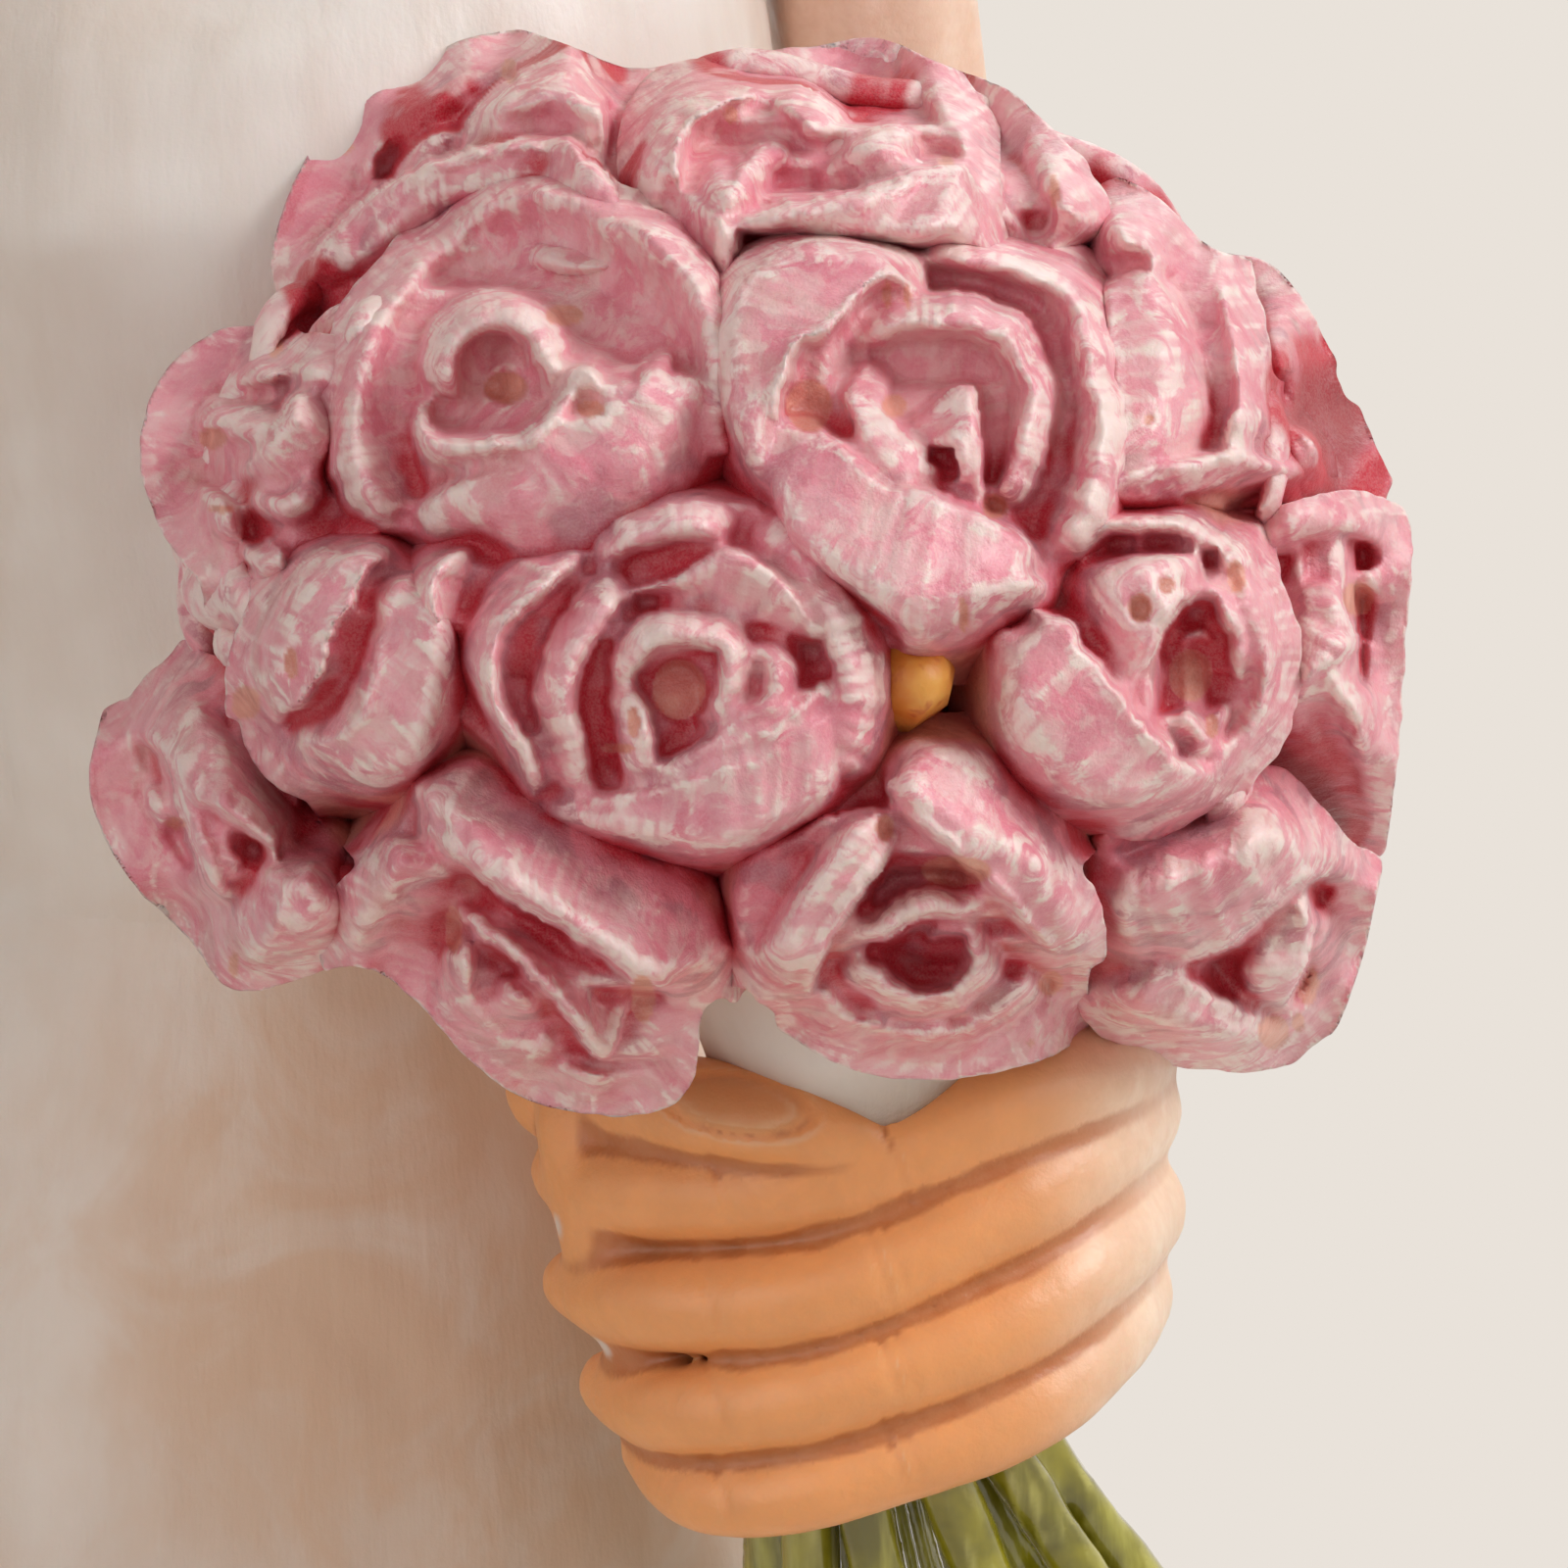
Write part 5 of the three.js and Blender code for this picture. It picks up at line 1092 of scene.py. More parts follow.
    "rose_13": ((9.38, -2.11), """
        wrap 0.7
        -3.2 1.1 4.2, -2.5 0.9 4.8, -1.3 -0.6 5.4, 0 -2.1 5.5, 0.7 -2.6 5.4, 1.3 -2.7 5
        -3.8 0.7 3.8, -3.3 -0.9 4.8, -2.5 -2.2 5, -1.3 -3 5.1, -0.2 -3.2 5, 0.8 -3.1 4.7
        -4.2 0.6 2.6, -4.1 -1.3 2.8, -3.3 -3 3, -0.8 -4 3.1, 0.4 -3.7 3.1, 1.3 -3 3.2
        wrap 0.7
        -1.1 -1 4.4, -0.1 1.2 5.3, 0.9 2 5
        -1.7 -0.2 3.6, -1.7 0.9 4.2, -1.4 1.7 4.7, -0.7 2.2 5, 0.1 2.4 5, 0.7 2.4 4.7
        -2.5 0.6 2.6, -2.6 1.7 2.8, -2.2 2.4 3, -1.3 2.6 3.2, 0.7 2.6 3.6
        slope 0.6
        1.1 2.7 3.8, 1.7 0 3.6, 1.2 -1.7 3.6, 0.8 -2.2 3.6
        1.2 2.8 4.8, 2.2 1.3 5.3, 2.4 -0.7 5.2, 1.5 -2.3 5, 1 -2.7 4.8
        wrap 0.6
        -2.5 2.5 3.4, -1.6 3 4, -0.6 3.2 4.4, 0.4 3.1 4.6, 1.3 2.7 4.6
        -2.6 2.9 2.8, -1.6 3.4 3.2, 0.6 3.4 3.6, 1.4 2.9 3.8
        rim 0.45
        1.2 2.5 4.2, 1.1 1.8 4.7, 1.7 0.8 4.9, 1.7 -0.7 4.3
        rim 0.4
        -0.7 -1.2 4, -0.1 -1.4 4.4, 0.5 -1.3 4.6, 0.8 -1.6 4.7, 0.9 -2 4.6, 1.4 -1 4.4, 1.7 -0.8 4.2
        rim 0.28
        0.2 0.3 3.6, 0.3 0.6 3.9, 0.8 0.8 4, 1.2 0.5 3.9, 1.4 -0.1 3.6
        rim 0.28
        0.3 0.2 3.6, -0.1 0 3.7, -0.2 -0.3 3.7, 0.2 -0.4 3.7, 0.3 -0.8 3.7, 0.7 -1 3.5
        wrap 0.5
        1.4 2.9 3.8, 1.9 3 4.1, 2.4 3.4 4.2
        1.6 2.5 3.4, 2 2.7 3.5, 2.4 3.2 3.6
        """, [(-0.58, 1.29, 0.29, 0.36, 0.4), (0, 1.82, 0.2, 0.22, 0.5), (1.6, 2, 0.24, 0.44, 0.8),
              (1.02, -1.38, 0.18, 0.31, 0.5), (0.55, -0.22, 0.58, 0.67, 0.6)]),
    "rose_14": ((13.49, -2.33), """
        band 0.8
        -1.9 2.7 3.4, -0.9 3.2 4.2, 0.2 3.2 4.6, 1.1 2.7 4.6
        -1.9 3.2 4.2, -0.9 3.7 4.9, 0.3 3.7 5.2, 1.3 3.2 5.2
        -1.8 3.8 3.4, -0.8 4.1 3.8, 0.4 4.2 4.2, 1.7 3.5 4.4, 1.9 2.7 4.2
        band 0.7
        0.2 2.2 4.2, 0.7 2.5 4.6, 1.2 3.2 4.8
        0.4 1.8 4.2, 1.1 2 5, 1.6 2.7 5.3, 1.7 3.2 5
        0.8 1.4 3.4, 1.4 1.8 3.9, 1.9 2.4 4.2
        wrap 0.6
        -0.5 2.3 4.4, -0.1 1 5, -0.3 0.4 5, -1.7 -0.5 4.3
        -1.2 2.2 3.6, -1.3 1.1 4, -1.6 0 3.6
        -1.7 2.2 2.6, -1.8 0.9 2.8, -1.9 -0.5 2.6
        rim 0.6
        1.4 2 4.8, 1.2 0.9 4.9, 1.4 -1.3 4.6, 1.2 -2.5 4.4
        rim 0.4
        0.8 1.1 4.4, 0.8 0 4.6, 0.8 -1.1 4.4
        slope 0.7
        -1.9 -1.9 2.8, -1 -1.9 3.2, 0.3 -3.4 3.4, 0.4 -4.2 3.2
        -1.7 -0.8 4, -0.6 -0.1 4.7, 0.1 -0.6 5, 1.1 -2.5 5.1, 1.3 -3.6 4.9, 1 -4.2 4.5
        wrap 0.6
        -1.7 -0.8 3.8, -0.6 -0.2 4.2, 0.2 -0.9 4.4, 0.7 -1.9 4.4
        -1.9 -2.2 2.8, -1 -2.5 3.2, -0.1 -3.3 3.3, 0.6 -4.2 3
        """, [(0.24, 1.73, 0.38, 0.44, 0.5)]),
    "rose_15": ((11.49, -7.89), """
        wrap 0.8
        -3.5 -0.9 3.8, -2.3 -1 4.3, -0.7 -0.4 5.1, 0.6 0.8 5.4, 1.7 1.3 5.2, 2.1 1.3 4.9
        -3.9 0.2 3.8, -2.8 0.5 4.5, -0.8 1.3 5.2, 0.1 1.9 5.3, 1 2 5.2, 1.8 1.7 4.9
        -4.1 1.6 2.6, -1.9 2.2 3.2, -0.9 2.8 3.4, -0.1 3.5 3.6, 0.8 3.3 3.8, 2.1 1.8 4
        wrap 0.5
        0.8 0.9 4.6, 1 0.2 5, 1 -0.7 5.1, 0.4 -2.1 4.9
        0.3 0.8 4.4, -0.1 -1.1 4.8, -0.1 -1.9 4.5
        -1 -0.5 3.4, -1.4 -1 3.5, -1 -1.6 3.5, -0.3 -2 3.5
        wrap 0.8
        -3 -1 4, -2 -1.4 4.6, 0.4 -2.5 5
        -3.9 -1.8 3.8, -2.8 -2.4 4.4, -0.5 -3 5, 0.6 -2.9 4.9
        -4.2 -1.3 2.6, -4 -2.3 2.8, -2.8 -3.1 3, -0.2 -3.5 3, 0.9 -3.2 3, 1.5 -2.4 3.2
        slope 0.7
        1.3 1.1 3.8, 1.5 0.5 3.4, 2.1 -0.9 3.3, 1.8 -1.5 3.4, 1.3 -1.8 3.6
        1.8 1.2 4.8, 2.5 0.7 5.1, 2.8 -0.1 5.2, 2.8 -1 5.2, 2.2 -1.8 5, 1.6 -2.1 4.7
        rim 0.4
        0.9 0.1 4.2, 1.3 0.1 4.6, 1.6 -0.4 4.6, 1.3 -0.7 4.5, 1.6 -0.9 4.4, 1 -1 4.2
        rim 0.5
        0.4 -2.5 4.8, 1 -2.4 4.8, 1.5 -1.7 4.6
        """, [(1.11, -1.47, 0.27, 0.53, 0.4), (0.33, -2.55, 0.4, 0.44, 0.4),
              (0.89, -2.33, 0.16, 0.22, 0.4)]),
    "rose_16": ((12.27, 4.33), """
        wrap 0.7
        -1.6 3.3 3.6, -0.7 3.1 4.2, 0 2.5 4.6, 0.2 1.6 4.8, 0 0.7 4.8, -0.6 0.1 4.4
        -1.7 2.5 3.4, -1 2 3.9, -0.8 1.2 4, -1 0.5 3.8
        wrap 0.7
        0.2 1.3 4, 0.8 0.5 4.5, 1.2 -1.1 4.5
        -0.5 0 3.2, 0.1 -0.7 3.6, 0.6 -1.3 3.6
        wrap 0.8
        1.1 -0.9 4.5, 1.8 -1.5 4.8, 2 -2.2 4.8, 1.9 -3.1 4.6, 1.5 -3.5 4.2
        0.4 -1.3 3.4, 0.8 -2.2 3.8, 0.7 -3.1 3.6
        wrap 0.7
        -1.2 -0.2 3.8, -0.5 -0.8 4.4, 0.3 -1.4 4.6, 0.5 -2.2 4.6, 0.2 -2.8 4.4
        -1.3 -0.9 3.2, -0.7 -1.6 3.6, -0.5 -2.3 3.5
        """, []),
}

# Which way each rose faces on the dome, its size, and how many rings of petals stand behind
# the petals that are listed above.
rosePlan = {
    "rose_01": (32, -28, 1.06, 0), "rose_02": (46, 31, 1.04, 0), "rose_03": (71, -6, 1.0, 0),
    "rose_04": (40, -118, 1.0, 2), "rose_05": (10, 110, 0.98, 0), "rose_06": (38, 112, 0.86, 2),
    "rose_07": (57, 72, 0.9, 0), "rose_08": (56, -76, 0.86, 2), "rose_09": (72, -43, 0.9, 0),
    "rose_10": (98, -74, 0.98, 2), "rose_11": (112, -28, 1.04, 0), "rose_12": (112, 14, 1.02, 0),
    "rose_13": (88, 45, 0.96, 0), "rose_14": (104, 82, 0.98, 2), "rose_15": (126, 52, 0.94, 0),
    "rose_16": (76, 104, 0.86, 2), "rose_17": (72, -112, 0.9, 4), "rose_18": (54, 160, 0.95, 4),
    "rose_19": (72, 134, 0.9, 4), "rose_20": (108, 118, 0.95, 4), "rose_21": (58, -150, 0.85, 4),
    "rose_22": (90, 152, 0.85, 4), "rose_23": (108, -112, 0.85, 4),
}
roseLook = {
    "cell": 0.07,
    "spacing": 0.045,
    "backVoxel": 0.24,
    "margin": 2.4,
    "hollow": 0.8,
    "ragged": 0.07,
    "flute": 0.05,
    "crumple": 0.05,
    "shoulder": 0.85,
    "deepest": 1.0,
    "crisp": 0.42,
    "turned": 1.5,
    "turnWidth": 1.1,
    "seed": 5,
}
nothing = 999.0


# The bouquet's outline on the view, in the same millimetres as the petals
bouquetEdge = (
    "-5.3 12.4, -4.1 12.0, -2.8 11.5, -1.4 11.7, 0.0 11.9, 1.4 12.0, 2.8 12.2, 4.3 11.6, 6.0 10.9, 7.5 9.5, "
    "9.2 8.6, 10.5 7.4, 11.9 7.0, 13.2 5.1, 14.2 2.9, 15.0 1.0, 14.9 -1.2, 14.7 -4.1, 14.4 -6.4, 14.2 -7.4, "
    "13.8 -9.1, 13.0 -10.8, 11.4 -11.4, 9.2 -11.2, 7.8 -10.6, 6.4 -11.2, 3.9 -11.6, 1.8 -11.2, 0.0 -10.1, "
    "-1.0 -9.8, -1.4 -11.8, -2.8 -12.4, -5.0 -12.1, -6.4 -11.2, -7.8 -9.7, -9.1 -9.0, -11.7 -9.6, -12.9 -8.3, "
    "-14.3 -6.9, -15.1 -5.1, -14.9 -3.4, -14.2 -1.6, -12.5 -0.7, -13.5 0.9, -14.0 2.7, -13.5 4.5, -12.1 5.6, "
    "-10.8 5.8, -11.0 7.3, -10.0 9.8, -8.2 11.2, -6.8 12.1 "
)


def insideEdge(x, y):
    # counts how often a line to the right crosses the outline
    edge = numbers(bouquetEdge)
    edge = smoothLine(np.vstack([edge, edge[:1]]), 240)[:-1]
    crossed = np.zeros(x.shape, int)
    for (ax, ay), (bx, by) in zip(edge, np.roll(edge, -1, 0)):
        if ay != by:
            crossed += ((ay > y) != (by > y)) & (x < ax + (y - ay) * (bx - ax) / (by - ay))
    return crossed % 2 == 1


def wander(length, step, seed):
    # smooth random values along a line, from -1 to 1, one bend every few tenths of a millimetre
    random = np.random.default_rng(seed)
    knots = random.uniform(-1, 1, int(length.max() / step) + 4)
    at = length / step
    low = np.floor(at).astype(int)
    part = at - low
    part = part * part * (3 - 2 * part)
    return knots[low] * (1 - part) + knots[low + 1] * part


def petalRows(kind, wall, lines, centre, seed):
    # rows of places across a petal's lip, from its inner side to its outer side
    reach = max(np.linalg.norm(np.diff(line[:, :2], axis=0), axis=1).sum() for line in lines)
    along = int(reach / roseLook["spacing"]) + 2
    lines = [smoothLine(line, along) for line in lines]
    crest = lines[1] if kind in ("slope", "band") else lines[0]
    length = np.r_[0, np.cumsum(np.linalg.norm(np.diff(crest[:, :2], axis=0), axis=1))]
    inward = np.array(centre) - crest[:, :2]
    inward = inward / np.maximum(np.linalg.norm(inward, axis=1, keepdims=True), 0.3)
    run = np.gradient(crest[:, :2], axis=0)
    square = np.stack([-run[:, 1], run[:, 0]], 1)
    square /= np.maximum(np.linalg.norm(square, axis=1, keepdims=True), 1e-6)
    if (square * inward).sum() < 0:
        square = -square
    shift = roseLook["ragged"] * (wander(length, 0.5, seed) + 0.6 * wander(length, 0.17, seed + 1))
    flute = roseLook["flute"] * (wander(length, 0.42, seed + 2) + 0.5 * wander(length, 0.2, seed + 3))
    ends = np.minimum(length, length[-1] - length)
    sink = 0.5 * np.exp(-ends / 0.25)

    def beside(far, drop):
        place = crest[:, :2] + square * (far + shift)[:, None]
        return np.hstack([place, (crest[:, 2] + flute - sink - drop)[:, None]])

    def lowered(line, drop, share):
        row = line.copy()
        row[:, 2] += flute * share - drop
        return row

    if kind == "rim":
        rows = [beside(0.75 * wall, 1.3), beside(0.6 * wall, 0.5), beside(0.3 * wall, 0.04), beside(0, 0),
                beside(-0.4 * wall, 0.12), beside(-0.95 * wall, 0.5), beside(-1.3 * wall, 1.2)]
    elif kind == "slope":
        rows = [lowered(lines[0], 0.9, 0), lowered(lines[0], 0, 0.3),
                lowered(lines[0] * 0.5 + lines[1] * 0.5, 0.1, 0.8), beside(0.12, 0.02), beside(-0.12, 0.04),
                beside(-0.36, 0.3), beside(-0.58, 0.9), beside(-0.7, 1.9)]
    elif kind == "wrap":
        rows = [beside(0.3, 1.3), beside(0.22, 0.5), beside(0.1, 0.05), beside(-0.08, 0)]
        rows += [lowered(line, 0, 0.5) for line in lines[1:]] + [lowered(lines[-1], 0.9, 0)]
    else:
        rows = [lowered(lines[0], 0.9, 0), lowered(lines[0], 0, 0.5), beside(0.06, 0), beside(-0.08, 0)]
        rows += [lowered(line, 0, 0.5) for line in lines[2:]] + [lowered(lines[-1], 0.9, 0)]
    rows = np.array(rows)
    q = np.concatenate([2 * rows[:1] - rows[1:2], rows, 2 * rows[-1:] - rows[-2:-1]])
    across = []
    for k in range(1, len(q) - 2):
        steps = int(np.linalg.norm((q[k + 1] - q[k])[:, :2], axis=1).max() / roseLook["spacing"]) + 2
        for t in np.linspace(0, 1, steps)[:-1]:
            across.append(catmullRom(*q[k - 1:k + 3], t))
    return np.array(across), length


def shifted(field):
    # the eight neighbours of each cell of a grid
    wide = np.pad(field, 1, mode="edge")
    rows, columns = field.shape
    return np.array([wide[1 + i:1 + i + rows, 1 + j:1 + j + columns]
                     for i in (-1, 0, 1) for j in (-1, 0, 1) if i or j])


def highestPetals(petals, centre, low, shape, cell, number):
    # the highest petal at each place of the grid, and the brush marks that run along it
    lift = np.full(shape, -9.0)
    streak = np.zeros(shape)
    for order, (kind, wall, lines) in enumerate(petals):
        seed = number * 100 + order * 7
        rows, length = petalRows(kind, wall, lines, centre, seed)
        flat = rows.reshape(-1, 3)
        far = np.r_[0, np.cumsum(np.linalg.norm(np.diff(rows[:, len(length) // 2, :2], axis=0), axis=1))]
        place = np.stack(np.meshgrid(far / 1.3, length / 0.13, indexing="ij") + [np.full(rows.shape[:2], seed)],
                         -1).reshape(-1, 3)
        brush = noiseAt(place, 1, 31, 2)
        at = np.clip(((flat[:, :2] - low) / cell).astype(int), 0, np.array(shape) - 1)
        better = np.flatnonzero(flat[:, 2] > lift[at[:, 0], at[:, 1]])
        better = better[np.argsort(flat[better, 2])]
        lift[at[better, 0], at[better, 1]] = flat[better, 2]
        streak[at[better, 0], at[better, 1]] = brush[better]
    near = shifted(lift)
    count = (near > 0).sum(0)
    gap = (lift < 0) & (count >= 5)
    lift[gap] = (np.where(near > 0, near, 0).sum(0) / np.maximum(count, 1))[gap]
    return lift, streak


def withFloor(lift, marks, centre, x, y, cell):
    # the closed floor of the hollows between the petals
    turn = np.arange(48) * 2 * math.pi / 48
    angle = np.arctan2(marks[:, 1] - centre[1], marks[:, 0] - centre[0])
    away = np.hypot(marks[:, 0] - centre[0], marks[:, 1] - centre[1])
    apart = np.abs((angle[None] - turn[:, None] + math.pi) % (2 * math.pi) - math.pi)
    edge = smoothRing(np.array([np.max(away[row < 0.3], initial=1.2) for row in apart]), 3) - 0.3
    bearing = np.arctan2(y - centre[1], x - centre[0]) % (2 * math.pi)
    limit = np.interp(bearing, np.r_[turn, 2 * math.pi], np.r_[edge, edge[0]])
    inside = np.hypot(x - centre[0], y - centre[1]) < limit
    span = (x[..., None] - marks[:, 0]) ** 2 + (y[..., None] - marks[:, 1]) ** 2
    weight = 1 / (span + 0.1) ** 2
    floor = (weight * marks[:, 2]).sum(-1) / weight.sum(-1) - roseLook["hollow"]
    floor = np.maximum(floor, np.percentile(marks[:, 2], 70) - 1.5)
    covered = spread(np.where(lift > 0, 1.0, 0.0), int(1.3 / cell), np.maximum)
    inside |= spread(covered, int(1.35 / cell), np.minimum) > 0.5
    return np.where(inside, np.maximum(lift, floor), lift)


def turnedSkin(depth, taken, cell):
    # lips stand crisper over their surroundings, and the skin turns away round the outline
    mask = taken.astype(float)

    def around(reach):
        return boxed(np.where(taken, depth, 0), reach) / np.maximum(boxed(mask, reach), 1e-6)

    wide = around(int(0.75 / cell))
    depth = np.where(taken, depth + np.clip(roseLook["crisp"] * (depth - wide), -0.5, 0.8), depth)
    near = np.zeros(depth.shape)
    for step in range(1, int(roseLook["turnWidth"] / cell) + 1):
        near += spread(mask, step, np.minimum)
    share = 1 - np.clip(near * cell / roseLook["turnWidth"], 0, 1)
    depth = np.where(taken, depth + roseLook["turned"] * (1 - np.sqrt(np.clip(1 - share**2, 0, 1))), depth)
    # pits of a cell or two close up
    near = closedOver(depth, 2)
    depth = np.where(taken & (near > 0), np.minimum(depth, near + 0.03), depth)
    for reach in (1, 4, 4):
        part = 0.35 if reach == 1 else smoothStep(0.1, 0.6, share)
        depth = np.where(taken, depth * (1 - part) + around(reach) * part, depth)
    return depth, share


def closedOver(depth, cells):
    # the distances with every hollow closed that is narrower than twice these cells
    near = spread(depth, cells, np.minimum)
    return spread(np.where(near >= nothing, -nothing, near), cells, np.maximum)


def carvedRose(hand, number):
    # the rose's skin as distances from the eye on a grid of the view: petals, the floor of the
    # hollows under them, and a rounded shoulder down to the core all round
    cell = coarser(roseLook["cell"])
    centre, petals, dents = hand
    petals = readPetals(petals, centre)
    marks = np.vstack([smoothLine(line, 24) for kind, wall, lines in petals for line in lines])
    low = marks[:, :2].min(0) - roseLook["margin"]
    shape = tuple(np.ceil((marks[:, :2].max(0) + roseLook["margin"] - low) / cell).astype(int))
    lift, streak = highestPetals(petals, centre, low, shape, cell, number)
    x = low[0] + (np.arange(shape[0]) + 0.5) * cell
    y = low[1] + (np.arange(shape[1]) + 0.5) * cell
    x, y = np.meshgrid(x, y, indexing="ij")
    lift = withFloor(lift, marks, centre, x, y, cell)
    bare = np.zeros(shape)
    for wx, wy, wide, tall, depth in dents:
        bowl = np.clip(1 - ((x - wx - centre[0]) / wide) ** 2 - ((y - wy - centre[1]) / tall) ** 2, 0, 1)
        lift -= smoothStep(0, 0.45, bowl) * min(depth * 0.55, 0.4)
        bare = np.maximum(bare, smoothStep(0.12, 0.3, bowl))
    within = insideEdge(x, y)
    onDome = (domeShare(x, y, 3.4) > 0.99) & within
    for step in range(int(roseLook["shoulder"] / cell)):
        around = shifted(lift).max(0) - cell * (1.0 + 5.5 * ((step + 1) * cell))
        lift = np.where((lift < 0) & onDome & (around > 0), around, lift)
    # from here on as the distance from the eye, with no hollow deeper than a cast one
    taken = (lift > 0) & within
    depth = np.where(taken, (fromView(x, y, np.maximum(lift, 0.1)) - eye) @ viewInto, nothing)
    closed = closedOver(depth, int(1.0 / cell))
    depth = np.where(taken & (closed > 0), np.minimum(depth, closed + roseLook["deepest"]), depth)
    depth, share = turnedSkin(depth, taken, cell)
    return x, y, depth, streak - 0.8 * share, bare, low, cell


def boxed(field, reach):
    # twice a box average over some cells each way
    for axis in (0, 1, 0, 1):
        total = np.cumsum(np.pad(field, [(reach + 1, reach) if k == axis else (0, 0) for k in (0, 1)]), axis)
        length = field.shape[axis]
        taken = [slice(None)] * 2
        taken[axis] = slice(2 * reach + 1, 2 * reach + 1 + length)
        before = [slice(None)] * 2
        before[axis] = slice(0, length)
        field = (total[tuple(taken)] - total[tuple(before)]) / (2 * reach + 1)
    return field


def spread(field, cells, pick):
    # the least or greatest value within some cells of each place
    for axis in (0, 1):
        done = 0
        while done < cells:
            step = min(max(done, 1), cells - done)
            field = pick(field, pick(np.roll(field, step, axis), np.roll(field, -step, axis)))
            done += step
    return field


def alongSight(x, y, depth):
    # the places that the eye sees at x and y, at this distance into the view
    return eye + sightTo(x, y) * (depth / view["distance"])[..., None]


def reliefBody(x, y, depth, apex):
    # the grid of distances as a skin, closed behind by a cone to the rose's foot
    taken = depth < nothing
    rows, columns = x.shape
    whole = (taken[:-1, :-1] & taken[1:, :-1] & taken[:-1, 1:] & taken[1:, 1:]).reshape(-1)
    used, places = np.unique(gridFaces(rows, columns)[whole][:, ::-1], return_inverse=True)
    faces = places.reshape(-1, 4)
    count = len(used)
    points = alongSight(x, y, np.where(taken, depth, 120.0)).reshape(-1, 3)[used]
    sides = np.vstack([faces[:, [0, 1]], faces[:, [1, 2]], faces[:, [2, 3]], faces[:, [3, 0]]])
    rim = sides[~np.isin(sides[:, 1] * count + sides[:, 0], sides[:, 0] * count + sides[:, 1])]
    points = relaxed(points, faces, 1)
    # the outline loses the steps of the grid
    times = np.bincount(rim.reshape(-1), minlength=count)
    for _ in range(8):
        total = np.zeros_like(points)
        np.add.at(total, rim[:, 0], points[rim[:, 1]])
        np.add.at(total, rim[:, 1], points[rim[:, 0]])
        points = np.where((times == 2)[:, None], points * 0.5 + total * 0.25, points)
    # the cone stays behind the skin where the rose turns away from the eye
    behind = ((points[rim[:, 0]] - apex) @ viewInto).max() + 1.0
    apex = apex + viewInto * max(behind, 0)
    end = np.full(len(rim), count)
    return np.vstack([points, apex]), np.vstack([faces, np.stack([rim[:, 1], rim[:, 0], end, end], 1)])


def onView(points):
    # where the eye sees points, right and up of the bouquet's middle
    at = points - eye
    flat = eye + at * (view["distance"] / (at @ viewInto))[:, None] - aim
    return (flat @ viewRight - (middle - aim) @ viewRight, flat @ viewUp - (middle - aim) @ viewUp)


def lookedUp(values, x, y, low, cell):
    i = np.clip(((x - low[0]) / cell).astype(int), 0, values.shape[0] - 1)
    j = np.clip(((y - low[1]) / cell).astype(int), 0, values.shape[1] - 1)
    return values[i, j]


def shapedRose(name):
    polar, turn, size, rings = rosePlan[name]
    number = int(name[-2:])
    foot = roseFoot(polar, turn)
    axes = roseAxes(polar, turn)
    hand = handRoses.get(name)
    if hand is None:
        points, faces = fused(grownRose(foot, axes, size, roseLook["seed"] + number, rings),
                              coarser(roseLook["backVoxel"]), 1)
        return points, faces, np.zeros(len(points)), noiseAt(points, 0.35, 31, 2)
    x, y, depth, streak, bare, low, cell = carvedRose(hand, number)
    parts = [reliefBody(x, y, depth, foot)]
    if rings:
        # the petals behind give way to the ones in view
        behind = []
        for points, faces in grownRose(foot, axes, size * 0.92, roseLook["seed"] + number, rings, 4.0):
            px, py = onView(points)
            skin = lookedUp(depth, px, py, low, cell) + 0.45
            far = (points - eye) @ viewInto
            scale = np.where((skin < nothing) & (far < skin), skin / far, 1)
            behind.append((eye + (points - eye) * scale[:, None], faces))
        parts.append(fused(behind, coarser(roseLook["backVoxel"]), 1))
    points, faces = joined(parts)
    px, py = onView(points)
    seen = smoothStep(0.35, 0.15, np.abs((points - eye) @ viewInto - lookedUp(depth, px, py, low, cell)))
    normal = normalsOf(points, faces)
    brushed = seen * smoothStep(0.15, 0.4, -(normal @ viewInto)) * 0.75
    brush = lookedUp(streak, px, py, low, cell) * brushed + noiseAt(points, 0.35, 31, 2) * (1 - brushed)
    bump = noiseAt(points, 0.75, 11, 2) * roseLook["crumple"] + brush * 0.012
    points = points + normal * bump[:, None]
    return points, faces, lookedUp(bare, px, py, low, cell) * seen, brush


def liftOf(points):
    # height above the core that the roses stand on
    size = [bouquet["coreRadius"], bouquet["coreRadius"], bouquet["coreHeight"]]
    local = (points - middle) @ handleAxes.T / size
    return (np.linalg.norm(local, axis=1) - 1) * 7.5


def smoothRing(ring, times=6):
    for _ in range(times):
        ring = ring * 0.5 + (np.roll(ring, 1, 0) + np.roll(ring, -1, 0)) * 0.25
    return ring


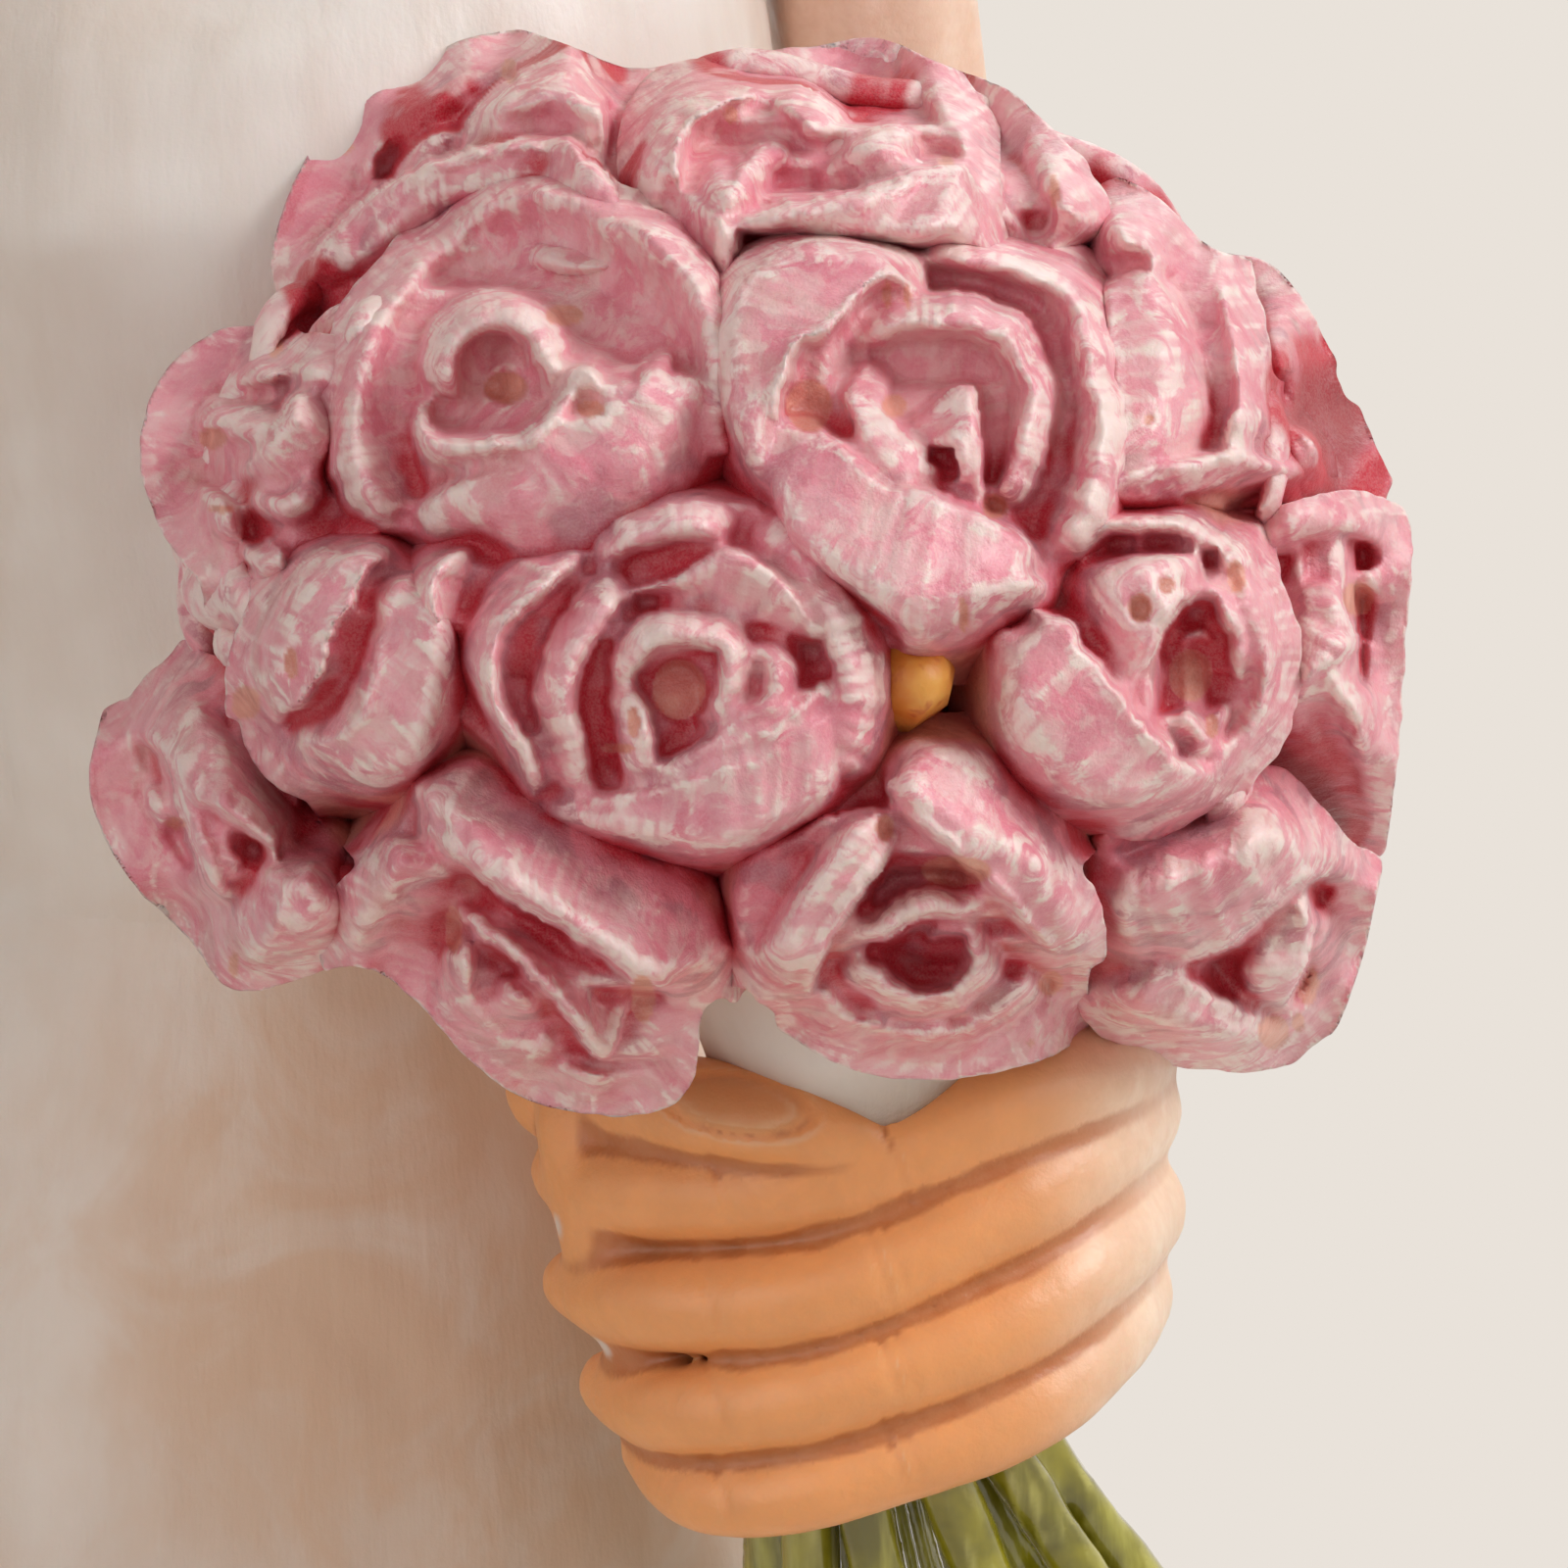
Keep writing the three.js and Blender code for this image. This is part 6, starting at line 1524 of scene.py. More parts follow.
def makeRoses():
    names = sorted(rosePlan)
    shaped = [shapedRose(name) for name in names]
    bodies = [(points, faces) for points, faces, bare, brush in shaped]
    print("roses shaped:", sum(len(faces) * 2 for points, faces in bodies), "triangles")
    shares = crowding(bodies, 0.25, (0.9, 2.4))
    paint = petalPaint()
    for name, (points, faces, bare, brush), (close, wide) in zip(names, shaped, shares):
        proud = rimOf(points, faces, 22)
        rim = smoothStep(0.0, 0.07, proud) * smoothStep(0.7, 0.5, wide)
        close = np.maximum(close, 0.5 + 0.1 * smoothStep(-0.02, -0.1, proud))
        low = smoothStep(3.2, 2.5, liftOf(points))
        deep = low * smoothStep(-0.2, 0.3, noiseAt(points, 2.2, 33))
        addPiece("rosePiece_" + name[-2:], points, faces, paint, [name],
                 {"close": close, "wide": wide, "rim": rim, "bare": np.clip(bare + deep * 0.9, 0, 1),
                  "streak": brush * 0.5 + 0.5})
    print("roses painted")


# The fist that holds the stems. Places are millimetres right and up of the bouquet's middle on
# the view, and towards the eye from the handle.
fist = {
    "voxel": 0.15,
    "flesh": (229, 170, 122),
    "fingers": [
        ("8.3 -11 -1.6, 7.6 -11.4 1.8, 5.8 -12.1 3.7, 1.8 -13.7 4.3, -1.4 -14.1 3.6, -3.4 -14 1.9, -4.2 -13.6 -0.4",
         (1.5, 1.42, 1.34, 1.3, 1.24, 1.16, 0.95)),
        ("8.4 -12.2 -1.6, 7.5 -13.1 1.9, 5.5 -14.5 3.8, 1.6 -16.3 4.4, -1.5 -16.6 3.7, -3.1 -16.5 2.2, -4 -16.1 0",
         (1.5, 1.42, 1.34, 1.28, 1.22, 1.12, 0.92)),
        ("8.5 -14.4 -1.6, 7.7 -15.4 1.8, 5.7 -17.0 3.7, 1.7 -18.6 4.3, -1.1 -19 3.6, -2.4 -18.9 2.2, -3.2 -18.4 0.2",
         (1.5, 1.4, 1.3, 1.24, 1.16, 1.06, 0.88)),
        ("8.3 -16.4 -1.6, 7.7 -17.5 1.6, 5.9 -19.1 3.4, 1.8 -20.6 3.9, -0.6 -21 3.3, -1.7 -20.6 2.2, -2.3 -19.9 0.6",
         (1.4, 1.28, 1.16, 1.1, 1.04, 0.96, 0.8)),
    ],
    "thumb": ("-4.3 -11.6 -1.5, -3.1 -11.9 1.2, -1.6 -12.1 3.6, 0 -12.3 5, 1.4 -12.6 5.1, 2.2 -12.8 4.8",
              (1.5, 1.42, 1.3, 1.22, 1.12, 0.9)),
    "filling": "-3.6 -12.4 0.9, -2.9 -14.8 1.3, -1.9 -17.2 1.4, -0.8 -19.7 1.2",
    "nail": (-0.35, -12.1, 1.5, 0.62),
    "web": ("-1.6 -12.3 2.6, 2.4 -12.1 2.8, 6.4 -11.9 1.6", (1.3, 1.5, 1.5)),
    "palm": [((5.2, -14.6, -1.0), (3.9, 3.6, 4.9)), ((1.5, -15.2, 0.6), (4.4, 3.1, 4.5)),
             ((3.6, -15.4, 0.9), (4.2, 3.1, 4.6)), ((7.2, -13.6, -0.2), (1.9, 2.2, 2.9))],
    # painted light: a deeper orange on the side away from the lamp, a paler tint on the side towards it, and painted
    # shade in the grooves
    "shadedSideOrange": (250, 168, 98),
    "pale": (255, 232, 208),
    "grooveShade": (176, 88, 34),
    "nailTint": (212, 148, 96),
    "white": (233, 222, 212),
    "blobs": [(-4.1, -14.75, 1.6, 0.32), (-3.15, -17.35, 1.9, 0.34), (-2.2, -19.6, 2.0, 0.32)],
}


def besideHandle(x, y, toward):
    x, y, toward = (np.asarray(v, float) for v in (x, y, toward))
    depth = (middle - lean * bouquet["fistDrop"] - eye) @ viewInto
    return eye + sightTo(x, y) / view["distance"] * (depth - toward)[..., None]


def railBesideHandle(text):
    return besideHandle(*numbers(text).T)


def makeFist():
    parts = [tube(railBesideHandle(path), radii, 18, 44) for path, radii in fist["fingers"]]
    parts.append(tube(railBesideHandle(fist["thumb"][0]), fist["thumb"][1], 18, 40))
    parts.append(tube(railBesideHandle(fist["filling"]), (1.5, 1.7, 1.7, 1.5), 18, 30))
    parts.append(tube(railBesideHandle(fist["web"][0]), fist["web"][1], 18, 24))
    axes = [viewRight, viewInto, viewUp]
    parts += [ball(besideHandle(*place), radii, axes) for place, radii in fist["palm"]]
    wrist = onHandle([2.4, 9.6, -bouquet["fistDrop"] - 0.3])
    heel = besideHandle(6.2, -15.0, -2.2)
    parts.append(tube([heel, heel * 0.5 + wrist * 0.5 + [0, 0, 0.3], wrist], (3.5, 2.9, 2.35), 24, 20))
    for x, y, toward, size in fist["blobs"]:
        parts.append(ball(besideHandle(x, y, toward), (size * 1.2, size * 0.8, size), axes))
    points, faces = fused(parts, coarser(fist["voxel"]), 14)
    normal = normalsOf(points, faces)
    points += normal * (noiseAt(points, 1.1, 41, 2) * 0.035 + noiseAt(points, 3.0, 42) * 0.05)[:, None]

    at = points - eye
    flat = eye + at * (view["distance"] / (at @ viewInto))[:, None] - middle
    px, py = flat @ viewRight, flat @ viewUp
    toward = -((points - middle + lean * bouquet["fistDrop"]) @ viewInto)
    # the nail: a flat oval plate with a groove round it
    x, y, wide, tall = fist["nail"]
    dx, dy = (px - x), (py - y) + (px - x) * 0.12
    oval = np.sqrt((dx / wide) ** 2 + (dy / tall) ** 2)
    front = (toward > 4.6) & (normal @ viewInto < 0)
    groove = np.exp(-(((oval - 1.08) / 0.14) ** 2)) * front
    plate = smoothStep(1.1, 0.85, oval) * front
    points = points + viewInto * (groove * 0.16 + plate * 0.05)[:, None]
    # creases across the joints of the fingers
    for k, bend in ((0, 3.2), (1, 2.9), (2, 3.1), (3, 3.2)):
        y = np.interp(px, [-4, -1, 2, 6, 9], [
            [-14, -14.1, -13.7, -12.2, -11.3], [-16.5, -16.6, -16.2, -14.4, -12.8],
            [-18.9, -19, -18.5, -16.8, -15], [-20.6, -20.9, -20.5, -18.8, -17]][k])
        strip = np.exp(-(((py - y) / 1.0) ** 4)) * (toward > 2.5)
        for shift, depth in ((0, 0.07), (0.35, 0.05), (-3.9, 0.06)):
            line = px - (bend + shift) + 0.3 * (py - y)
            points = points + viewInto * (np.exp(-((line / 0.11) ** 2)) * strip * depth)[:, None]
    fields = surfaceFields(points, faces, 0.25, (1.0,), 6, 0.05)
    # painted light: the shaded left side a deeper orange, the lit right side paler
    tint = over(tintOf(fist["flesh"], points), fist["shadedSideOrange"], smoothStep(9.5, 4.0, px) * 0.8)
    tint = over(tint, fist["pale"], smoothStep(6.0, 9.6, px) * 0.85)
    # painted shade in the grooves between the fingers
    valley = smoothStep(-0.004, -0.04, rimOf(points, faces, 25)) * smoothStep(10.5, 7.0, px) * 0.75
    tint = over(tint, fist["grooveShade"], valley)
    tint = over(tint, fist["nailTint"], plate * 0.7)
    for x, y, near, size in fist["blobs"]:
        far = np.linalg.norm(points - besideHandle(x, y, near), axis=1)
        tint = over(tint, fist["white"], smoothStep(size * 1.7, size * 1.15, far))
    addPiece("bride_fist", points, faces, skin, ["bride_left_hand"], fields, tint)
    print("fist:", len(faces) * 2, "triangles")


stemLook = {"count": 14, "inner": 3, "radius": 0.68, "top": -3.8, "end": -36.0, "bound": -19.5, "flare": 1.75,
            "bend": 2.4, "shift": 1.2, "voxel": 0.16, "seed": 8}


def makeStems():
    random = np.random.default_rng(stemLook["seed"])
    parts = []
    for k in range(stemLook["count"]):
        outer = stemLook["count"] - stemLook["inner"]
        inner = k >= outer
        angle = k * 2 * math.pi / (stemLook["inner"] if inner else outer) + random.uniform(-0.12, 0.12)
        ring = 0.75 if inner else 1.85
        path = []
        for z in np.linspace(stemLook["top"], stemLook["end"] + random.uniform(0, 1.2), 12):
            loose = max(0.0, (z - stemLook["bound"]) / (stemLook["end"] - stemLook["bound"]))
            out = ring * (1 + stemLook["flare"] * loose**0.8)
            bend = stemLook["bend"] * (0.75 + 0.45 * math.cos(angle))
            right = bend * loose**1.5 - stemLook["shift"] * smoothStep(-14, -20, z)
            path.append([right + out * math.cos(angle) * (1 + 0.2 * loose), out * math.sin(angle), z])
        size = stemLook["radius"] * random.uniform(0.9, 1.1)
        parts.append(tube(onHandle(path), (size, size, size * 1.1, size * 1.05), 14, 46))
    points, faces = fused(parts, stemLook["voxel"], 2)
    normal = normalsOf(points, faces)
    local = (points - middle) @ handleAxes.T
    ridge = noiseAt(local * [1, 1, 0.12], 0.5, 51, 2) * 0.07 + noiseAt(local, 2.2, 52) * 0.06
    points += normal * ridge[:, None]
    fields = surfaceFields(points, faces, 0.3, (1.0,), 5, 0.05)
    addPiece("stem_bundle", points, faces, stemPaint(), ["bouquet_stems"], fields)


# The domed core, whose resin stands higher where the roses leave a gap in front
coreLook = {"gap": (4.1, -2.75, 4.2), "gapWidth": 0.14, "lumps": 0.25}


def makeCore():
    size = bouquet["coreRadius"]
    points, faces = ball(middle, (size, size, bouquet["coreHeight"]), list(handleAxes), 60, 90)
    way = points - middle
    far = np.linalg.norm(way, axis=1, keepdims=True)
    toGap = fromView(*coreLook["gap"]) - middle
    high = np.linalg.norm(toGap)
    gap = np.linalg.norm(way / far - toGap / high, axis=1, keepdims=True)
    points = points + way / far * (high - far) * np.exp(-((gap / coreLook["gapWidth"]) ** 2))
    points += normalsOf(points, faces) * noiseAt(points, 1.6, 53, 2)[:, None] * coreLook["lumps"]
    addPiece("core_ball", points, faces, bareResin(), ["bouquet_core"])


# The pleated cuff: radius and height of each ring, from the fist up and in under the roses
cuffLook = {
    "rings": ((3.3, -13.2), (3.6, -10.6), (4.0, -8.9), (5.0, -7.2), (7.2, -5.6), (8.5, -4.6), (8.8, -4.2),
              (8.4, -4.0), (7.0, -4.7), (5.0, -5.8), (3.0, -7.0)),
    "pleats": 22,
    "lobes": 5,
    "sides": 240,
}


def makeCuff():
    turn = np.linspace(0, 2 * math.pi, cuffLook["sides"] + 1)[:-1]
    rows = []
    for r, z in cuffLook["rings"]:
        share = smoothStep(3, 9.9, r)
        pleat = 1 + 0.035 * share * np.sin(turn * cuffLook["pleats"])
        lobe = share * (0.35 * np.sin(turn * cuffLook["pleats"]) + 0.5 * np.cos(turn * cuffLook["lobes"] + 0.6))
        rows.append(np.stack([r * pleat * np.cos(turn), r * pleat * np.sin(turn), z + lobe], 1))
    points = onHandle(np.vstack(rows))
    faces = gridFaces(len(rows) + 1, cuffLook["sides"], True) % len(points)
    fields = surfaceFields(points, faces, 0.4)
    addPiece("pleated_cuff", points, faces, gown, ["bouquet_cuff"], fields)
    print("stems, core and cuff done")


# A casting starts from the CAD form: one even skin, softened, then shaped by its own function.


def castForm(names, voxel, relaxing, extra=()):
    return fused([nodeArrays(name) for name in names] + list(extra), coarser(voxel), relaxing)


def sharedSkin(nodes, voxel, relaxing, blend=1.8, limbs=(), fine=None):
    # castings that meet take one skin, softened along their joints, which parts again there
    bodies = [nodeArrays(node) for node in nodes]
    trees = [skinTree(points, faces) for points, faces in bodies]
    plugs = []
    for k, (points, faces) in enumerate(bodies):
        for tree in trees[:k]:
            near = np.array([p for p in points if tree.find_nearest(Vector(p), 1.3)[0] is not None])
            if len(near) > 3:
                centre = near.mean(0)
                plugs.append(ball(centre, [np.linalg.norm(near - centre, axis=1).mean() * 0.9] * 3))
    trunk = bodies[0][0]
    for k in limbs:
        # the shoulder's muscle, from the top of the limb into the trunk
        top = bodies[k][0][bodies[k][0][:, 2] > bodies[k][0][:, 2].max() - 4.5]
        size = (top.max(0) - top.min(0))[:2].min() / 2
        top = (top.max(0) + top.min(0)) / 2
        inner = top * 0.5 + [(trunk[:, 0].max() + trunk[:, 0].min()) / 4, top[1] / 2, top[2] / 2]
        inner[2] += 0.6
        path = [top + [0, 0, 0.2], top * 0.6 + inner * 0.4, inner]
        plugs.append(tube(path, (size * 0.86, size * 0.98, size), 24, 20))
    points, faces = castForm(nodes, voxel, 3, plugs)
    far = np.array([[tree.find_nearest(Vector(p))[3] for p in points] for tree in trees])
    order = np.sort(far, axis=0)
    border = order[1] - order[0]
    keep = smoothStep(0.0, 2.5, far[fine])[:, None] if fine is not None else 1.0
    points = points * (1 - keep) + relaxed(points, faces, relaxing) * keep
    share = np.exp(-((border / blend) ** 2))[:, None] * keep
    points = points * (1 - share) + relaxed(points, faces, 30) * share
    return points, faces, far.argmin(0), border


def addParted(points, faces, owner, named, paint, fields, colours=None):
    # a shared skin as one piece for each casting
    kept = owner[faces[:, 0]]
    for k, (name, node) in enumerate(named):
        used, places = np.unique(faces[kept == k], return_inverse=True)
        own = {field: values[used] for field, values in fields.items()}
        tint = None if colours is None else colours[used]
        addPiece(name, points[used], places.reshape(-1, 4), paint, [node], own, tint)


# The gown: broad flutes come from the casting's form, these are the smaller folds and creases
gownLook = {
    "centre": (18.0, -4.0),
    "waist": 114.3,
    "hem": 9.0,
    "voxel": 0.445,
    "foldDepth": 0.42,
    "creaseDepth": 0.1,
    "seamDepth": 0.08,
}


def foldPattern(turn, drop, count, seed):
    # ridges that start one by one below the waist and wander a little
    random = np.random.default_rng(seed)
    total = np.zeros(len(turn))
    for _ in range(count):
        at = random.uniform(-math.pi, math.pi)
        start = random.uniform(0.0, 0.55)
        width = random.uniform(0.05, 0.1)
        lean = random.uniform(-0.25, 0.25)
        gap = (turn - at - lean * drop + math.pi) % (2 * math.pi) - math.pi
        grown = smoothStep(start, start + 0.25, drop)
        total = np.maximum(total, np.exp(-((gap / (width * (1 + 0.6 * drop))) ** 2)) * grown
                           * random.uniform(0.5, 1))
    return total


def makeGown():
    # skirt and bodice take one skin, so that the paint runs over their seam, and part there again
    waist = gownLook["waist"]
    centre = np.array(gownLook["centre"])
    skirt = nodeArrays("bride_skirt")
    ring = skirt[0][skirt[0][:, 2] > skirt[0][:, 2].max() - 0.05][:, :2]
    wide, deep = np.ptp(ring, 0) / 2
    plug = ball([*(ring.max(0) + ring.min(0)) / 2, waist], (wide - 0.15, deep - 0.15, 3.5))
    points, faces = castForm(["bride_skirt", "bride_bodice"], gownLook["voxel"], 14, [plug])
    x, y, z = points.T
    turn = np.arctan2(x - centre[0], -(y - centre[1]))
    drop = (waist - z) / (waist - gownLook["hem"])
    side = smoothStep(gownLook["hem"] + 1.5, gownLook["hem"] + 5, z)
    folds = foldPattern(turn, drop, 30, 61) - foldPattern(turn, drop, 26, 62) * 0.7
    folds *= smoothStep(0.0, 0.12, drop)
    # faint creases run down to the right round the hips
    slant = points @ np.array([0.52, -0.2, 0.83])
    crease = np.clip(np.sin(slant * 0.9 + noiseAt(points, 9, 63, 2) * 3.5), 0, 1) ** 3
    crease *= smoothStep(0.5, 0.1, drop) * smoothStep(-0.02, 0.06, drop)
    seams = sum(np.exp(-(((turn - at - 0.004 * (z - 114)) / 0.03) ** 2)) for at in (-0.85, 0.85, 2.3, -2.3))
    seams = seams * smoothStep(waist + 1, waist + 5, z)
    soft = noiseAt(points, 5, 64, 2) * 0.12 + noiseAt(points, 1.4, 65) * 0.025
    amount = folds * gownLook["foldDepth"] - crease * gownLook["creaseDepth"] - seams * gownLook["seamDepth"]
    points = pushed(points, faces, (amount + soft) * side)
    fields = surfaceFields(points, faces, 0.8, (3.2,), 8, 0.1)
    # painted shade, in part a tan wash, lies under the bouquet and beside the fist, more of it lower down, fading out
    # further down the skirt
    far = np.linalg.norm(points - besideHandle(-3.5, -15.0, -3.0), axis=1)
    fields["tanWashAndShade"] = np.clip(0.8 * smoothStep(17, 6, far) + 0.45 * smoothStep(125, 104, points[:, 2]), 0, 0.9)
    fields["tanWashAndShade"] *= smoothStep(84, 100, points[:, 2])
    named = (("gown_skirt", "bride_skirt"), ("gown_bodice", "bride_bodice"))
    addParted(points, faces, (points[:, 2] > waist).astype(int), named, gown, fields)
    print("gown shaped")


def onForm(bodies, origin, ways, reach=60.0):
    # where rays from outside meet the skin: each goes in along its way towards the origin
    tree = skinTree(*joined(bodies))
    found, normals = [], []
    for start, way in zip(origin, ways):
        way = np.asarray(way, float) / np.linalg.norm(way)
        hit = tree.ray_cast(Vector(np.asarray(start) + way * reach), Vector(-way))
        place = np.array(hit[0]) if hit[0] is not None else np.asarray(start, float)
        found.append(place)
        normals.append(np.array(hit[1]) if hit[1] is not None else way)
    return np.array(found), np.array(normals)


# Heads. Places are fractions of the head's height: right, forward and up from the chin.
heads = {
    "bride": {"centre": (18.0, -5.0), "chin": 155.5, "tall": 21.5, "wide": 0.95, "jaw": 0.94, "ridge": 0.008,
              "mouth": 0.092, "browSize": (0.2, 0.3, 0.26, 0.2, 0.1),
              "flesh": (248, 214, 190), "lips": (204, 100, 102), "blush": (222, 140, 118), "iris": (92, 62, 38),
              "face": "bride_face"},
    "groom": {"centre": (-19.5, 4.0), "chin": 165.0, "tall": 23.0, "wide": 1.0, "jaw": 1.06, "ridge": 0.016,
              "mouth": 0.1, "browSize": (0.28, 0.42, 0.4, 0.3, 0.12),
              "flesh": (224, 172, 134), "lips": (190, 112, 98), "blush": (214, 142, 114), "iris": (70, 92, 104),
              "face": "groom_face"},
}


headLook = {"voxel": 0.26, "faceVoxel": 0.2, "browVoxel": 0.13, "eyeRadius": 0.062, "eye": (0.135, 0.268, 0.497),
            "shadow": (186, 128, 100), "lash": (60, 40, 30), "eyeWhite": (240, 234, 226), "pupil": (22, 18, 16),
            "groomNeck": ((-19.5, 5.0, 170.0), (-19.5, 5.0, 164.0), (-19.5, 5.0, 160.6))}


def inHead(who, right, forward, up):
    look = heads[who]
    right, forward, up = (np.asarray(v, float) for v in (right, forward, up))
    t = look["tall"]
    return np.stack([look["centre"][0] + right * t, look["centre"][1] - forward * t, look["chin"] + up * t], -1)


def fromHead(who, points):
    # right, forward and up from the chin, as fractions of the head's height
    look = heads[who]
    t = look["tall"]
    return ((points[:, 0] - look["centre"][0]) / t, (look["centre"][1] - points[:, 1]) / t,
            (points[:, 2] - look["chin"]) / t)


def headBall(who, right, forward, up, radii, rows=24, sides=32):
    t = heads[who]["tall"]
    return ball(inHead(who, right, forward, up), np.array(radii) * t, rows=rows, sides=sides)


def headTube(who, rail, radii, sides=14, steps=24):
    path = inHead(who, *np.array(rail, float).T)
    return tube(path, [r * heads[who]["tall"] for r in radii], sides, steps)


def headForm(who):
    look = heads[who]
    w, j = look["wide"], look["jaw"]
    parts = [
        headBall(who, 0, -0.03, 0.625, (0.355 * w, 0.425, 0.37)),
        headBall(who, 0, 0.13, 0.4, (0.285 * w, 0.24, 0.3)),
        headBall(who, 0, 0.12, 0.205, (0.225 * j, 0.215, 0.165)),
        headBall(who, 0, 0.262, 0.085, (0.11 * j, 0.08, 0.08)),
        headBall(who, 0, 0.14, 0.7, (0.28 * w, 0.255, 0.19)),
    ]
    for s in (-1, 1):
        parts.append(headBall(who, s * 0.175 * w, 0.225, 0.375, (0.095, 0.105, 0.095)))
        parts.append(headBall(who, s * 0.05, 0.405, 0.335, (0.038, 0.042, 0.034)))
        ear = [(s * 0.335 * w, 0.0, 0.37), (s * 0.36 * w, -0.02, 0.45), (s * 0.37 * w, -0.06, 0.55)]
        parts.append(headTube(who, ear, (0.026, 0.042, 0.04)))
    parts.append(headTube(who, [(0, 0.355, 0.59), (0, 0.398, 0.49), (0, 0.447, 0.39), (0, 0.452, 0.35)],
                          (0.03, 0.034, 0.042, 0.048)))
    if who == "groom":
        parts.append(tube(headLook["groomNeck"], (4.5, 4.35, 4.2), 32, 20))
    return fused(parts, coarser(headLook["voxel"]), 9)


def lipLine(u):
    # where the lips meet, with a small bow
    return 0.205 + 0.006 * np.cos(u / 0.05) * np.exp(-((u / 0.06) ** 2)) + 0.04 * (u / 0.1) ** 2 * 0.2


def facedHead(who):
    look = heads[who]
    t = look["tall"]
    points, faces = headForm(who)

    def bump(right, up, wide, tall, depth, power=2.0):
        # forward is out of the face, so a minus depth goes in
        u, f, h = fromHead(who, points)
        front = smoothStep(0.08, 0.2, f)
        for s in ((-1, 1) if right else (1,)):
            share = np.exp(-(((np.abs(u - s * right) / wide) ** power + (np.abs(h - up) / tall) ** power)))
            points[:, 1] -= share * front * depth * t

    # eye sockets, their inner corners, brow ridge, cheekbones, mouth, its corners, the dip under it,
    # the groove over it and the folds beside the nose: place, half widths and height
    for hill in ((0.135, 0.5, 0.075, 0.052, -0.046), (0.075, 0.505, 0.03, 0.05, -0.018),
                 (0.14, 0.59, 0.1, 0.028, look["ridge"]), (0.15, 0.415, 0.06, 0.03, 0.006),
                 (0.0, 0.21, 0.115, 0.055, 0.02), (0.14, 0.22, 0.028, 0.04, -0.012),
                 (0.0, 0.135, 0.08, 0.02, -0.012), (0.0, 0.27, 0.014, 0.03, -0.007),
                 (0.105, 0.3, 0.03, 0.05, -0.006)):
        bump(*hill)
    u, f, h = fromHead(who, points)
    # upper lip with its bow, lower lip, and the line between them
    front = smoothStep(0.2, 0.3, f)
    part = lipLine(u)
    half = look["mouth"]
    full = smoothStep(half * 1.1, half * 0.5, np.abs(u))
    tallUp = (0.03 - 0.007 * np.exp(-((u / 0.016) ** 2))) * full + 0.004
    tallLow = 0.036 * full + 0.004
    above = (h - part) / tallUp
    below = (part - h) / tallLow
    lipUp = np.where(above > 0, np.exp(-(((above - 0.5) / 0.48) ** 2) * 1.3), 0) * full
    lipLow = np.where(below > 0, np.exp(-(((below - 0.5) / 0.5) ** 2) * 1.3), 0) * full
    line = np.exp(-(((h - part) / 0.006) ** 2)) * smoothStep(half * 1.25, half, np.abs(u))
    points[:, 1] -= (lipUp * 0.014 + lipLow * 0.018 - line * 0.014) * front * t
    # nostrils from below
    u, f, h = fromHead(who, points)
    for s in (-1, 1):
        dent = np.exp(-(((u - s * 0.03) / 0.014) ** 2 + ((f - 0.42) / 0.02) ** 2 + ((h - 0.312) / 0.018) ** 2))
        points[:, 2] += dent * 0.02 * t
    # ears: a hollow inside the rim
    ear = np.exp(-(((np.abs(u) - 0.385) / 0.02) ** 2 + ((f + 0.015) / 0.022) ** 2 + ((h - 0.46) / 0.045) ** 2))
    points[:, 0] -= np.sign(u) * ear * 0.03 * t
    return points, faces


def paintedEye(who, centre):
    # a ball whose pole looks forward, with its iris, pupil and a glint
    look = heads[who]
    eye, faces = ball((0, 0, 0), (1, 1, 1), rows=40, sides=56)
    eye = np.stack([eye[:, 0], -eye[:, 2], eye[:, 1]], 1)
    aside = np.hypot(eye[:, 0], eye[:, 2])
    front = eye[:, 1] < 0
    tint = tintOf(headLook["eyeWhite"], eye)
    ring = [v * 0.6 for v in look["iris"]]
    for size, colour in ((0.5, ring), (0.44, look["iris"]), (0.22, headLook["pupil"])):
        tint = over(tint, colour, smoothStep(size + 0.03, size - 0.03, aside) * front)
    light = (smoothStep(0.13, 0.07, np.hypot(eye[:, 0] + 0.16, eye[:, 2] - 0.2)) * front)[:, None]
    return (eye * headLook["eyeRadius"] * look["tall"] + centre, faces), tint * (1 - light) + 0.9 * light


def eyeLids(who, side):
    # two folds over the eye and two under it: lift, bow, thickness and how far out they lie
    right, forward, up = headLook["eye"]
    t = heads[who]["tall"]
    lids = []
    for lift, bow, radius, out in ((0.004, 0.036, 0.011, 0.068), (0.02, 0.046, 0.014, 0.062),
                                   (-0.002, -0.03, 0.008, 0.066), (-0.014, -0.044, 0.011, 0.06)):
        a = np.linspace(-1, 1, 13)
        u = a * 0.068
        z = lift + bow * (1 - np.abs(a) ** 2.2) - 0.006 * a * side
        f = np.sqrt(np.maximum((out + 0.006) ** 2 - np.minimum(u**2 + z**2, out**2 * 0.9), 0.0))
        rail = inHead(who, side * right + u, forward + f, up + z)
        full, thin = radius * t, radius * t * 0.6
        lids.append(tube(rail, (thin, full, full, full, thin), 12, 26))
    return lids


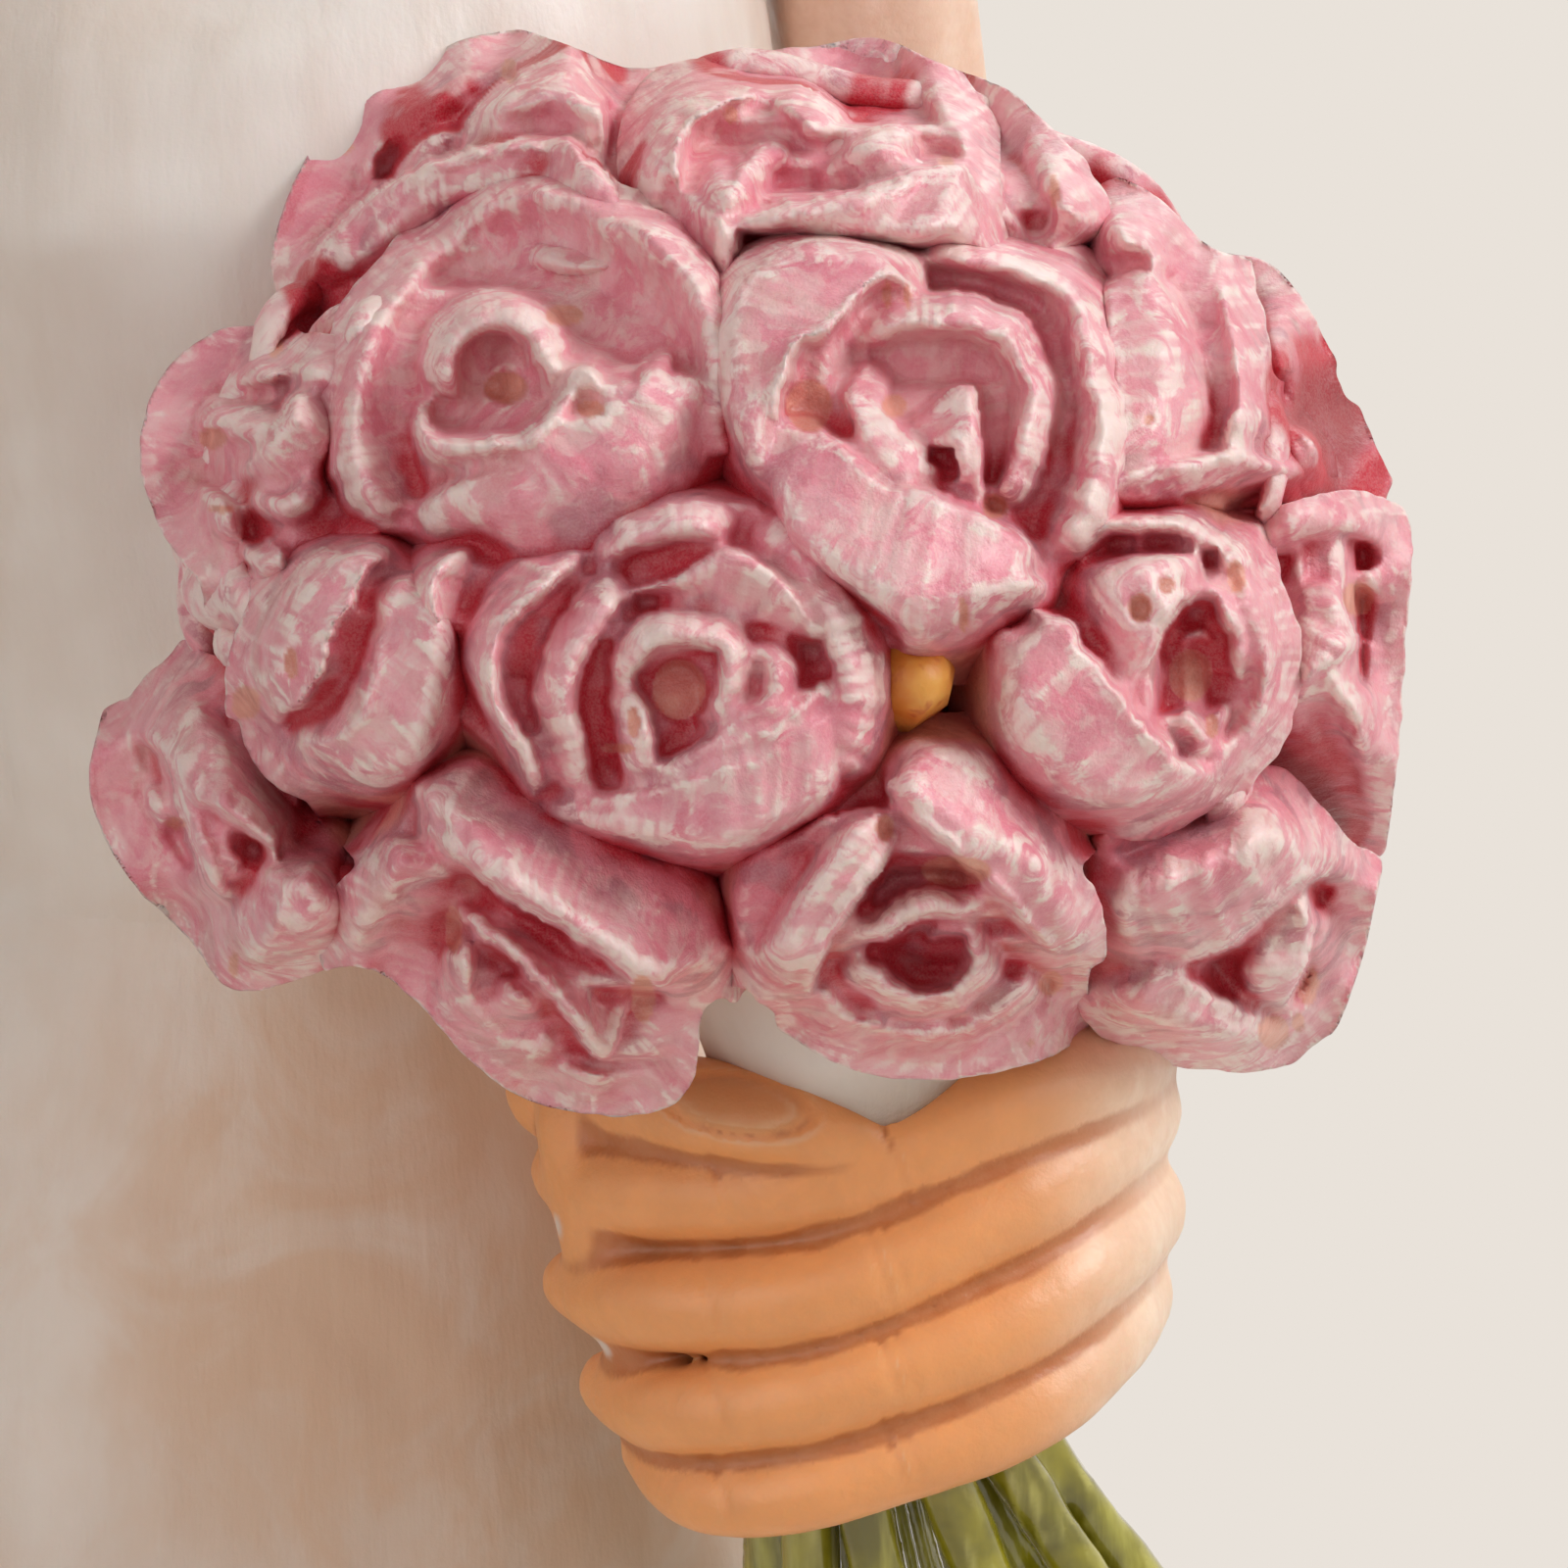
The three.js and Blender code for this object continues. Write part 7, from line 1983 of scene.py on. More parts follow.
def faceTint(who, points):
    look = heads[who]
    u, f, h = fromHead(who, points)
    front = smoothStep(0.1, 0.22, f)
    tint = tintOf(look["flesh"], points)

    def spot(right, up, wide, tall):
        return np.exp(-(((u - right) / wide) ** 2 + ((h - up) / tall) ** 2)) * front

    for s in (-1, 1):
        tint = over(tint, look["blush"], 0.6 * spot(s * 0.185, 0.36, 0.075, 0.06))
        # painted shade over the eyes, in their sockets
        tint = over(tint, headLook["shadow"], 0.4 * spot(s * 0.135, 0.53, 0.08, 0.03))
    tint = over(tint, look["blush"], 0.35 * spot(0, 0.35, 0.06, 0.03))
    part = lipLine(u)
    half = look["mouth"]
    full = smoothStep(half * 1.05, half * 0.55, np.abs(u))
    tallUp = (0.032 - 0.008 * np.exp(-((u / 0.016) ** 2))) * full + 0.001
    tallLow = 0.037 * full + 0.001
    mouth = (smoothStep(tallUp + 0.006, tallUp - 0.002, h - part)
             * smoothStep(tallLow + 0.006, tallLow - 0.002, part - h))
    tint = over(tint, look["lips"], mouth * front * smoothStep(half * 1.1, half * 0.95, np.abs(u)) * 0.9)
    line = np.exp(-(((h - part) / 0.0045) ** 2)) * front * smoothStep(half, half * 0.9, np.abs(u)) * 0.8
    tint = over(tint, [v * 0.6 for v in look["lips"]], line)
    # painted lash line under the upper lid
    for s in (-1, 1):
        a = (u - s * headLook["eye"][0]) / 0.068
        edge = headLook["eye"][2] + 0.036 * (1 - np.abs(np.clip(a, -1, 1)) ** 2.2)
        line = np.exp(-(((h - edge + 0.007) / 0.007) ** 2)) * (np.abs(a) < 1.05) * front * 0.85
        tint = over(tint, headLook["lash"], line)
    return tint


def makeBrows(who, paint):
    # brows lie on the skin
    brows = []
    for s in (-1, 1):
        a = np.linspace(0, 1, 9)
        u = s * (0.062 + 0.15 * a)
        z = 0.586 + 0.026 * np.sin(a * 2.6) - 0.012 * a
        places, normals = onForm([toBody(heads[who]["face"])], inHead(who, u, 0.0 * a, z), [(0, -1, 0)] * 9)
        brows.append(tube(places + normals * 0.05, heads[who]["browSize"], 10, 26, 0.7))
    points, faces = fused(brows, headLook["browVoxel"], 1)
    points = points + noiseAt(points * [1, 1, 2.5], 0.5, 81)[:, None] * normalsOf(points, faces) * 0.06
    strand = noiseAt(points * [1.5, 1, 3], 0.5, 82) * 0.5 + 0.5
    addPiece(who + "_brows", points, faces, paint, fields={"strand": strand, "close": np.zeros(len(points))})


def makeHead(who, eyePaint, browPaint):
    points, faces = facedHead(who)
    right, forward, up = headLook["eye"]
    eyes = [paintedEye(who, inHead(who, s * right, forward, up)) for s in (-1, 1)]
    lids = eyeLids(who, -1) + eyeLids(who, 1)
    points, faces = fused([(points, faces)] + lids, coarser(headLook["faceVoxel"]), 4)
    fields = surfaceFields(points, faces, 0.5, (1.6,), 6, 0.05)
    tint = faceTint(who, points)
    addPiece(heads[who]["face"], points, faces, skin, [who + "_head"], fields, tint)
    points, faces = joined([eye for eye, tint in eyes])
    addPiece(who + "_eyes", points, faces, eyePaint, colours=np.vstack([tint for eye, tint in eyes]))
    makeBrows(who, browPaint)
    print(who, "head shaped")


def toBody(name):
    points, faces = toArrays(bpy.data.objects[name].data)
    return points / metre, faces


# Hair. Locks lie on a scalp of these radii, each at its own height over it.
scalps = {"bride": (0.372, 0.46, 0.4), "groom": (0.37, 0.46, 0.4)}


def overScalp(who, rail, rise):
    path = inHead(who, *np.array(rail).T)
    centre = inHead(who, 0, -0.06, 0.62)
    away = path - centre
    size = np.linalg.norm(away / (np.array(scalps[who]) * heads[who]["tall"]), axis=1)
    return centre + away * (rise / size)[:, None]


def brideLocks():
    who = "bride"
    bun = inHead(who, 0, -0.52, 0.42)
    parts = [headBall(who, 0, -0.09, 0.645, (0.368, 0.425, 0.385), 30, 40),
             headBall(who, 0, -0.52, 0.42, (0.19, 0.13, 0.19), 24, 32)]
    random = np.random.default_rng(91)
    # locks run from the parting and the hairline round to the bun
    for s in (-1, 1):
        for k in range(20):
            share = k / 19
            # from the hairline, which falls from the parting to the ear
            start = [s * (0.012 + 0.33 * math.sin(share * 1.5)), 0.34 - 0.36 * share**1.8, 0.86 - 0.36 * share**1.5]
            sweep = [s * (0.2 + 0.16 * math.sin(share * 2.4)), -0.12 - 0.12 * share, 0.98 - 0.52 * share]
            side = [s * (0.33 - 0.05 * share), -0.28, 0.66 - 0.32 * share]
            nape = [s * 0.17, -0.46, 0.5 - 0.16 * share]
            rise = np.interp(np.linspace(0, 1, 9), [0, 0.2, 1], [0.985, 1.03, 1.0]) + random.uniform(-0.01, 0.02)
            path = overScalp(who, smoothLine([start, sweep, side, nape], 9), rise)
            path = np.vstack([path, bun + [s * 1.8, -0.4, (0.5 - share) * 3]])
            parts.append(tube(path, (0.25, 0.85, 0.95, 0.95, 0.7), 10, 34, 0.75))
    # a cap of hair closes the parting
    parting = smoothLine([(0, 0.345, 0.84), (0, 0.24, 0.965), (0, 0.02, 1.03), (0, -0.25, 0.96)], 12)
    parts.append(tube(overScalp(who, parting, 0.965), (0.9, 1.5, 1.6, 1.4), 14, 30, 0.8))
    for k in range(9):
        angle = np.linspace(0, 2 * math.pi * 0.8, 14) + k * 0.7
        radius = 3.7 - 0.33 * k
        ring = np.stack([bun[0] + radius * np.cos(angle), bun[1] + 1.6 + 0.12 * k + 0.2 * np.sin(angle * 3),
                         bun[2] + radius * np.sin(angle)], 1)
        parts.append(tube(ring, (0.5, 0.8, 0.8, 0.5), 10, 30))
    return parts


def hairTint(points, faces, seed):
    proud = rimOf(points, faces)
    strand = smoothStep(0.0, 0.07, proud) * (0.55 + 0.45 * noiseAt(points, 1.2, seed))
    close = crowding([(points, faces)], 0.4, (1.2,))[0][0]
    return {"strand": np.clip(strand, 0, 1), "close": close}


def groomLocks():
    who = "groom"
    random = np.random.default_rng(95)
    parts = [headBall(who, 0, -0.08, 0.66, (0.372, 0.425, 0.39), 30, 40)]
    for k in range(34):
        # combed from the parting at one side over the top, the rest back and down
        share = k / 33
        across = -0.3 + 0.64 * share
        rail = []
        for a in np.linspace(0, 1, 7):
            forward = 0.385 - 0.13 * abs(across) / 0.34 - a * 0.82
            right = across * (1 + 0.12 * a) + 0.05 * math.sin(a * 3.0) * (1 if across > -0.16 else -1)
            rail.append((right, forward, 0.81 + 0.38 * a - 0.28 * a * a))
        wave = 0.05 * np.sin(np.linspace(0.4, 2.6, 7)) * smoothStep(0.34, 0.1, abs(across))
        puff = 1.0 + wave + random.uniform(-0.01, 0.025)
        parts.append(tube(overScalp(who, rail, puff), (0.35, 0.95, 1.05, 0.9, 0.5), 10, 30, 0.7))
    for s in (-1, 1):
        for k in range(9):
            start = 0.12 - 0.065 * k
            rail = [(s * 0.34, start, 0.78), (s * 0.375, start - 0.05, 0.64),
                    (s * 0.37, start - 0.1, 0.5 + 0.02 * (k > 4)), (s * 0.33, start - 0.13, 0.4 if k > 3 else 0.44)]
            parts.append(tube(overScalp(who, rail, 0.97), (0.5, 0.8, 0.75, 0.4), 10, 26, 0.7))
    return parts


def makeHair(who, parts, paint, stretch, seed):
    points, faces = fused(parts, coarser(headLook["voxel"]), 2)
    points = pushed(points, faces, noiseAt(points * stretch, 0.5, seed, 2) * 0.1)
    fields = hairTint(points, faces, seed + 1)
    addPiece(who + "_hair_locks", points, faces, paint, [who + "_hair"], fields)


def makeHeads():
    eyePaint = tintedPaint("eye paint", 0.12)
    brown = hairPaint("brown hair paint", (84, 52, 30), (112, 72, 42), (164, 118, 76))
    dark = hairPaint("dark hair paint", (44, 29, 20), (62, 42, 29), (112, 82, 58))
    makeHair("bride", brideLocks(), brown, [1, 0.35, 1], 92)
    makeHair("groom", groomLocks(), dark, [1, 0.4, 0.6], 96)
    makeHead("bride", eyePaint, brown)
    makeHead("groom", eyePaint, dark)


def beadGroup(name):
    # beads of one size at even steps along the edges of the input
    tree = bpy.data.node_groups.new(name, "GeometryNodeTree")
    for socket, kind in (("Geometry", "Geometry"), ("bead radius", "Float"), ("step", "Float"),
                         ("material", "Material")):
        tree.interface.new_socket(socket, in_out="INPUT", socket_type="NodeSocket" + kind)
    tree.interface.new_socket("Geometry", in_out="OUTPUT", socket_type="NodeSocketGeometry")
    given, result = tree.nodes.new("NodeGroupInput"), tree.nodes.new("NodeGroupOutput")
    curve, even, bead, place, real, finish = (
        tree.nodes.new("GeometryNode" + kind) for kind in
        ("MeshToCurve", "ResampleCurve", "MeshIcoSphere", "InstanceOnPoints", "RealizeInstances", "SetMaterial"))
    even.mode = "LENGTH"
    bead.inputs["Subdivisions"].default_value = 3
    for start, output, end, field in (
            (given, "Geometry", curve, "Mesh"), (curve, "Curve", even, "Curve"), (given, "step", even, "Length"),
            (given, "bead radius", bead, "Radius"), (even, "Curve", place, "Points"),
            (bead, "Mesh", place, "Instance"), (place, "Instances", real, "Geometry"),
            (real, "Geometry", finish, "Geometry"), (given, "material", finish, "Material"),
            (finish, "Geometry", result, "Geometry")):
        tree.links.new(start.outputs[output], end.inputs[field])
    return tree


def beadString(name, path, radius, step, material):
    path = np.asarray(path) * metre
    mesh = bpy.data.meshes.new(name)
    mesh.from_pydata([tuple(map(float, p)) for p in path], [(k, k + 1) for k in range(len(path) - 1)], [])
    obj = helper(mesh)
    beads = obj.modifiers.new("beads", "NODES")
    beads.node_group = beadGroup("bead string")
    given = {"bead radius": radius * metre, "step": step * metre, "material": material}
    for socket in beads.node_group.interface.items_tree:
        if socket.name in given:
            beads[socket.identifier] = given[socket.name]
    points, faces = toArrays(evaluated(obj))
    addPiece(name, points / metre, faces, material)


def ringOn(body, centre, height, wave, count, out):
    # a line round a body at a height, lying on its skin
    turn = np.linspace(-math.pi, math.pi, count)
    ways = np.stack([np.sin(turn), -np.cos(turn), np.zeros(count)], 1)
    start = np.stack([np.full(count, centre[0]), np.full(count, centre[1]), height + wave(turn)], 1)
    places, normals = onForm([body], start, ways)
    return places + normals * out


# The hem's pearls hang in nine scallops on each side
pearlLook = {"height": 12.0, "rise": 1.2, "scallops": 9, "radius": 0.4, "step": 1.3, "out": 0.05}


def makePearls():
    paint = glossPaint("pearl paint", (236, 228, 222), (246, 242, 238))
    line = ringOn(toBody("gown_skirt"), gownLook["centre"], pearlLook["height"],
                  lambda turn: pearlLook["rise"] * np.abs(np.sin(turn * pearlLook["scallops"])), 400, pearlLook["out"])
    beadString("hem_pearls", line, pearlLook["radius"], pearlLook["step"], paint)


# The veil: folds that widen downwards
veilLook = {"voxel": 0.3, "top": 170.6, "length": 33.0, "foldDepth": 0.55}


def makeVeil():
    points, faces = castForm(["bride_veil"], veilLook["voxel"], 5)
    x, y, z = points.T
    drop = (veilLook["top"] - z) / veilLook["length"]
    fold = 0.5 + 0.5 * np.sin((x - 18) * (1.55 - 0.45 * drop) + noiseAt(points * [0.2, 0.2, 1], 7, 101) * 1.5)
    reach = smoothStep(0.03, 0.5, drop) * smoothStep(0.0, 1.5, np.abs(y + 2.5))
    points[:, 1] += fold * veilLook["foldDepth"] * reach
    fields = surfaceFields(points, faces, 0.5)
    fields["edge"] = smoothStep(2.2, 0.6, z - z.min())
    addPiece("veil_cloth", points, faces, veilPaint(), ["bride_veil"], fields)
    print("veil shaped")


# The suit: jacket and sleeves in one skin, trousers, shirt, bow tie, shoes and lapels
suitLook = {
    "centre": (-19.5, 5.0),
    "voxel": 0.5,
    "trouserVoxel": 0.48,
    "shirtVoxel": 0.36,
    "collarVoxel": 0.26,
    "bowVoxel": 0.18,
    "shoeVoxel": 0.24,
    "lapelVoxel": 0.22,
    "lapelWall": 0.55,
}


def makeJacket(cloth):
    cx = suitLook["centre"][0]
    nodes = ["groom_jacket", "groom_right_sleeve", "groom_left_sleeve"]
    points, faces, owner, border = sharedSkin(nodes, suitLook["voxel"], 12, 2.4, (1, 2))
    x, y, z = points.T
    u = x - cx
    body = np.where(owner == 0, smoothStep(0.2, 1.5, border), 0)
    front = smoothStep(2.0, -1.0, y)
    seam = np.exp(-((u - 0.35 * (118 - z) / 10) / 0.22) ** 2) * front * smoothStep(119, 117.5, z)
    darts = sum(np.exp(-(((u - s * (7.2 + 0.02 * (z - 100))) / 0.2) ** 2)) for s in (-1, 1))
    darts = darts * front * smoothStep(140, 136, z)
    vent = np.exp(-((u / 0.2) ** 2)) * smoothStep(8, 11, y)
    pull = np.clip(np.sin((z - 118) * 0.55 + np.abs(u) * 0.45 + noiseAt(points, 7, 111)), 0, 1) ** 3
    pull = pull * np.exp(-(((z - 118) / 9) ** 2)) * front
    jacket = -(seam * 0.25 + darts * 0.1 + vent * 0.2 + pull * 0.22) * body
    hang = np.where(u < 0, 1, -1)
    slant = points[:, 0] * 0.5 * hang + y * 0.7 + z
    wrinkle = np.clip(np.sin(slant * 0.95 + noiseAt(points, 5, 114, 2) * 3), 0, 1) ** 2
    near = np.where(u < 0, np.exp(-(((z - 128) / 12) ** 2)), 0.6)
    sleeve = -wrinkle * 0.28 * near * np.where(owner > 0, smoothStep(0.2, 2.5, border), 0)
    armhole = np.exp(-((border / 0.3) ** 2)) * 0.16 * smoothStep(120, 128, z)
    soft = noiseAt(points, 6, 112, 2) * 0.16 + noiseAt(points, 2.2, 113) * 0.05
    points = pushed(points, faces, soft + jacket + sleeve - armhole)
    named = [("suit" + node[5:], node) for node in nodes]
    fields = surfaceFields(points, faces, 0.7, (2.6,), 7, 0.12)
    addParted(points, faces, owner, named, cloth, fields)


def makeTrousers(cloth):
    cx = suitLook["centre"][0]
    points, faces = castForm(["groom_trousers"], suitLook["trouserVoxel"], 14)
    x, y, z = points.T
    leg = np.sign(x - cx)
    crease = np.exp(-(((x - cx - leg * 5.6) / 0.3) ** 2)) * smoothStep(60, 50, z) * smoothStep(2, -1, y)
    bunch = np.clip(np.sin(z * 0.85 + noiseAt(points, 6, 116) * 2.5 + x * 0.25), 0, 1) ** 2 * smoothStep(34, 16, z)
    knee = np.clip(np.sin(z * 0.5 + noiseAt(points, 8, 117) * 3), 0, 1) ** 3 * np.exp(-(((z - 54) / 10) ** 2))
    points = pushed(points, faces, crease * 0.3 - bunch * 0.4 - knee * 0.25 + noiseAt(points, 5, 118, 2) * 0.12)
    fields = surfaceFields(points, faces, 0.7, (2.6,), 7, 0.08)
    addPiece("suit_trousers", points, faces, cloth, ["groom_trousers"], fields)


def makeShirt():
    cx = suitLook["centre"][0]
    white = glossPaint("shirt paint", (232, 226, 218), (244, 240, 235))
    points, faces = castForm(["groom_shirt"], suitLook["shirtVoxel"], 3)
    x, y, z = points.T
    u = x - cx
    front = smoothStep(0, -2, y)
    placket = smoothStep(1.5, 1.3, np.abs(u)) * 0.14 - 0.1 * np.exp(-(((np.abs(u) - 1.55) / 0.15) ** 2))
    pleats = -0.09 * np.exp(-(((np.mod(np.abs(u) - 2.2, 0.9) - 0.45) / 0.16) ** 2)) * (np.abs(u) > 2.2)
    points = pushed(points, faces, (placket + pleats) * front)
    fields = surfaceFields(points, faces, 0.5)
    addPiece("shirt_front", points, faces, white, ["groom_shirt"], fields)
    points, faces = castForm(["groom_collar"], suitLook["collarVoxel"], 3)
    fields = surfaceFields(points, faces, 0.4)
    addPiece("shirt_collar", points, faces, white, ["groom_collar"], fields)


def makeBowAndShoes():
    cx = suitLook["centre"][0]
    black = glossPaint("black gloss paint", (24, 24, 28), (34, 34, 40))
    points, faces = castForm(["groom_bow_tie"], suitLook["bowVoxel"], 4)
    u, h = points[:, 0] - cx, points[:, 2] - 160.3
    gather = np.sin(np.arctan2(h, np.abs(u) + 0.01) * 9)
    gather = gather * smoothStep(0.9, 1.6, np.abs(u)) * smoothStep(4.6, 2.6, np.abs(u))
    points = pushed(points, faces, gather * 0.12)
    fields = surfaceFields(points, faces, 0.3)
    addPiece("bow_tie_silk", points, faces, black, ["groom_bow_tie"], fields)
    for side in ("left", "right"):
        node = f"groom_{side}_shoe"
        points, faces = castForm([node], suitLook["shoeVoxel"], 5)
        x, y, z = points.T
        welt = np.exp(-(((z - 9.9) / 0.16) ** 2))
        cap = np.exp(-(((y + 1.2) / 0.14) ** 2)) * smoothStep(10.4, 10.8, z)
        points = pushed(points, faces, -welt * 0.16 - cap * 0.1)
        addPiece(f"shoe_{side}", points, faces, black, [node], surfaceFields(points, faces, 0.4))


def onJacket(jacket, side, inner, outer, count, across, height):
    # a sheet that lies on the jacket's front between two lines of places beside and above its centre
    cx, cy = suitLook["centre"]
    inner, outer = smoothLine(inner, count), smoothLine(outer, count)
    grid = []
    for a in np.linspace(0, 1, across):
        flat = inner * (1 - a) + outer * a
        start = np.stack([cx + side * flat[:, 0], np.full(count, cy), flat[:, 1]], 1)
        places, normals = onForm([jacket], start, [(0, -1, 0)] * count)
        grid.append(places + normals * height(a))
    return np.array(grid)


def makeLapels(cloth):
    # one each side of the shirt, with the collar's fall above it
    jacket = toBody("suit_jacket")
    parts = []
    for s in (-1, 1):
        grid = onJacket(jacket, s, [(0.2, 118.9), (2.9, 130.5), (5.4, 141.8), (6.6, 152.0), (7.0, 158.6)],
                        [(0.5, 118.5), (5.2, 127.0), (9.0, 139.5), (11.0, 149.5), (9.6, 152.2)], 40, 9,
                        lambda a: 0.35 + 0.25 * math.sin(a * math.pi))
        grid[:, :, 1] = smoothRows(grid[:, :, 1])
        parts.append(thickSheet(grid.transpose(1, 0, 2), suitLook["lapelWall"]))
        grid = onJacket(jacket, s, [(7.4, 152.6), (7.2, 156.0), (7.3, 159.6)],
                        [(10.6, 152.9), (10.2, 156.0), (8.8, 160.4)], 20, 7, lambda a: 0.45)
        parts.append(thickSheet(grid.transpose(1, 0, 2), suitLook["lapelWall"]))
    points, faces = fused(parts, suitLook["lapelVoxel"], 3)
    addPiece("suit_lapels", points, faces, cloth, fields=surfaceFields(points, faces, 0.4, (1.4,), 6, 0.05))


def makeSuit():
    cloth = suitPaint()
    makeJacket(cloth)
    makeTrousers(cloth)
    makeShirt()
    makeBowAndShoes()
    makeLapels(cloth)
    print("suit shaped")


def smoothRows(values, times=4):
    for _ in range(times):
        padded = np.pad(values, 1, mode="edge")
        beside = padded[:-2, 1:-1] + padded[2:, 1:-1] + padded[1:-1, :-2] + padded[1:-1, 2:]
        values = values * 0.4 + 0.15 * beside
    return values


# The bride's shoulders, arms and open hand in one skin, and the groom's two hands
limbLook = {
    "voxel": 0.235,
    "handVoxel": 0.2,
    "unevenness": 0.06,
    "brideFlesh": (250, 218, 196),
    "groomFlesh": (222, 170, 132),
    "bride": (("bride_chest", "bride_shoulders"), ("bride_upper_arm", "bride_left_arm"),
              ("bride_far_arm", "bride_right_arm"), ("bride_open_hand", "bride_right_hand")),
    "groom": (("groom_near_hand", "groom_right_hand"), ("groom_far_hand", "groom_left_hand")),
}


def fleshed(points, faces, colour):
    points = pushed(points, faces, noiseAt(points, 4, 121, 2) * limbLook["unevenness"])
    return points, surfaceFields(points, faces, 0.5, (1.6,), 6, 0.06), tintOf(colour, points)


def makeLimbs():
    nodes = [node for name, node in limbLook["bride"]]
    points, faces, owner, border = sharedSkin(nodes, limbLook["voxel"], 14, 1.4, (1, 2), 3)
    points, fields, tint = fleshed(points, faces, limbLook["brideFlesh"])
    addParted(points, faces, owner, limbLook["bride"], skin, fields, tint)
    for name, node in limbLook["groom"]:
        points, faces = castForm([node], limbLook["handVoxel"], 8)
        points, fields, tint = fleshed(points, faces, limbLook["groomFlesh"])
        addPiece(name, points, faces, skin, [node], fields, tint)
    print("arms and hands shaped")


# The plinth, its felt and the steel pins
baseLook = {"plinthVoxel": 0.8, "feltVoxel": 0.7, "pinBevel": 0.25, "pinSides": 48}


def makeBase():
    points, faces = castForm(["base_plinth"], baseLook["plinthVoxel"], 2)
    points = pushed(points, faces, noiseAt(points, 6, 131, 2) * 0.08)
    fields = surfaceFields(points, faces, 1.0, (3.0,), 4, 0.1)
    addPiece("plinth_body", points, faces, plinthPaint(), ["base_plinth"], fields)
    points, faces = castForm(["felt_pad"], baseLook["feltVoxel"], 1)
    points = pushed(points, faces, noiseAt(points, 1.1, 132, 2) * 0.05)
    points[:, 2] = np.maximum(points[:, 2], 0.0)
    addPiece("felt_sheet", points, faces, feltCloth(), ["felt_pad"])
    steel = drawnSteel()
    bevel = baseLook["pinBevel"]
    for node in ("bride_dowel", "groom_left_dowel", "groom_right_dowel"):
        points, faces = nodeArrays(node)
        centre, size = (points.min(0) + points.max(0)) / 2, np.ptp(points, axis=0) / 2
        r, half = size[0], size[2]
        points, faces = revolve([(0, -half), (r - bevel, -half), (r, -half + bevel), (r, half - bevel),
                                 (r - bevel, half), (0, half)], baseLook["pinSides"])
        addPiece(node.replace("dowel", "pin"), points + centre, faces, steel, [node])
    print("base shaped")


# Floor, lamps and camera
stage = {
    "backdrop": (233, 226, 218),
    "room": (1.0, 0.97, 0.94, 1),
    "roomLight": 0.4,
    "floorRadius": 0.6,
    "lamps": (("key lamp", 0.88, 0.2, (0.3, -0.1, 0.34)), ("fill lamp", 0.8, 0.5, (-0.35, -0.5, 0.3)),
              ("back lamp", 0.6, 0.4, (0.12, 0.5, 0.45))),
    "lampsAim": (0.01, -0.01, 0.11),
}


def lamp(name, energy, size, place):
    data = bpy.data.lights.new(name, "AREA")
    data.energy = energy
    data.size = size
    obj = bpy.data.objects.new(name, data)
    bpy.context.scene.collection.objects.link(obj)
    obj.location = place
    obj.rotation_mode = "QUATERNION"
    obj.rotation_quaternion = (Vector(stage["lampsAim"]) - Vector(place)).to_track_quat("-Z", "Y")


def paleShown(tree):
    # rays from the camera, mirrors and glass meet the plain backdrop colour
    path = tree.nodes.new("ShaderNodeLightPath")
    share = path.outputs["Is Camera Ray"]
    for kind in ("Is Glossy Ray", "Is Transmission Ray"):
        most = tree.nodes.new("ShaderNodeMath")
        most.operation = "MAXIMUM"
        tree.links.new(share, most.inputs[0])
        tree.links.new(path.outputs[kind], most.inputs[1])
        share = most.outputs[0]
    return share


def mixedBy(tree, share, low, high, end):
    # one shader or the other, into the end of the tree
    choose = tree.nodes.new("ShaderNodeMixShader")
    tree.links.new(share, choose.inputs["Fac"])
    tree.links.new(low, choose.inputs[1])
    tree.links.new(high, choose.inputs[2])
    tree.links.new(choose.outputs[0], tree.nodes[end].inputs["Surface"])


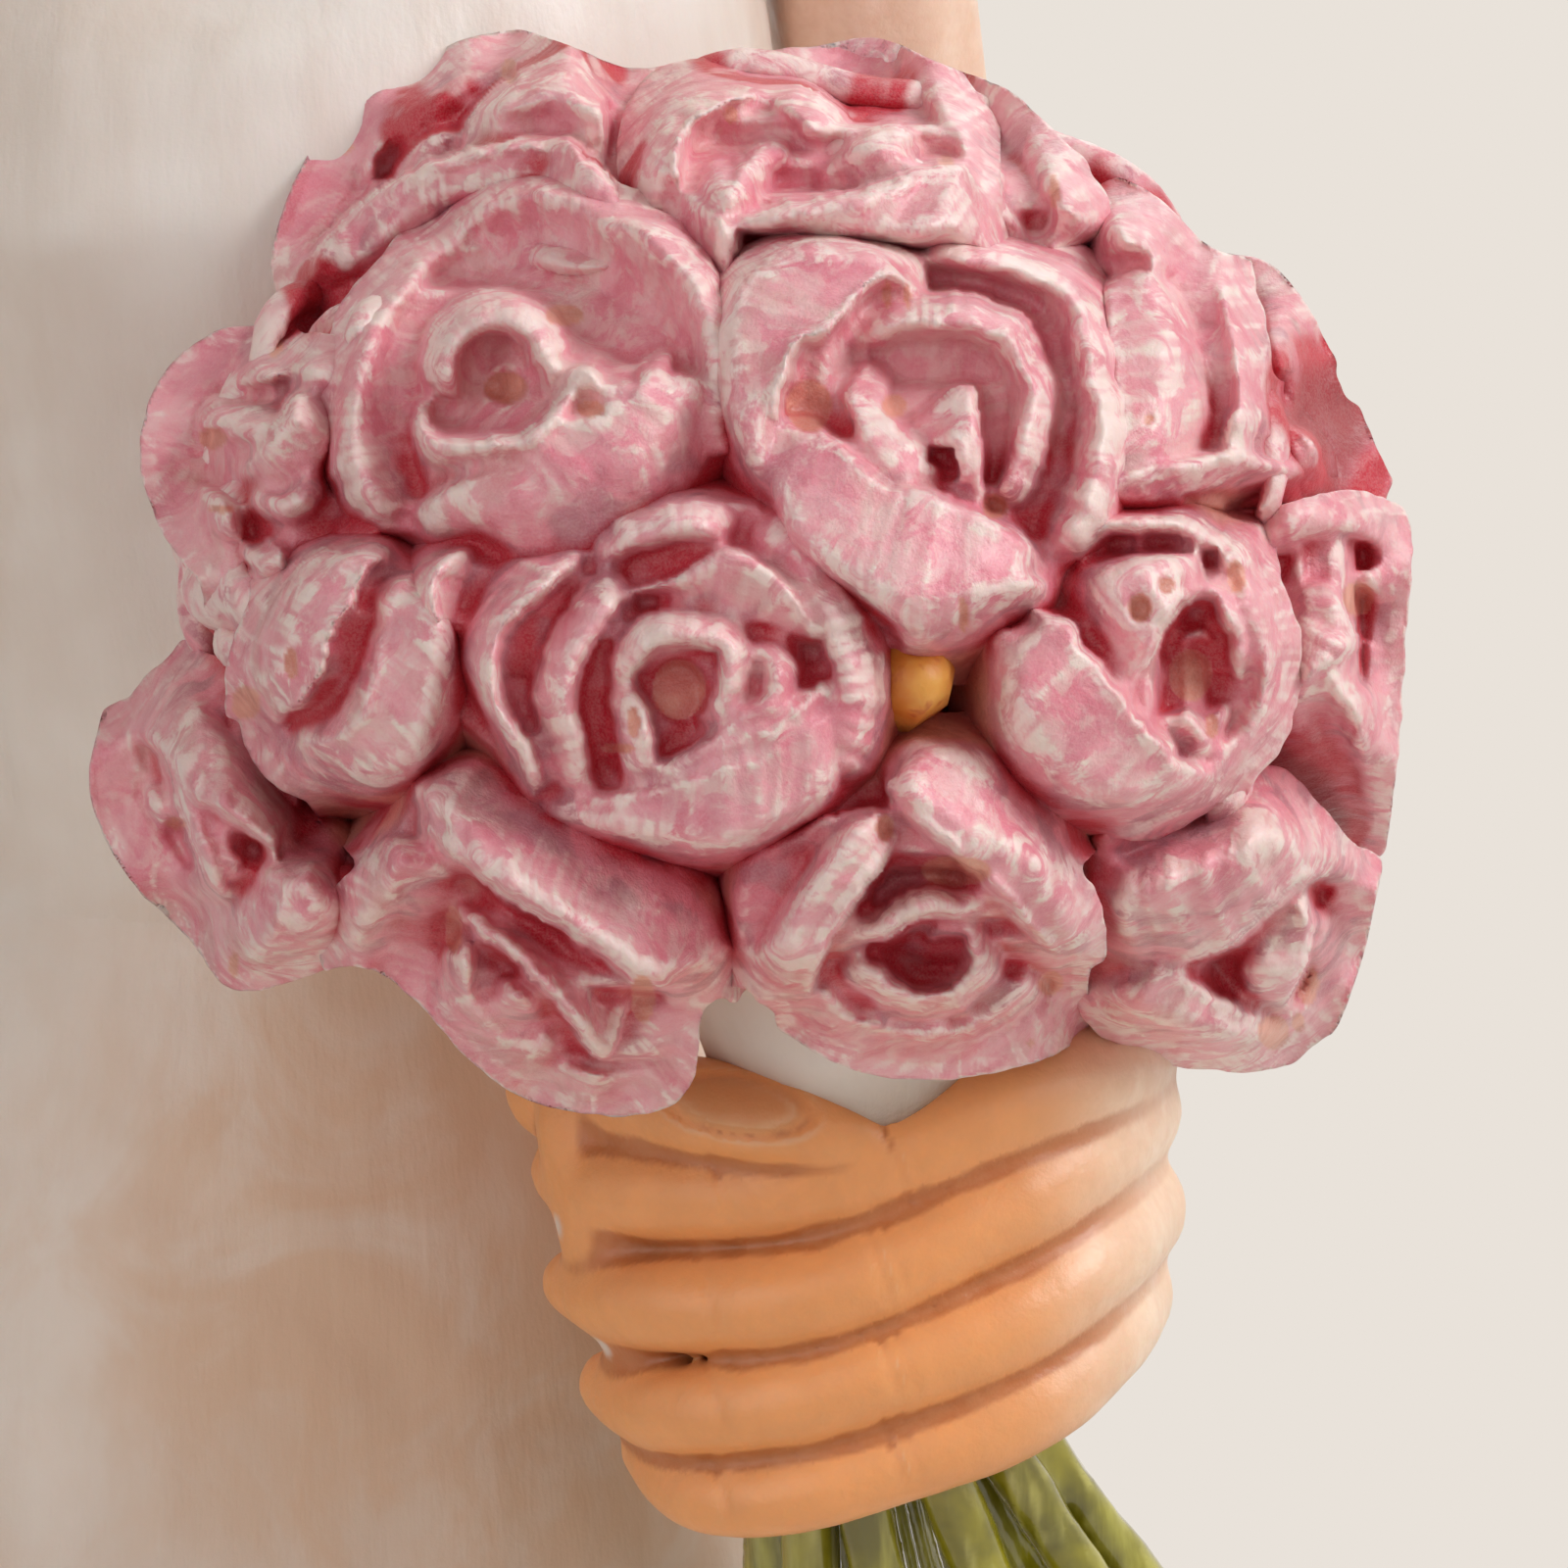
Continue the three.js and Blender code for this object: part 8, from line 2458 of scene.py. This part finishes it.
def makeRoom(pale):
    world = bpy.data.worlds.new("soft room")
    bpy.context.scene.world = world
    world.use_nodes = True
    tree = world.node_tree
    room = tree.nodes["Background"]
    room.inputs["Color"].default_value = stage["room"]
    room.inputs["Strength"].default_value = stage["roomLight"]
    shown = tree.nodes.new("ShaderNodeBackground")
    shown.inputs["Color"].default_value = pale
    shown.inputs["Strength"].default_value = 1.0
    mixedBy(tree, paleShown(tree), room.outputs[0], shown.outputs[0], "World Output")


def makeFloor(pale):
    # a paper floor that fades into the backdrop
    rings, sides = 6, 72
    turn = np.arange(sides) * 2 * math.pi / sides
    rows = [np.stack([r * np.cos(turn), r * np.sin(turn), np.full(sides, -0.0002)], 1)
            for r in np.linspace(0, stage["floorRadius"], rings)]
    mesh = toMesh("floor", np.vstack(rows), gridFaces(rings, sides, True))
    floor = bpy.data.objects.new("floor", mesh)
    bpy.context.scene.collection.objects.link(floor)
    p = Paint("floor paper")
    grain = p.span(p.noise(3.0, 2, 0.5), 0.4, 0.6, 0, 0.06)
    p.finish(p.mix(grain, pale, (0.7, 0.66, 0.6, 1)), 0.9, Specular_IOR_Level=0.0)
    glow = p.nodes.new("ShaderNodeEmission")
    glow.inputs["Color"].default_value = pale
    distance = p.nodes.new("ShaderNodeVectorMath")
    distance.operation = "LENGTH"
    p.links.new(p.place, distance.inputs[0])
    fade = p.span(distance.outputs["Value"], 0.1, 0.22)
    tree = p.material.node_tree
    mixedBy(tree, p.times(fade, paleShown(tree)), p.shader.outputs[0], glow.outputs[0], "Material Output")
    mesh.materials.append(p.material)


def makeCamera():
    data = bpy.data.cameras.new("photo camera")
    data.sensor_width = 36
    data.lens = data.sensor_width * view["distance"] / view["frameWidth"]
    data.clip_start = 0.005
    data.clip_end = 10
    camera = bpy.data.objects.new("photo camera", data)
    bpy.context.scene.collection.objects.link(camera)
    camera.location = Vector(eye * metre)
    camera.rotation_euler = (math.radians(90 - view["elevation"]), 0, 0)
    bpy.context.scene.camera = camera


def makeStage():
    bpy.context.scene.view_settings.view_transform = "Standard"
    pale = paintColour(*stage["backdrop"])
    makeRoom(pale)
    makeFloor(pale)
    for look in stage["lamps"]:
        lamp(*look)
    makeCamera()
    print("stage set")


makeRoses()
makeFist()
makeStems()
makeCore()
makeCuff()
makeGown()
makeHeads()
makeVeil()
makeSuit()
makeLimbs()
makePearls()
makeBase()
makeStage()
